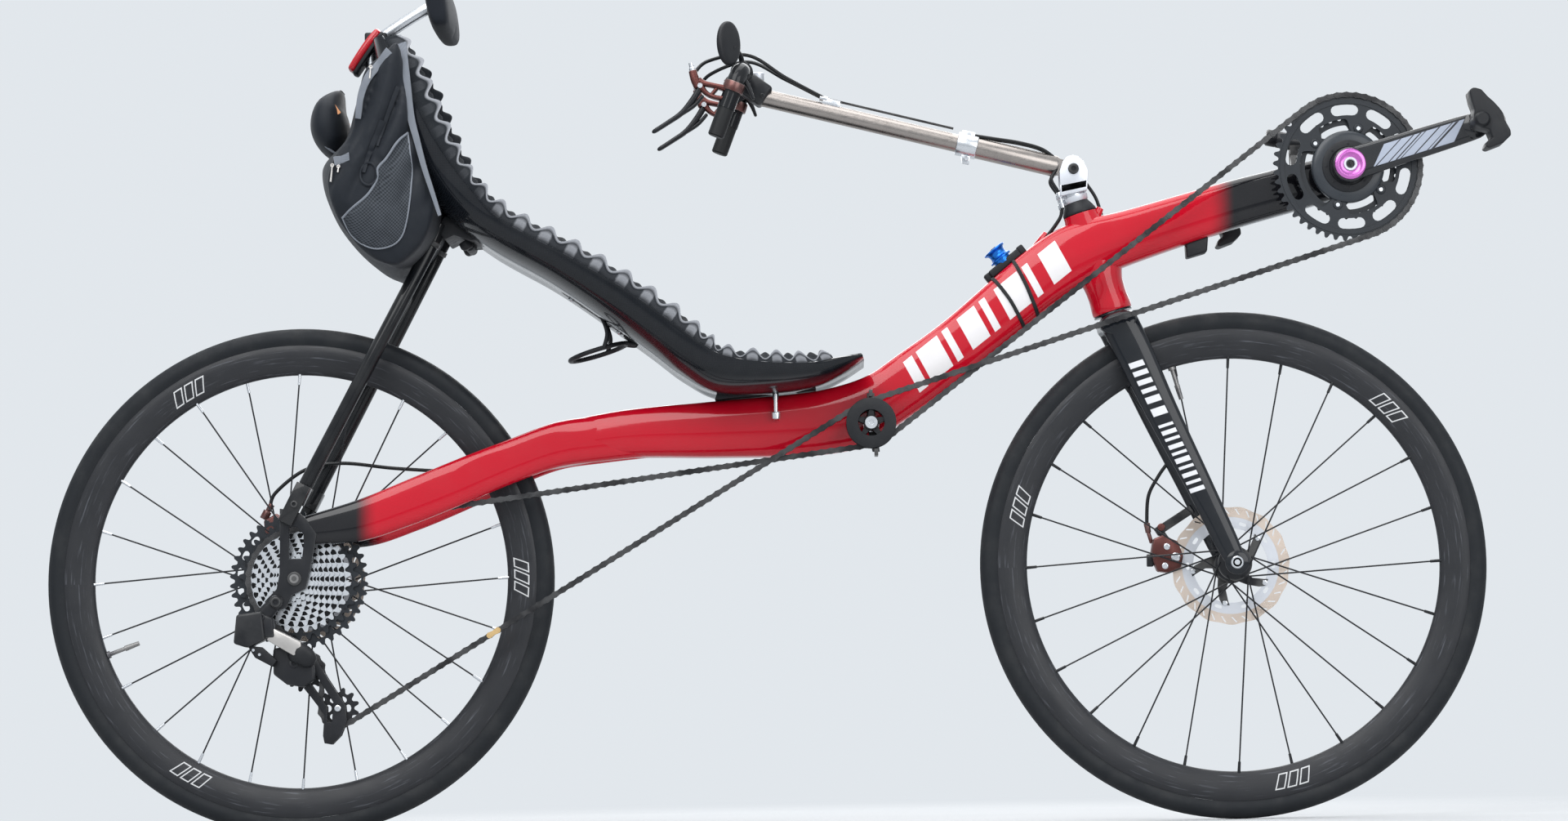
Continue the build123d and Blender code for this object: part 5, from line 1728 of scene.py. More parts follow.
        def net_spot(u: float, v: float) -> Vector:
            """Give a point on the pocket, which bulges in the middle.

            Args:
                u: share of the way round.
                v: share of the way along.

            Returns:
                The point in metres.
            """
            x, z = outline[round(u * len(outline)) % len(outline)]
            return self.drape(middle[0] + (x - middle[0]) * v, middle[1] + (z - middle[1]) * v, side,
                              1.0 + 5.0 * (1.0 - v * v))[0]

        surface(bm, len(outline), 14, net_spot, capped=False)
        bmesh.ops.remove_doubles(bm, verts=bm.verts[:], dist=NET_MERGE)
        lifted = bmesh.ops.extrude_face_region(bm, geom=bm.faces[:])["geom"]
        verts = [item for item in lifted if isinstance(item, bmesh.types.BMVert)]
        bmesh.ops.translate(bm, verts=verts, vec=Vector((0.0, side * 0.8 * MM, 0.0)))
        bmesh.ops.recalc_face_normals(bm, faces=bm.faces[:])
        self.add(bm, f"bag netting {word}", NETTING, angle=80.0)
        bm = bmesh.new()
        hose(bm, [self.drape(x, z, side, 2.0)[0] for x, z in hose_pairs(self.netting[:8], 16)], 1.7, 60, 8)
        hose(bm, [self.drape(x, z, side, 1.2)[0] for x, z in hose_pairs(self.netting[7:] + self.netting[:1], 16)],
             1.2, 60, 8)
        self.add(bm, f"netting piping {word}", GREY_CLOTH)
        bm = bmesh.new()
        ring = [(110 + 11 * math.cos(a), 868 + 15 * math.sin(a)) for a in (math.tau * k / 12 for k in range(12))]
        hose(bm, [self.drape(x, z, side, 1.2)[0] for x, z in ring + ring[:1]], 2.0, 60, 8)
        self.band(bm, ((128, 940), (112, 900), (104, 870)), side, 9.0, 2.4, 5.0)
        self.band(bm, ((148, 985), (132, 940), (122, 905)), side, 7.0, 2.4, 4.0)
        self.add(bm, f"bag seams {word}", BAG_CLOTH, angle=60.0)
        bm = bmesh.new()
        for x, z, low in ((61, 882, 22), (70, 880, 8), (112, 1012, 16)):
            top, look = self.drape(x, z, side, 3.0)
            rod(bm, top, top + Vector((-0.1 * low, 0.0, -low)) * MM + look * 0.001, 1.1, 1.6, 10)
            turned(bm, top, look, [(1.0, -1.0), (2.6, -1.0), (2.6, 1.0), (1.0, 1.0)], steps=14)
        self.add(bm, f"zip pulls {word}", PALE_PLATE)
        bm = bmesh.new()
        shift = side * 52.0
        block(bm, place(58, 972, shift), place(44, 962, shift + side * 6), 2.0, 20.0)
        self.add(bm, f"pouch patch {word}", ORANGE_PATCH)


@dataclass
class BottleCage(Assembly):
    """The wire cage behind the seat back."""

    def build(self) -> None:
        """Build and dress the cage."""
        bm = bmesh.new()
        block(bm, place(351.4, 726.3), place(454.4, 652.6), 24, 4.4)
        soften(bm, 1.2)
        ring = [place(402 + 39.5 * 0.96 * math.cos(a), 640 + 39.5 * 0.28 * math.cos(a), 39.5 * math.sin(a))
                for a in (math.tau * step / 24 for step in range(25))]
        hose(bm, ring, 3.2, 96, 12)
        for side in (-1, 1):
            hose(bm, [place(380, 706, side * 11), place(404, 691, side * 30), place(416, 664, side * 39),
                      place(412, 643, side * 39.5)], 3.0, 32, 12)
            hose(bm, [place(438, 662, side * 11), place(452, 650, side * 12), place(438, 651, side * 14)], 3.0, 20, 12)
        self.add(bm, "bottle cage", PLASTIC, ("bottle_cage",))
        self.screws("cage bolts", SILVER_ALLOY, Vector((-0.58, 0, -0.81)),
                    [(x - 1.4, z - 2.0, 0.0, 4.2, 3.2) for x, z in ((368, 715), (432, 669))])


@dataclass
class Fork(Assembly):
    """The fork with its crown, blades, headset and clevis."""

    body: str = "fork_body"
    blade: tuple = ((10.0, 0.0, 28.0, 26.0, 12.0), (60.0, 7.0, 33.0, 25.0, 9.0), (150.0, 17.0, 38.0, 22.0, 7.5),
                    (260.0, 32.0, 49.0, 18.0, 6.5), (340.0, 42.0, 52.0, 16.0, 6.0), (372.0, 46.0, 53.5, 13.0, 5.5))

    def build(self) -> None:
        """Build and dress the fork."""
        bm = bmesh.new()
        for side in (-1, 1):

            def blade_spot(u: float, v: float, side: int = side) -> Vector:
                """Give a point on a blade.

                Args:
                    u: share of the way round.
                    v: share of the way along.
                    side: -1 for the right one, 1 for the left one.

                Returns:
                    The point in metres.
                """
                down, ahead, y, deep, half = blend_rows(self.blade, v)
                c, s = math.cos(math.tau * u), math.sin(math.tau * u)
                return steer(-down, ahead + deep * math.copysign(abs(c) ** 0.85, c), side * (y + half * s))

            surface(bm, 36, 60, blade_spot)

        def crown_spot(u: float, v: float) -> Vector:
            """Give a point on the crown's arch.

            Args:
                u: share of the way round.
                v: share of the way along.

            Returns:
                The point in metres.
            """
            share = v * 2 - 1
            y = 39.5 * math.sin(math.pi / 2 * share)
            drop = 16.0 + 10.0 * abs(share) ** 3
            fit = math.sqrt(max(1.0 - abs(share) ** 6, 0.04))
            c, s = math.cos(math.tau * u), math.sin(math.tau * u)
            return steer(-drop + 14.5 * fit * s, 26.0 * fit * math.copysign(abs(c) ** 0.8, c), y)

        surface(bm, 36, 36, crown_spot)
        turned(bm, steer(-1), steer(10) - steer(0), [(15, -2), (26.5, -2), (26.5, -0.6), (25.6, 0.6), (15, 0.6)],
               steps=48)
        for side in (-1, 1):
            turned(bm, place(WHEELBASE, AXLE_Z, side * 49.5), facing(side),
                   [(6.2, 0), (15.4, 0), (16.0, 1.2), (16.0, 8.4), (14.8, 9.5), (6.2, 9.5)], steps=40)
        self.add(bm, "fork", FORK_CARBON, ("fork",), angle=50.0)
        bm = bmesh.new()
        turned(bm, place(WHEELBASE, AXLE_Z), facing(1), [(0, -60), (6, -60), (6, 60), (0, 60)], steps=24, ring=False)
        for side in (-1, 1):
            turned(bm, place(WHEELBASE, AXLE_Z, side * 56), facing(side),
                   [(3.0, 0), (8.4, 0), (8.4, 3.0), (7.4, 4.0), (3.6, 4.0), (3.0, 1.5)], steps=28)
        rod(bm, steer(-30), steer(170), 14.2, steps=36)
        self.add(bm, "axle and steerer", SILVER_ALLOY)
        self.headset()

    def headset(self) -> None:
        """Build the cone and clevis over the head tube."""
        self.form("headset cone", PLASTIC, turned, steer(140), steer(10) - steer(0),
                  [(14.4, 0), (22.6, 0), (23.0, 1.0), (22.8, 3.2), (20.0, 9.0), (16.6, 15.0), (15.0, 18.6),
                   (14.4, 18.6)], steps=56, nodes=("headset_cone",))
        bm = bmesh.new()
        for side in (-1, 1):
            plate(bm, ((1028, 842), (1064, 849), (1066, 872), (1060, 886), (1053, 892), (1046, 894), (1038, 892),
                       (1032, 886), (1027, 872)), side * 14.4, side * 19)
        plate(bm, ((1028, 838), (1064, 846), (1065, 861), (1027, 854)), -19, 19)
        soften(bm, 1.6, 30.0)
        turned(bm, steer(158), steer(10) - steer(0), [(0, -3), (14.8, -3), (17.4, 0), (18, 6), (0, 8)], steps=40,
               ring=False)
        self.add(bm, "clevis", PALE_ALLOY, ("stem_clevis",))


@dataclass
class Wheel(Assembly):
    """A spoked wheel with its tyre and rotor."""

    word: str = "front"
    x: float = WHEELBASE
    flange: float = 23.0
    flange_right: float = -25.0
    flange_left: float = 25.0
    hub_right: float = -47.0
    hub_left: float = 47.0
    rotor_y: float = 38.0
    rim_finish: Finish = field(default_factory=lambda: RimPaint("rim", "satin_carbon", (0, 0, 0), (0, 0, 0)))
    valve_turn: float = 0.0
    nipples: Finish = SPOKE_BLACK
    tyre_middle: float = 325.5
    tyre_half: float = 14.0
    spokes: int = 12

    def centre(self, y: float = 0.0) -> Vector:
        """Give a point on the axle."""
        return place(self.x, AXLE_Z, y)

    def polar(self, radius: float, angle: float, y: float) -> Vector:
        """Give a point by its radius and angle about the axle."""
        return place(self.x + radius * math.cos(angle), AXLE_Z + radius * math.sin(angle), y)

    def build(self) -> None:
        """Build and dress the wheel."""
        across = facing(1)
        bm = bmesh.new()
        profile = [(316.3, -11.3), (316.3, 11.3)]
        for step in range(23):
            angle = math.radians(115 - step * 230 / 22)
            groove = 0.35 if step in (7, 9, 13, 15) else 0.0
            radius = self.tyre_half - groove
            profile.append((self.tyre_middle + radius * math.cos(angle), radius * math.sin(angle)))
        turned(bm, self.centre(), across, profile, steps=168)
        self.add(bm, f"{self.word} tyre", TYRE_RUBBER, (f"{self.word}_tyre",), angle=60.0)
        self.form(f"{self.word} rim", self.rim_finish, turned, self.centre(), across,
                  [(316, -9), (316.2, -11.4), (315, -12.2), (311, -12.6), (308, -13.4), (296, -11.6), (285, -8.0),
                   (279, -5.0), (276.7, -2.4), (276.5, 0), (276.7, 2.4), (279, 5.0), (285, 8.0), (296, 11.6),
                   (308, 13.4), (311, 12.6), (315, 12.2), (316.2, 11.4), (316, 9)], steps=168,
                  nodes=(f"{self.word}_rim",), angle=45.0)
        self.hub()
        self.rotor()

    def hub(self) -> None:
        """Build the hub, spokes, nipples and valve."""
        bm = bmesh.new()
        f, right, left = self.flange, self.flange_right, self.flange_left
        turned(bm, self.centre(), facing(1), [
            (6.3, self.hub_right), (11, self.hub_right), (13, self.hub_right + 3), (13, right - 5), (f - 4, right - 2),
            (f, right - 1.6), (f, right + 1.6), (f - 4, right + 2.4), (13, right + 8), (11.5, (left + right) / 2),
            (13, left - 8), (f - 4, left - 2.4), (f, left - 1.6), (f, left + 1.6), (f - 4, left + 2), (13, left + 5),
            (13, self.hub_left - 3), (11, self.hub_left), (6.3, self.hub_left)], steps=56)
        self.add(bm, f"{self.word} hub", BLACK_ALLOY, (f"{self.word}_hub",), angle=30.0)
        wires, heads = bmesh.new(), bmesh.new()
        for index in range(self.spokes):
            for y, phase in ((right, 0.0), (left, 0.5)):
                angle = math.tau * (index + phase) / self.spokes
                lead = math.radians(66.0) * (1 if index % 2 else -1)
                start = self.polar(f - 3.0, angle + lead, y + (2.4 if index % 2 else -2.4))
                end = self.polar(279.5, angle, 0.12 * y)
                rod(wires, start, end, 1.1, steps=8)
                reach = (end - start).normalized()
                rod(heads, end - reach * 0.016, end + reach * 0.001, 1.9, 2.2, steps=10)
        self.add(wires, f"{self.word} spokes", SPOKE_BLACK)
        self.add(heads, f"{self.word} nipples", self.nipples)
        bm = bmesh.new()
        angle = self.valve_turn
        rod(bm, self.polar(277, angle, 0), self.polar(240, angle, 0), 2.9, 2.6, steps=14)
        rod(bm, self.polar(277, angle, 0), self.polar(273, angle, 0), 5.0, steps=14)
        rod(bm, self.polar(252, angle, 0), self.polar(232, angle, 0), 3.8, 3.0, steps=14)
        self.add(bm, f"{self.word} valve", GREY_ALLOY)

    def rotor(self) -> None:
        """Build the rotor: a slotted steel band, its pale web, the arms and rivets."""
        near = self.rotor_y
        across = facing(1)
        edge = [(79.2 + 0.8 * math.sin(math.radians(24.0 * step)), math.radians(1.6 * step)) for step in range(225)]
        cuts = [polar_loop(self.x, AXLE_Z, ((69.6, a - 0.016), (69.6, a + 0.016), (76.8, a + 0.1), (76.8, a + 0.068)))
                for a in (math.tau * step / 32 for step in range(32))]
        self.form(f"{self.word} rotor", ROTOR_STEEL, plate, polar_loop(self.x, AXLE_Z, edge), near - 0.95, near + 0.95,
                  [circle_loop(self.x, AXLE_Z, 65.5, 90), *cuts], nodes=(f"{self.word}_rotor",))
        self.form(f"{self.word} rotor web", PALE_ALLOY, plate, circle_loop(self.x, AXLE_Z, 66.5, 90), near - 0.7,
                  near + 0.7, [circle_loop(self.x, AXLE_Z, 50.5, 90), *slots(self.x, AXLE_Z, 10, 55.5, 60.0, 0.72)])
        bm, rivets = bmesh.new(), bmesh.new()
        turned(bm, self.centre(near), across, [(13.4, -3), (24, -3), (24.6, -1.6), (24.6, 1.6), (24, 3), (13.4, 3)],
               steps=48)
        for step in range(5):
            middle = math.tau * step / 5 + 0.4
            arm = [(r, middle + 0.4 * (r - 22) / 32 + w / r) for r, w in
                   ((20, 9), (34, 6), (48, 6), (54, 5), (54, -5), (48, -6), (34, -6), (20, -9))]
            plate(bm, polar_loop(self.x, AXLE_Z, arm), near - 1.6, near + 1.6)
            bolt(bm, self.polar(20.5, middle, near + 3), across, 2.6, 1.6)
            for side in (-1, 1):
                bolt(rivets, self.polar(51.5, middle + 0.37, near + side * 1.6), across * side, 3.4, 1.2)
        self.add(bm, f"{self.word} rotor carrier", BLACK_ALLOY)
        self.add(rivets, f"{self.word} rotor rivets", SILVER_ALLOY)


# ------------------------------------------------------------------ drive
@dataclass(frozen=True)
class ChainWheel:
    """A wheel that the chain runs round, in millimetres."""

    x: float
    z: float
    radius: float
    y: float


@dataclass
class Chain(Assembly):
    """The long chain with its real links."""

    ring: ChainWheel = ChainWheel(CRANK_X, CRANK_Z, pitch_radius(48), -48.0)
    sprocket: ChainWheel = ChainWheel(0.0, AXLE_Z, pitch_radius(33), -32.75)
    idler_low: ChainWheel = ChainWheel(IDLER_X, IDLER_Z, 28.5, -44.0)
    idler_high: ChainWheel = ChainWheel(IDLER_X, IDLER_Z, 28.5, -55.5)
    upper: ChainWheel = ChainWheel(8.0, 218.0, 24.0, -32.75)
    lower: ChainWheel = ChainWheel(52.0, 168.0, 24.0, -32.75)
    plate_half: float = 4.2
    waist_half: float = 2.9
    inner_plate: Pair = (1.75, 2.65)
    outer_plate: Pair = (2.75, 3.55)
    pin_half: float = 4.1
    roller_half: float = 1.7
    run_steps: int = 60
    wrap_steps: int = 40

    @staticmethod
    def tangent(first: ChainWheel, second: ChainWheel, side_first: int, side_second: int) -> tuple[Pair, Pair]:
        """Give the two touch points of a straight run, side 1 to the left of its direction.

        Args:
            first: the wheel that the run leaves.
            second: the wheel that it reaches.
            side_first: the side of the first wheel that it leaves from.
            side_second: the side of the second wheel that it comes to.

        Returns:
            The two points as pairs of x and z.
        """
        dx, dz = second.x - first.x, second.z - first.z
        turn = math.acos((side_first * first.radius - side_second * second.radius) / math.hypot(dx, dz))
        angle = math.atan2(dz, dx) + turn
        n = (math.cos(angle), math.sin(angle))
        return ((first.x + side_first * first.radius * n[0], first.z + side_first * first.radius * n[1]),
                (second.x + side_second * second.radius * n[0], second.z + side_second * second.radius * n[1]))

    def route(self) -> list[Vector]:
        """Give close points along the whole loop.

        Returns:
            The points in metres, in the order that the chain runs.
        """
        legs = ((self.ring, self.idler_low, -1, 1), (self.idler_low, self.sprocket, 1, -1),
                (self.sprocket, self.upper, -1, 1), (self.upper, self.lower, 1, -1),
                (self.lower, self.idler_high, -1, 1), (self.idler_high, self.ring, 1, -1))
        runs = [self.tangent(*leg) for leg in legs]
        points = []
        for index, (leg, run) in enumerate(zip(legs, runs)):
            first, second, _, side = leg
            for step in range(self.run_steps):
                share = step / self.run_steps
                points.append(place(run[0][0] + (run[1][0] - run[0][0]) * share,
                                    run[0][1] + (run[1][1] - run[0][1]) * share,
                                    first.y + (second.y - first.y) * share))
            leave = runs[(index + 1) % len(runs)][0]
            a0 = math.atan2(run[1][1] - second.z, run[1][0] - second.x)
            a1 = math.atan2(leave[1] - second.z, leave[0] - second.x)
            sweep = (a1 - a0) % math.tau if side < 0 else -((a0 - a1) % math.tau)
            for step in range(self.wrap_steps):
                angle = a0 + sweep * step / self.wrap_steps
                points.append(place(second.x + second.radius * math.cos(angle),
                                    second.z + second.radius * math.sin(angle), second.y))
        return points

    def pins(self) -> list[Vector]:
        """Give the places of the chain's pins, evenly along the loop.

        Returns:
            The points in metres.
        """
        points = self.route()
        points.append(points[0])
        reach = [0.0]
        for first, second in zip(points, points[1:]):
            reach.append(reach[-1] + (second - first).length)
        count = round(reach[-1] / (PITCH * MM) / 2) * 2
        spots, index = [], 0
        for step in range(count):
            want = reach[-1] * step / count
            while reach[index + 1] < want:
                index += 1
            share = (want - reach[index]) / (reach[index + 1] - reach[index])
            spots.append(points[index].lerp(points[index + 1], share))
        return spots

    def link(self, outer: bool, length: float) -> bpy.types.Mesh:
        """Make one link about the origin, along X.

        Args:
            outer: whether its plates are the outer ones, which carry the pins.
            length: the distance between its pins, in metres.

        Returns:
            The link's mesh.
        """
        bm = bmesh.new()
        half = length / 2 / MM
        outline = []
        for end in (1, -1):
            for angle in (-80, -40, 0, 40, 80):
                a = math.radians(angle)
                outline.append((SEAT_X + end * (half + self.plate_half * math.cos(a)),
                                SEAT_Z + end * self.plate_half * math.sin(a)))
            outline.append((SEAT_X, SEAT_Z + end * self.waist_half))
        for side in (-1, 1):
            near, far = self.outer_plate if outer else self.inner_plate
            plate(bm, outline, side * near, side * far)
        for end in (-1, 1):
            x = SEAT_X + end * half
            if outer:
                rod(bm, place(x, SEAT_Z, -self.pin_half), place(x, SEAT_Z, self.pin_half), 1.9, steps=8)
            else:
                rod(bm, place(x, SEAT_Z, -self.roller_half), place(x, SEAT_Z, self.roller_half), 3.8, steps=12)
        mesh = bpy.data.meshes.new("chain link")
        bm.to_mesh(mesh)
        bm.free()
        return mesh

    def build(self) -> None:
        """Build and dress the chain."""
        pins = self.pins()
        length = (pins[1] - pins[0]).length
        links = [self.link(False, length), self.link(True, length)]
        chain, gold = bmesh.new(), bmesh.new()
        goal = place(246, 262, -36)
        nearest = min(range(1, len(pins), 2), key=lambda i: (pins[i] - goal).length)
        for index, first in enumerate(pins):
            second = pins[(index + 1) % len(pins)]
            along = (second - first).normalized()
            side = (facing(1) - along * along.y).normalized()
            turn = Matrix((along, side, along.cross(side))).transposed().to_4x4()
            target = gold if index == nearest else chain
            count = len(target.verts)
            target.from_mesh(links[index % 2])
            target.verts.ensure_lookup_table()
            bmesh.ops.transform(target, matrix=Matrix.Translation((first + second) / 2) @ turn,
                                verts=target.verts[count:])
        self.add(chain, "chain", CHAIN_STEEL, ("chain",), angle=30.0)
        self.add(gold, "closing link", LINK_GOLD)


@dataclass
class Cassette(Assembly):
    """The eleven sprockets on their stepped carrier."""

    first_y: float = -24.0
    thickness: float = 1.9
    teeth: tuple = (44, 38, 33, 29, 26, 23, 20, 17, 15, 13, 11)
    steps: tuple = (0.0, 3.9, 7.8, 11.4, 15.0, 18.6, 22.2, 25.8, 29.4, 33.0, 36.6)
    black_count: int = 2

    def build(self) -> None:
        """Build and dress the cassette."""
        black, bright, carrier = bmesh.new(), bmesh.new(), bmesh.new()
        profile = [(6.0, 22.5)]
        for index, (teeth, step) in enumerate(zip(self.teeth, self.steps)):
            y, pitch = self.first_y - step - self.thickness, pitch_radius(teeth)
            last = index == len(self.teeth) - 1
            below = 0 if last else self.teeth[index + 1]
            inner = 13.0 if last else pitch_radius(below) - 4.4
            holes = [circle_loop(0.0, AXLE_Z, inner, 90)]
            if index < self.black_count:
                holes += slots(0.0, AXLE_Z, below // 2 + 2, inner + 2.2, pitch - 6.2, 0.46)
            elif not last:
                holes += slots(0.0, AXLE_Z, below, inner + 0.5, pitch - 4.2, 0.24)
            gear(black if index < self.black_count else bright, 0.0, AXLE_Z, y, teeth, self.thickness, holes)
            core = pitch_radius(self.teeth[2]) - 4.0 if index < self.black_count else inner + 0.4
            profile += [(core, -self.first_y + step - 0.6), (core, self.thickness - self.first_y + step + 0.6)]
        turned(carrier, place(0, AXLE_Z), facing(-1), profile + [(13, 66), (6, 66)], steps=72)
        for x, z in circle_loop(0.0, AXLE_Z, 73.0, 11):
            rod(carrier, place(x, z, self.first_y - 6.2), place(x, z, self.first_y + 0.4), 1.9, steps=10)
        self.add(black, "large sprockets", RING_BLACK)
        self.add(bright, "sprockets", SPROCKET_STEEL, ("cassette",))
        self.add(carrier, "cassette carrier", SPOKE_BLACK)
        bm = bmesh.new()
        rod(bm, place(0, AXLE_Z, -77), place(0, AXLE_Z, 77), 6.0, steps=28)
        turned(bm, place(0, AXLE_Z, 63.5), facing(1), [(6, 0), (9, 0), (9, 2.5), (6, 2.5)], steps=28)
        self.add(bm, "rear axle", GREY_ALLOY)


@dataclass
class Derailleur(Assembly):
    """The geared arm with its battery, cage and two pulleys."""

    battery: tuple = ((-76, 293), (-42, 297), (-38, 259), (-62, 249), (-80, 255))
    link_plate: tuple = ((-37, 259), (-32, 274), (-27, 274), (8, 256), (9, 250), (3, 236), (-2, 238))
    knuckle: tuple = ((-30, 248), (-30, 214), (-12, 200), (10, 196), (24, 206), (24, 222), (16, 246), (-4, 252))
    cage: tuple = ((10, 240), (24, 234), (40, 206), (62, 172), (64, 152), (56, 132), (44, 120), (34, 122), (32, 132),
                   (34, 160), (16, 184), (0, 204), (-6, 226))
    cage_window: tuple = ((14, 204), (24, 212), (46, 176), (44, 150), (38, 150), (38, 170))
    pulleys: tuple = ((8.0, 218.0), (52.0, 168.0))

    def build(self) -> None:
        """Build and dress the derailleur."""
        bm = bmesh.new()
        plate(bm, self.battery, -60, -84)
        plate(bm, ((-48, 296), (-28, 288), (-26, 262), (-48, 262)), -58, -80)
        plate(bm, self.knuckle, -46, -66)
        soften(bm, 3.2, 30.0, 3)
        limb(bm, ((-24, 309, -68, 8, 9), (-34, 300, -68, 10, 9), (-46, 286, -68, 11, 9)), power=3.0, tip=0.05)
        turned(bm, place(-24, 309, -60), facing(-1), [(0, 0), (8.5, 0), (9, 1), (9, 18), (7.5, 20), (0, 20)],
               steps=32, ring=False)
        self.add(bm, "derailleur body", BLACK_ALLOY, ("derailleur_body",))
        self.form("parallelogram", PALE_PLATE, plate, self.link_plate, -52, -78, edge=(2.0, 30.0))
        self.screws("derailleur bolts", BLACK_ALLOY, facing(-1),
                    ((-24, 309, -80, 6.4, 2.4), (-42, 290, -80, 3.4, 2.4), (-2, 228, -66, 6.0, 2.4)))
        bm = bmesh.new()
        for x, z, y in ((-54, 246, -80), (-46, 240, -80), (20, 214, -42)):
            rod(bm, place(x, z, y + 16), place(x, z, y), 1.9, steps=14)
        self.add(bm, "limit screws", SILVER_ALLOY)
        bm = bmesh.new()
        plate(bm, ((-62, 252), (-44, 250), (-24, 232), (-30, 224), (-52, 236)), -62, -78)
        limb(bm, ((-10, 244, -66, 13, 9), (8, 240, -70, 14, 9), (24, 226, -66, 11, 8)), power=2.6, tip=0.3)
        soften(bm, 1.6, 30.0)
        self.add(bm, "derailleur link", PLASTIC)
        bm = bmesh.new()
        for y0, y1 in ((-37.6, -40.5), (-24.5, -26.5)):
            plate(bm, self.cage, y0, y1, (self.cage_window,))
        soften(bm, 0.7, 30.0)
        turned(bm, place(14, 226, -40), facing(-1), [(0, 0), (9, 0), (9, 6), (7, 7), (0, 7)], steps=32, ring=False)
        self.add(bm, "derailleur cage", BLACK_ALLOY, ("derailleur_cage",))
        bm = bmesh.new()
        for x, z in self.pulleys:
            gear(bm, x, z, -33.6, 12, 1.7, [circle_loop(x, z, 5.0, 30), *slots(x, z, 6, 9.0, 17.0, 0.3)])
            turned(bm, place(x, z, -41), facing(1), [(0, 0), (5.4, 0), (5.4, 15), (0, 15)], steps=20, ring=False)
        self.add(bm, "pulleys", PLASTIC)
        self.screws("pulley bolts", SILVER_ALLOY, facing(-1), [(x, z, -40.8, 4.2, 2.0) for x, z in self.pulleys])


@dataclass
class Brakes(Assembly):
    """The two disc calipers and their hoses."""

    rear: tuple = ((-40, 432), (-6, 410), (-4, 396), (-28, 388), (-54, 402), (-56, 424))
    front: tuple = ((1145, 377), (1158, 382), (1178, 373), (1185, 353), (1181, 337), (1166, 331), (1150, 333),
                    (1145, 345), (1142, 360))
    front_bridge: tuple = ((1145, 377), (1158, 382), (1154, 366), (1152, 340), (1150, 333), (1145, 345), (1142, 360))

    def build(self) -> None:
        """Build and dress both brakes."""
        bm = bmesh.new()
        plate(bm, self.rear, 37.5, 46)
        plate(bm, self.rear, 54, 64)
        plate(bm, ((-56, 424), (-40, 434), (-20, 422), (-34, 421)), 46, 54)
        soften(bm, 2.4, 30.0, 3)
        self.add(bm, "rear caliper", BRONZE, ("rear_brake",))
        bm = bmesh.new()
        rod(bm, place(-57, 426, 46), place(-51, 437, 46), 5.8, steps=20)
        rod(bm, place(-51, 437, 46), place(-45.5, 446, 46), 3.6, 4.4, 20)
        soften(bm, 0.6)
        self.add(bm, "rear hose end", BRONZE)
        self.form("rear hose", HOSE, hose,
                  [place(-48, 442, 46), place(-40, 462, 46), place(0, 492, 47), place(50, 500, 47),
                   place(120, 492, 47), place(196, 486, 47)], 2.5, 60)
        front = Assembly("fork_body")
        bm = bmesh.new()
        plate(bm, self.front, 27.5, 34.5)
        plate(bm, self.front, 41.5, 52)
        plate(bm, self.front_bridge, 34.5, 41.5)
        soften(bm, 2.4, 30.0, 3)
        front.add(bm, "front caliper", BRONZE, ("front_brake",))
        bm = bmesh.new()
        block(bm, place(1150, 386, 45), place(1199, 417, 45), 10, 12)
        block(bm, place(1153, 392, 46), place(1168, 370, 46), 9, 9)
        block(bm, place(1141, 340, 44), place(1141, 357, 44), 12, 9)
        soften(bm, 1.6)
        front.add(bm, "front adaptor", BLACK_ALLOY)
        front.form("front hose", HOSE, hose,
                   [place(1138, 396, 47), place(1141, 435, 47), place(1155, 462, 46), place(1169, 482, 45),
                    place(1172, 494, 43)], 2.5, 48)
        bm = bmesh.new()
        rod(bm, place(1138, 399, 47), place(1140, 386, 47), 4.4, 3.8, 18)
        rod(bm, place(1140, 386, 47), place(1144, 372, 46), 2.8, steps=18)
        rod(bm, place(1157, 393, 38), place(1157, 393, 52), 5.2, steps=18)
        soften(bm, 0.6)
        front.add(bm, "front hose end", BRONZE)
        front.screws("front caliper screws", SILVER_ALLOY, facing(-1),
                     ((1163, 366, 27.5, 4.4, 2.2), (1160, 340, 27.5, 4.4, 2.2), (1174.5, 351.5, 27.5, 6.2, 2.2)))
        for owner, x, z, y in ((self, -20, 412, 64), (front, 1160, 358, 52), (self, -40, 410, 64)):
            owner.screws(f"caliper bolt {abs(x)} {y:.0f}", SILVER_ALLOY, facing(1), [(x, z, y, 5.5, 2.6)])


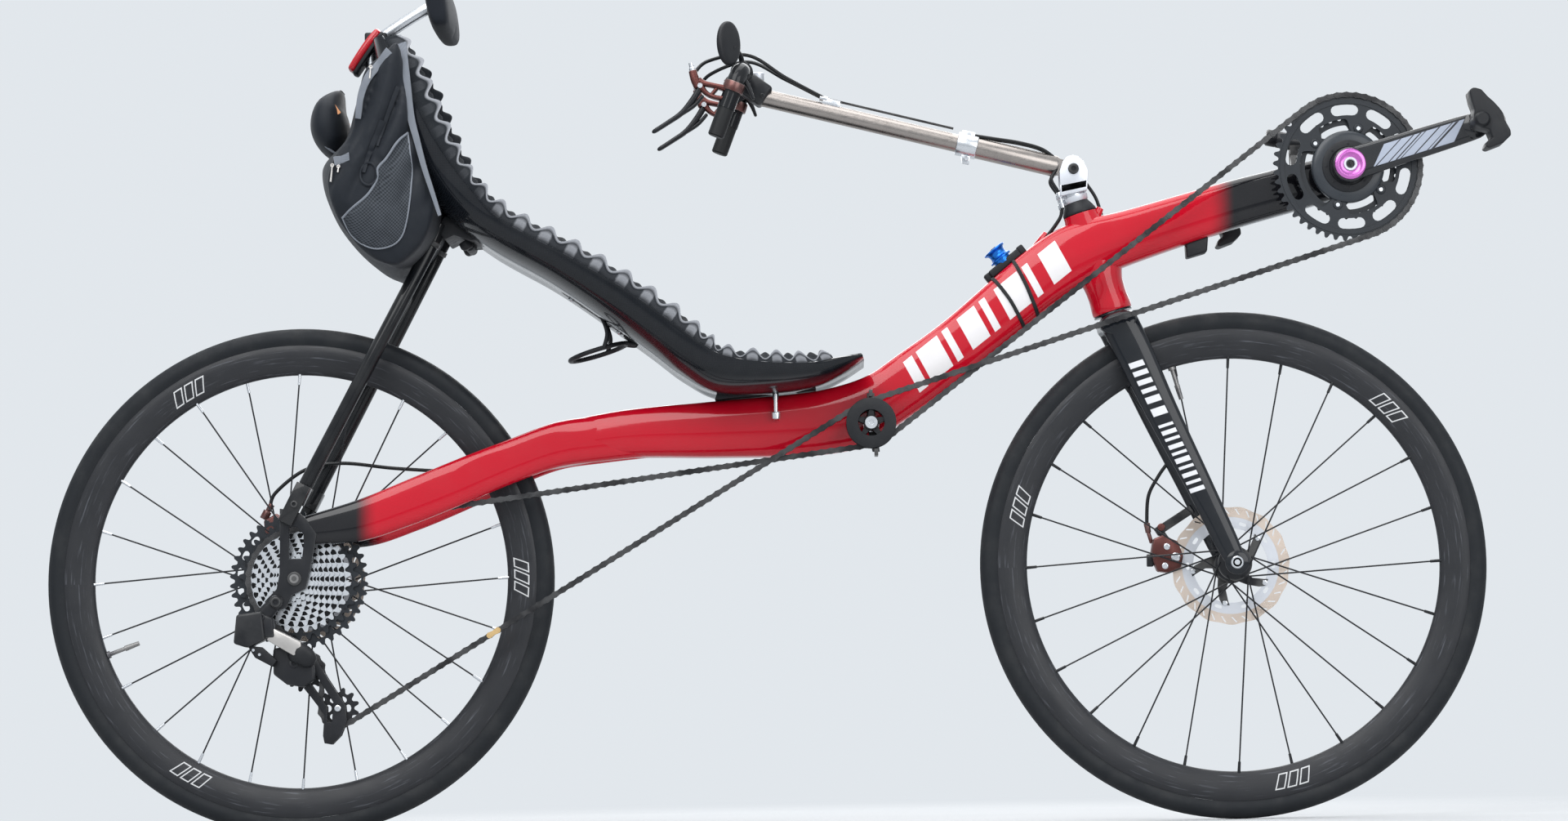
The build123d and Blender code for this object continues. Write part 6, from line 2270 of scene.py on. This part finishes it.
@dataclass
class Crankset(Assembly):
    """The arms, chainring, meter and pedals."""

    body: str = "cranks"
    arm: tuple = ((0.0, -64.5, 22.0, 8.6), (24.0, -65.0, 21.5, 8.0), (60.0, -67.0, 20.5, 6.8),
                  (120.0, -69.8, 19.5, 6.4), (160.0, -72.0, 18.5, 6.5), (175.0, -72.5, 17.5, 6.5))
    ring_y: float = -48.0
    inner_y: float = -41.0
    bolt_angles: tuple = (73.5, 143.5, 253.5, 323.5)
    bolt_radius: float = 53.5
    spider_arm: tuple = ((34, 22), (47, 13), (55, 9), (60, 5), (60, -5), (55, -9), (47, -13), (34, -22))
    pedal_side: tuple = ((-16, 38), (-13, 41.5), (-9, 42.5), (0, 40), (8, 30.5), (16, 23), (23, 15), (28, 7),
                         (30, -2), (37, -15), (37.5, -22), (27, -32), (8, -39), (3.5, -37), (6, -29), (13, -25),
                         (9, -14), (-2, -11), (-9, -7), (-11, 2), (-9.6, 13.5), (-13.5, 25))

    def arm_mesh(self, side: int) -> Mesh:
        """Make one arm.

        Args:
            side: -1 for the right arm, 1 for the left.

        Returns:
            The arm's mesh.
        """
        bm = bmesh.new()
        turn = -side
        c, s = math.cos(CRANK_ANGLE), math.sin(CRANK_ANGLE)
        rows = [(CRANK_X + turn * d * c, CRANK_Z + turn * d * s, -side * y, high, wide)
                for d, y, high, wide in self.arm]
        limb(bm, rows, power=3.2, tip=0.0, around=36, length=40)
        turned(bm, crank_spot(CRANK_LENGTH, 0.0, side * 72.5, turn), facing(side),
               [(4.8, -6.4), (16.0, -6.4), (17.4, -5.0), (17.4, 5.0), (16.0, 6.4), (4.8, 6.4)], steps=40)
        turned(bm, crank_spot(0.0, 0.0, side * 64.5, turn), facing(side),
               [(12.2, -9), (22.0, -9), (23.4, -7.5), (23.4, 6.5), (21.8, 8.4), (12.2, 8.4)], steps=48)
        return bm

    def build(self) -> None:
        """Build and dress the crankset."""
        paint = CrankPaint("crank carbon", "black_alloy", (0.008, 0.009, 0.011), (0.014, 0.015, 0.018), 0.22, 0.05,
                           specular=0.2, coat=0.8, texture=Texture.TWILL, scale=2400.0, bump=0.03)
        for side, word in SIDES:
            self.add(self.arm_mesh(side), f"crank {word}", paint, (f"crank_{word}",), angle=50.0)
        self.form("spindle", SILVER_ALLOY, rod, place(CRANK_X, CRANK_Z, -56), place(CRANK_X, CRANK_Z, 56), 11.9,
                  steps=36)
        self.chainrings()
        self.meter()
        for side, word in SIDES:
            self.pedal(side, word)

    def tab_loop(self, base: float, tip: float) -> list[Pair]:
        """Give a ring's inner outline with its four bolt tabs.

        Args:
            base: the outline's radius between the tabs.
            tip: its radius at a tab.

        Returns:
            The points as pairs of x and z.
        """
        loop = []
        for angle in range(0, 360, 2):
            away = min(abs((angle - spot + 180) % 360 - 180) for spot in self.bolt_angles)
            share = min(max((18 - away) / 9, 0.0), 1.0)
            loop.append((base + (tip - base) * share * share * (3 - 2 * share), math.radians(angle)))
        return polar_loop(CRANK_X, CRANK_Z, loop)

    def chainrings(self) -> None:
        """Build the big ring, the small ring, the arms and bolts."""
        across = facing(-1)
        bm = bmesh.new()
        holes = [self.tab_loop(64.5, 47.0), *slots(CRANK_X, CRANK_Z, 10, 69.5, 84.0, 0.24, 0.556)]
        gear(bm, CRANK_X, CRANK_Z, self.ring_y - 1.1, 48, 2.2, holes)
        turned(bm, place(CRANK_X, CRANK_Z), across, [(84.5, 47.4), (92.0, 47.4), (91.4, 50.0), (85.2, 50.0)], steps=120)
        self.add(bm, "chainring", RING_BLACK, ("chainrings",))
        self.form("inner ring", RING_BLACK, gear, CRANK_X, CRANK_Z, self.inner_y - 1.0, 33, 2.0,
                  [self.tab_loop(57.0, 47.0)])
        bm, pins = bmesh.new(), bmesh.new()
        for degrees in self.bolt_angles:
            angle = math.radians(degrees)
            outline = bar_loop(CRANK_X, CRANK_Z, angle, self.spider_arm)
            plate(bm, outline, self.inner_y - 1.4, self.ring_y + 1.4)
            at = place(*polar_loop(CRANK_X, CRANK_Z, [(self.bolt_radius, angle)])[0], self.ring_y - 1.0)
            bolt(bm, at, across, 6.4, 1.8)
            rod(bm, at, at + Vector((0, 0.009, 0)), 5.0, steps=18)
            rod(pins, at, at + Vector((0, -0.0016, 0)), 2.7, steps=18)
        soften(bm, 0.5, 40.0, 1)
        self.add(bm, "spider", RING_BLACK)
        self.add(pins, "chainring bolts", SILVER_ALLOY)

    def meter(self) -> None:
        """Build the power meter's body and the coloured cap."""
        across = facing(-1)
        centre = place(CRANK_X, CRANK_Z)
        self.form("meter body", METER_GREY, turned, centre, across,
                  [(20, 39), (47.4, 39), (48.6, 40.2), (48.6, 49.4), (47.2, 51.4), (43.0, 52.8), (36.5, 53.6),
                   (20, 53.6)], steps=96)
        bm = bmesh.new()
        turned(bm, centre, across,
               [(12, 53), (34.4, 53), (35, 53.8), (35, 55.6), (33.6, 56.4), (26, 56.4), (25, 55.2), (12, 55.2)],
               steps=80)
        for x, z in circle_loop(CRANK_X, CRANK_Z, 30, 8):
            bolt(bm, place(x, z, -56), across, 1.8, 0.8)
        self.add(bm, "meter cover", PLASTIC)
        self.form("crank cap", PINK_ALLOY, turned, centre, across,
                  [(5.8, 70), (19.0, 70), (20.6, 72), (21, 74), (20.4, 76.2), (18.6, 77.4), (15.6, 77.2), (13.6, 75),
                   (10.4, 74.4), (5.8, 74.4)], steps=56)
        self.form("crank cap ring", PALE_ALLOY, turned, centre, across,
                  [(5.6, 72), (9.0, 72), (9.4, 76), (8.4, 77.2), (6.6, 77.2), (5.6, 76)], steps=40)
        self.screws("crank bolt", BLACK_ALLOY, across, [(CRANK_X, CRANK_Z, -71, 5.4, 2.4)])

    def pedal(self, side: int, word: str) -> None:
        """Build one pedal.

        Args:
            side: -1 for the right pedal, 1 for the left.
            word: its side in words.
        """
        rides = Assembly(f"{word}_pedal")
        axis = crank_spot(CRANK_LENGTH, 0.0, 0.0, -side)
        x, z = axis.x / MM + SEAT_X, axis.z / MM + SEAT_Z
        rides.form(f"pedal axle {word}", SILVER_ALLOY, turned, place(x, z), facing(side),
                   [(0, 66), (4.4, 66), (4.4, 79), (8.6, 80), (8.6, 84), (9, 86), (9, 91), (0, 93)], steps=36,
                   ring=False)
        bm = bmesh.new()
        plate(bm, [(x + a, z + b) for a, b in self.pedal_side], side * 96, side * 134)
        soften(bm, 2.6, 24.0, 3)
        turned(bm, place(x, z), facing(side),
               [(0, 90), (9.4, 90), (10.4, 92), (11.4, 100), (11.4, 130), (10, 137), (7.4, 139.4), (0, 139.4)],
               steps=36, ring=False)
        rides.add(bm, f"pedal {word}", PLASTIC, (f"pedal_{word}",))
        rides.form(f"pedal cover {word}", GREY_ALLOY, plate,
                   [(x + a, z + b) for a, b in ((24, 12), (26.5, 13), (31.6, 2), (33, -6), (30.6, -6), (29, 0))],
                   side * 103, side * 127)


@dataclass
class Idler(Assembly):
    """The chain idler and its bracket."""

    body: str = "idler_wheel"

    def build(self) -> None:
        """Build and dress the idler."""
        across = facing(-1)
        centre = place(IDLER_X, IDLER_Z)
        bm = bmesh.new()
        turned(bm, centre, across,
               [(17.5, 39.5), (33.2, 39.5), (33.6, 40.2), (33.0, 40.9), (23.4, 41.4), (23.4, 48.6), (33.0, 49.2),
                (33.4, 49.8), (33.0, 50.4), (23.4, 51.0), (23.4, 58.8), (33.0, 59.4), (33.6, 60.0), (33.2, 60.6),
                (17.5, 60.6)], steps=72)
        for step in range(5):
            spoke = ((8, 4.5), (18.5, 3.0), (18.5, -3.0), (8, -4.5))
            plate(bm, bar_loop(IDLER_X, IDLER_Z, math.tau * step / 5 + 0.3, spoke), -42, -58)
        turned(bm, centre, across, [(4.2, 40), (10, 40), (10, 60), (4.2, 60)], steps=36)
        soften(bm, 0.5, 40.0, 1)
        self.add(bm, "idler", PLASTIC, ("idler",))
        fixed = Assembly("frame")
        fixed.form("idler bolt", SILVER_ALLOY, turned, centre, across,
                   [(0, 28), (11, 28), (11, 36), (9, 38.4), (4, 38.4), (4, 61.4), (9, 61.4), (9.2, 62.4), (8.2, 64),
                    (3.4, 64), (3, 62.4), (0, 62.4)], steps=36, ring=False, nodes=("idler_bracket",))
        bm = bmesh.new()
        for side in (-1, 1):
            x, z = IDLER_X + 3 * (1 - side), IDLER_Z + side * 39.5
            plate(bm, ((IDLER_X - 6, IDLER_Z), (x - 5, z + 2), (x + 5, z + 2), (IDLER_X + 6, IDLER_Z)), -33, -36)
            block(bm, place(x, z, -33), place(x, z, -61), 5, 9)
        soften(bm, 0.8)
        fixed.add(bm, "idler guard", BLACK_ALLOY)


# ------------------------------------------------------------------ steering and hand controls
PIVOT = (1046.0, 875.2)
TILLER_JOIN = (903.8, 911.7)
TILLER_END = (622.8, 983.9)


@dataclass
class Tiller(Assembly):
    """The tiller's outer tube on its pivot."""

    body: str = "tiller"

    def build(self) -> None:
        """Build and dress the outer tube, clamp and housings."""
        pivot, join = place(*PIVOT), place(*TILLER_JOIN)
        slope = (join - pivot).normalized()
        length = (join - pivot).length / MM
        bm = bmesh.new()
        turned(bm, pivot, slope, [(0, 20), (12.0, 20), (14.3, 24), (14.3, length), (12.6, length), (12.6, length - 2)],
               steps=48, ring=False)
        turned(bm, pivot, facing(1), [(4.1, -13.6), (11.4, -13.6), (12, -13), (12, 13), (11.4, 13.6), (4.1, 13.6)],
               steps=40)
        block(bm, pivot + slope * 0.008, pivot + slope * 0.026, 22, 20)
        self.add(bm, "tiller outer tube", TITANIUM, ("tiller_outer",))
        self.form("pivot bolt", BLACK_ALLOY, turned, pivot, facing(-1),
                  [(0, -21), (4, -21), (4, 19), (7.4, 19.2), (7.4, 21), (6.4, 22.8), (3, 22.8), (2.6, 21.4),
                   (0, 21.4)], steps=28, ring=False)
        bm = bmesh.new()
        turned(bm, join, -slope, [(12.4, -14), (15.6, -14), (16, -13), (16, 13), (15.6, 14), (12.4, 14)], steps=48)
        plate(bm, ((908, 900), (895, 903), (897, 888), (906, 886)), -7, 7)
        soften(bm, 0.9, 40.0)
        bolt(bm, place(902, 893, -7), facing(-1), 3.4, 2.6)
        self.add(bm, "tiller clamp", SILVER_ALLOY, ("tiller_clamp",))
        self.form("housing ferrule", SILVER_ALLOY, block, place(897, 928), place(915, 924), 15, 9, edge=(1.4,))
        for side, word in SIDES:
            y = side * 4.6
            self.form(f"housing {word}", HOSE, hose,
                      [place(911, 925, y), place(940, 920, y), place(974, 914, y), place(1004, 905, y),
                       place(1024, 890, y * 1.2)], 2.4, 50)
            piece = self.form(f"pivot hose {word}", HOSE, hose,
                              [place(1024, 890, y * 1.2), place(1023, 876, y * 2.2), place(1016, 862, y * 3.2),
                               place(1024, 847, y * 2.6), place(1027, 842, y * 2.2)], 2.4, 40)
            self.cross(piece, "tiller", "fork_body", place(1024, 888), place(1024, 850))
            adjuster = self.form(f"hose adjuster {word}", SILVER_ALLOY, turned, place(1026, 845, y * 2.2),
                                 place(1031, 822, y * 2.0) - place(1026, 845, y * 2.2),
                                 [(0, 0), (3.2, 0), (4.2, 2), (4.2, 8), (3.0, 9), (3.0, 15), (4.0, 16), (4.0, 22),
                                  (0, 23)], steps=20, ring=False)
            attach(adjuster, "fork_body")
            piece = self.form(f"port hose {word}", HOSE, hose,
                              [place(1030.5, 824, y * 2.0), place(1028, 812, y * 1.8), place(1018, 797, y * 1.4),
                               place(1006, 782, y)], 2.4, 40)
            self.cross(piece, "fork_body", "frame", place(1030, 822), place(1012, 790))
        piece = self.form("head hose", HOSE, hose,
                          [place(1058, 866, 8), place(1066, 856, 9), place(1077, 838, 8), place(1084, 815, 6)], 2.4,
                          40)
        self.cross(piece, "fork_body", "frame", place(1064, 858), place(1082, 822))

    @staticmethod
    def cross(piece: bpy.types.Object, first: str, second: str, start: Vector, end: Vector) -> None:
        """Take a hose off its body and bake its place into its mesh.

        Args:
            piece: the hose.
            first: the body at its start; not used.
            second: the body at its end; not used.
            start: where it leaves the first body; not used.
            end: where it meets the second body; not used.
        """
        piece.parent = None
        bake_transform(piece)


@dataclass
class Handlebar(Assembly):
    """The handlebar with its inner tube, levers, mirror and cables."""

    body: str = "handlebar_set"
    grip_half: float = 80.0
    grip_top: Pair = (596.0, 996.0)
    grip_end: Pair = (566.4, 918.3)
    crossbar: Pair = (602.0, 1008.0)
    crossbar_half: float = 64.0
    mirror_half: tuple = (22, 30)

    def build(self) -> None:
        """Build and dress the hand controls."""
        join, tip = place(*TILLER_JOIN), place(*TILLER_END)
        slope = (tip - join).normalized()
        self.form("tiller inner tube", TITANIUM, turned, join, slope,
                  [(10.7, -62), (12.1, -62), (12.1, (tip - join).length / MM), (10.7, (tip - join).length / MM)],
                  steps=48, nodes=("tiller_inner",))
        self.bar(tip, slope)
        for side, word in SIDES:
            self.lever(side, word)
        self.mirror()
        self.cables()

    def bar(self, tip: Vector, slope: Vector) -> None:
        """Build the bar, its sleeves and the stem block.

        Args:
            tip: the tiller's upper end.
            slope: the tiller's direction.
        """
        bm = bmesh.new()
        g = self.grip_half
        bare = 40.0 / math.hypot(self.grip_top[0] - self.grip_end[0], self.grip_top[1] - self.grip_end[1])
        low = [e + (t - e) * bare for e, t in zip(self.grip_end, self.grip_top)]
        half_way = [(e + t) / 2 for e, t in zip(low, self.grip_top)]
        half_bar = ((low, g), (half_way, g), (self.grip_top, g), (self.crossbar, self.crossbar_half))
        hose(bm, [place(*spot, -y) for spot, y in half_bar] + [place(*self.crossbar, 0.0)]
             + [place(*spot, y) for spot, y in reversed(half_bar)], 11.9, 96, 28)
        self.add(bm, "handlebar", STAY_CARBON, ("handlebar",))
        bm = bmesh.new()
        for side in (-1, 1):
            start, end = place(*low, side * g), place(*self.grip_end, side * g)
            way = (start - end).normalized()
            turned(bm, end, way, [(0, 0), (9.6, 0), (11.1, 1.6), (11.1, 41), (0, 41)], steps=36, ring=False)
        self.add(bm, "bare ends", RUBBER)
        bm = bmesh.new()
        block(bm, tip - slope * 0.012, place(606, 1002), 32, 32)
        soften(bm, 5.0, segments=3)
        for side in (-1, 1):
            for along in (0.0, 1.0):
                spot = (tip - slope * 0.006).lerp(place(610, 998), along)
                bolt(bm, spot + Vector((0, side * 0.016, 0)), facing(side), 3.4, 1.6)
        self.add(bm, "stem block", BLACK_ALLOY)
        self.form("stem cap", PALE_ALLOY, turned, place(622, 1006), Vector((0.0, 0, 1)),
                  [(0, 0), (9, 0), (9.5, 1), (9.5, 9), (8.5, 10), (0, 10)], steps=36, ring=False)

    def lever(self, side: int, word: str) -> None:
        """Build one brake and shift lever.

        Args:
            side: -1 for the right lever, 1 for the left.
            word: its side in words.
        """
        y = side * self.grip_half
        bm = bmesh.new()
        limb(bm, ((586, 981, y, 5, 8.5), (568, 986, y, 3.6, 8), (552, 990, y, 4, 7), (544, 994, y, 6, 6.5)), power=3.0)
        limb(bm, ((586, 969, y, 4, 8), (570, 970, y, 3.2, 8), (556, 976, y, 3.4, 7), (546, 988, y, 5, 6.5)), power=3.0)
        limb(bm, ((572, 986, y, 2.6, 6), (565, 978, y, 2.6, 6), (560, 972, y, 2.6, 6)), power=3.0)
        limb(bm, ((545, 984, y, 6, 7), (540, 996, y, 6, 6.5), (537, 1008, y, 5.4, 5.6)), power=3.0)
        self.add(bm, f"lever body {word}", BRONZE, (f"lever_{word}",))
        bm = bmesh.new()
        limb(bm, ((549, 988, y, 4.5, 5), (538, 970, y, 4.2, 5.5), (522, 951, y, 3.6, 5.5), (503, 938, y, 3.2, 5.2),
                  (482, 925, y, 3.0, 4.6)), power=2.6)
        limb(bm, ((551, 974, y, 2.4, 4.5), (538, 960, y, 2.6, 4.5), (521, 949, y, 2.6, 4.5)), power=2.6)
        self.add(bm, f"lever blade {word}", BLACK_ALLOY)
        bm = bmesh.new()
        turned(bm, place(547, 986, y), facing(side), [(0, -9.5), (3.4, -9.5), (3.4, 9.5), (0, 9.5)], steps=24,
               ring=False)
        turned(bm, place(537, 1007, y), Vector((-0.2, 0, 1)),
               [(0, 0), (4.2, 0), (4.2, 4), (3.2, 5), (3.2, 11), (0, 11)], steps=20, ring=False)
        self.add(bm, f"lever screws {word}", SILVER_ALLOY)
        bm = bmesh.new()
        block(bm, place(588, 992, y - side * 4), place(606, 1004, y - side * 18), 22, 17)
        turned(bm, place(598, 1004, y - side * 10), facing(side), [(0, -8), (9, -8), (10, -6), (10, 6), (9, 8), (0, 8)],
               steps=28, ring=False)
        limb(bm, ((604, 998, y - side * 10, 4, 6), (612, 984, y - side * 9, 3, 7), (618, 968, y - side * 8, 2, 6)),
             power=3.0)
        soften(bm, 1.6, 40.0)
        self.add(bm, f"shifter {word}", PLASTIC)
        self.form(f"lever band {word}", BRONZE, turned, place(591.5, 984.2, y), Vector((0.356, 0, 0.934)),
                  [(12.1, -6.5), (14.2, -6.5), (14.6, -5.5), (14.6, 5.5), (14.2, 6.5), (12.1, 6.5)], steps=40)

    def mirror(self) -> None:
        """Build the mirror on its stalk."""
        bm = bmesh.new()
        look = Vector((-0.77, 0.62, 0)).normalized()
        side = Vector((0.62, 0.77, 0)).normalized()
        centre = place(590, 1043, -86)

        def disc(u: float, share: float, deep: float) -> Vector:
            """Give a point at a share of the oval's size and a depth in millimetres."""
            return (centre + side * self.mirror_half[0] * MM * share * math.cos(math.tau * u)
                    + Vector((0, 0, self.mirror_half[1] * MM * share * math.sin(math.tau * u))) + look * deep * MM)

        def spot(u: float, v: float) -> Vector:
            """Give a point on the mirror's shell."""
            deep, share = blend_rows(((8.0, 0.86), (8.0, 0.98), (5.0, 1.0), (2.0, 0.94), (0.4, 0.7), (0.0, 0.3)), v)
            return disc(u, share, deep)

        surface(bm, 48, 20, spot)
        hose(bm, [place(602, 1012, -50), place(602, 1026, -50), place(598, 1034, -62), place(591, 1038, -81)], 3.6,
             30, 14)
        self.add(bm, "mirror shell", PLASTIC, ("mirror",))
        bm = bmesh.new()

        def face(u: float, v: float) -> Vector:
            """Give a point on the mirror's glass."""
            share = 0.85 * (1 - v) + 0.001
            return disc(u, share, 8.1 + 0.25 * (1 - share))

        surface(bm, 48, 6, face, capped=False)
        self.add(bm, "mirror glass", LENS)
        self.form("mirror band", PLASTIC, turned, place(*self.crossbar, -50), facing(1),
                  [(12.2, -6), (15, -6), (15.4, -5), (15.4, 5), (15, 6), (12.2, 6)], steps=40)

    def cables(self) -> None:
        """Build the housings, the stop and the two bare wires."""
        bm = bmesh.new()
        for side in (-1, 1):
            y = 4.5 * side
            hose(bm,
                 [place(536, 1000, y * 16), place(556, 1024, y * 12), place(610, 1036, y * 6),
                  place(660, 1008, y * 2), place(712, 979.5, y)], 2.5, 48)
        self.add(bm, "housings", HOSE, ("tiller_cables",))
        bm = bmesh.new()
        block(bm, place(710, 976), place(733, 970), 13, 10)
        soften(bm, 1.4)
        for side in (-1, 1):
            rod(bm, place(706, 980.4, 4.5 * side), place(716, 978, 4.5 * side), 3.2, steps=16)
        self.add(bm, "cable stop", SILVER_ALLOY)
        bm = bmesh.new()
        for side in (-1, 1):
            rod(bm, place(716, 979, 4.5 * side), place(886, 935.4, 4.5 * side), 1.0, steps=8)
        self.add(bm, "bare wires", CHAIN_STEEL)


@dataclass
class FrameFittings(Assembly):
    """The front lamp, the box under the boom and the blue spool."""

    straps: Pair = (932.0, 962.0)
    strap_lean: float = 48.0

    def build(self) -> None:
        """Build and dress the fittings."""
        bm = bmesh.new()
        low, high = place(1312, 922, 40), place(1418, 899, 40)
        way = (high - low).normalized()
        long = (high - low).length / MM
        turned(bm, low, way,
               [(0, 0), (9.5, 0), (11.4, 2), (11.4, 14), (10.8, 15), (11.4, 16), (11.4, long - 16), (12, long - 14),
                (12, long - 1), (10.8, long), (10.2, long - 3), (0, long - 3)], steps=40, ring=False)
        block(bm, place(1352, 908, 30), place(1352, 872, 30), 12, 18)
        block(bm, place(1352, 875, 20), place(1352, 903, 38), 14, 18)
        self.add(bm, "front lamp", BLACK_ALLOY, ("front_lamp",))
        self.form("front lens", LENS, turned, high - way * 0.0029, way, [(0, 1.2), (5, 1.0), (10.0, 0)], steps=36,
                  ring=False)
        self.form("boom box", PLASTIC, plate, ((1195, 772), (1226, 782), (1224, 760), (1196, 752)), -12.6, 12.6,
                  nodes=("boom_box",), edge=(3.0, 30.0, 3))
        bm = bmesh.new()
        foot, top = place(950.9, 752.0), place(936.6, 770.0)
        turned(bm, foot, top - foot,
               [(4, 0), (12, 0), (12.4, 5.8), (16, 6.4), (16, 8.2), (13, 9.6), (11.6, 12), (11.6, 16.5), (13, 19),
                (16, 20.6), (16, 22.4), (14.8, 23), (4, 23)], steps=56)
        self.add(bm, "blue spool", BLUE_ALLOY, ("spool_mount",))
        bm = bmesh.new()
        block(bm, place(931.8, 733.9), place(971.2, 765.3), 23, 11)
        for x, z in ((930, 731), (974, 768)):
            block(bm, place(x - 4, z - 3), place(x + 4, z + 3), 15, 13)
        soften(bm, 2.2, segments=3)
        turned(bm, top - (top - foot) * 0.2, top - foot, [(0, 0), (4.4, 0), (4.4, 6.0), (0, 6.0)], steps=20, ring=False)
        self.add(bm, "spool base", PLASTIC)
        bm = bmesh.new()
        for x in self.straps:
            loop, looks = [], []
            for index in range(len(MainBeam.section) + 1):
                side, up = blend_rows(MainBeam.section, index / len(MainBeam.section), ring=True)
                away = (1.0 - up) * self.strap_lean
                share = (x + away - MainBeam.beam[7][0]) / (MainBeam.beam[8][0] - MainBeam.beam[7][0])
                spot = blend_rows(MainBeam.beam, (7.0 + share) / (len(MainBeam.beam) - 1))
                look = Vector((-0.6 * (up - 0.5), side, up - 0.5)).normalized()
                loop.append(place(spot[0], spot[1] + (spot[2] - spot[1]) * up, spot[3] * side) + look * 0.4 * MM)
                looks.append(look)
            strap(bm, loop, looks, 5.0, 1.6, 96)
        self.add(bm, "spool straps", RUBBER, angle=60.0)


@dataclass
class Studio:
    """A pale floor, soft lamps and the camera."""

    floor_z: float = -0.620
    camera_spot: tuple = (0.098, -5.470, -0.518)
    pitch: float = 4.8
    roll: float = -1.036
    lens: float = 93.69
    shift: Pair = (-0.032, -0.0026)
    backdrop: tuple = (0.76, 0.8, 0.84, 1.0)
    floor_fade: Pair = (1.1, 2.6)
    floor_half: float = 9.0
    floor_dark: Colour = (0.5, 0.51, 0.52)
    floor_pale: Colour = (0.56, 0.57, 0.58)
    sky: tuple = (0.8, 0.9, 1.0, 1.0)
    sky_strength: float = 0.42
    sensor: float = 36.0
    # Name, place, point that it lights, width in metres and watts.
    lamps: tuple = (
        ("key", (-1.2, -3.2, 3.0), (0.1, 0.0, 0.1), 3.2, 130.0),
        ("fill", (2.6, -3.4, 1.2), (0.2, 0.0, 0.0), 2.6, 55.0),
        ("top", (0.0, 0.3, 3.2), (0.0, 0.0, 0.0), 3.6, 110.0),
        ("rim", (0.4, 3.2, 1.8), (0.1, 0.0, 0.2), 2.6, 60.0))

    def build(self) -> None:
        """Build the floor, light and camera."""
        self.world()
        self.floor()
        for name, spot, goal, size, power in self.lamps:
            self.lamp(name, Vector(spot), Vector(goal), size, power)
        data = bpy.data.cameras.new("camera")
        data.lens, data.sensor_width = self.lens, self.sensor
        data.shift_x, data.shift_y = self.shift
        camera = bpy.data.objects.new("camera", data)
        bpy.context.scene.collection.objects.link(camera)
        turn = Matrix.Rotation(math.radians(90 + self.pitch), 4, "X") @ Matrix.Rotation(math.radians(self.roll), 4, "Z")
        camera.matrix_world = Matrix.Translation(self.camera_spot) @ turn
        bpy.context.scene.camera = camera
        bpy.context.scene.view_settings.view_transform = "Standard"

    def world(self) -> None:
        """Make the plain world light, pale where the camera, metal and glass see it."""
        world = bpy.data.worlds.new("studio")
        bpy.context.scene.world = world
        world.use_nodes = True
        s = Shader(world.node_tree)
        result = s.node("ShaderNodeOutputWorld")
        light, shown = s.node("ShaderNodeBackground"), s.node("ShaderNodeBackground")
        light.inputs["Color"].default_value = self.sky
        light.inputs["Strength"].default_value = self.sky_strength
        shown.inputs["Color"].default_value = self.backdrop
        path = s.node("ShaderNodeLightPath")
        seen = s.maths("MAXIMUM", path.outputs["Is Camera Ray"], path.outputs["Is Glossy Ray"])
        seen = s.maths("MAXIMUM", seen, path.outputs["Is Transmission Ray"])
        s.blend(seen, light, shown, result.inputs["Surface"])

    def floor(self) -> None:
        """Make the floor."""
        bm = bmesh.new()
        level = Matrix.Translation((0, 0, self.floor_z))
        bmesh.ops.create_grid(bm, x_segments=8, y_segments=8, size=self.floor_half, matrix=level)
        mesh = bpy.data.meshes.new("floor")
        bm.to_mesh(mesh)
        bm.free()
        floor = bpy.data.objects.new("floor", mesh)
        bpy.context.scene.collection.objects.link(floor)
        material = bpy.data.materials.new("pale floor")
        material.use_nodes = True
        s = Shader(material.node_tree)
        result = s.node("ShaderNodeOutputMaterial")
        shader = s.node("ShaderNodeBsdfPrincipled")
        s.link(s.mix(s.noise(s.spot(), 3.0), self.floor_dark, self.floor_pale), shader.inputs["Base Color"])
        shader.inputs["Roughness"].default_value = 0.7
        shown = s.node("ShaderNodeEmission")
        shown.inputs["Color"].default_value = self.backdrop
        away = s.node("ShaderNodeVectorMath", operation="LENGTH")
        s.link(s.spot(), away.inputs[0])
        path = s.node("ShaderNodeLightPath")
        far = s.maths("MULTIPLY", s.ramp(away.outputs["Value"], *self.floor_fade), path.outputs["Is Camera Ray"])
        s.blend(far, shader, shown, result.inputs["Surface"])
        mesh.materials.append(material)

    def lamp(self, name: str, spot: Vector, goal: Vector, size: float, power: float) -> None:
        """Add one soft square lamp that looks at a point.

        Args:
            name: its name.
            spot: where it stands.
            goal: the point that it lights.
            size: metres across.
            power: watts.
        """
        data = bpy.data.lights.new(name, "AREA")
        data.shape, data.size, data.energy = "SQUARE", size, power
        lamp = bpy.data.objects.new(name, data)
        bpy.context.scene.collection.objects.link(lamp)
        lamp.location = spot
        lamp.rotation_euler = (goal - spot).to_track_quat("-Z", "Y").to_euler()


def main() -> None:
    """Build every assembly in order."""
    logging.basicConfig(level=logging.INFO, format="%(message)s")
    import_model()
    rims = {word: RimPaint(f"{word} rim", "satin_carbon", (0.018, 0.019, 0.022), (0.03, 0.031, 0.035), 0.42, 0.08,
                           scale=700.0, centre_x=x, first_mark=math.radians(turn))
            for word, x, turn in (("front", WHEELBASE, 44), ("rear", 0.0, 0))}
    front = Wheel("front_wheel", rim_finish=rims["front"], valve_turn=math.radians(106))
    rear = Wheel("rear_wheel", "rear", x=0.0, flange=26.0, flange_right=-15.0, flange_left=24.0, hub_right=-19.0,
                 hub_left=62.0, rotor_y=50.0, rim_finish=rims["rear"], valve_turn=math.radians(200),
                 nipples=SILVER_ALLOY)
    for assembly in (MainBeam(), RearEnd(), Seat(), Headrest(), Bag(), BottleCage(), Fork(), front, rear, Chain(),
                     Cassette(), Derailleur(), Brakes(), Crankset(), Idler(), Tiller(), Handlebar(), FrameFittings(),
                     Studio()):
        LOG.info("building %s", type(assembly).__name__)
        assembly.build()


if __name__ == "__main__":
    main()
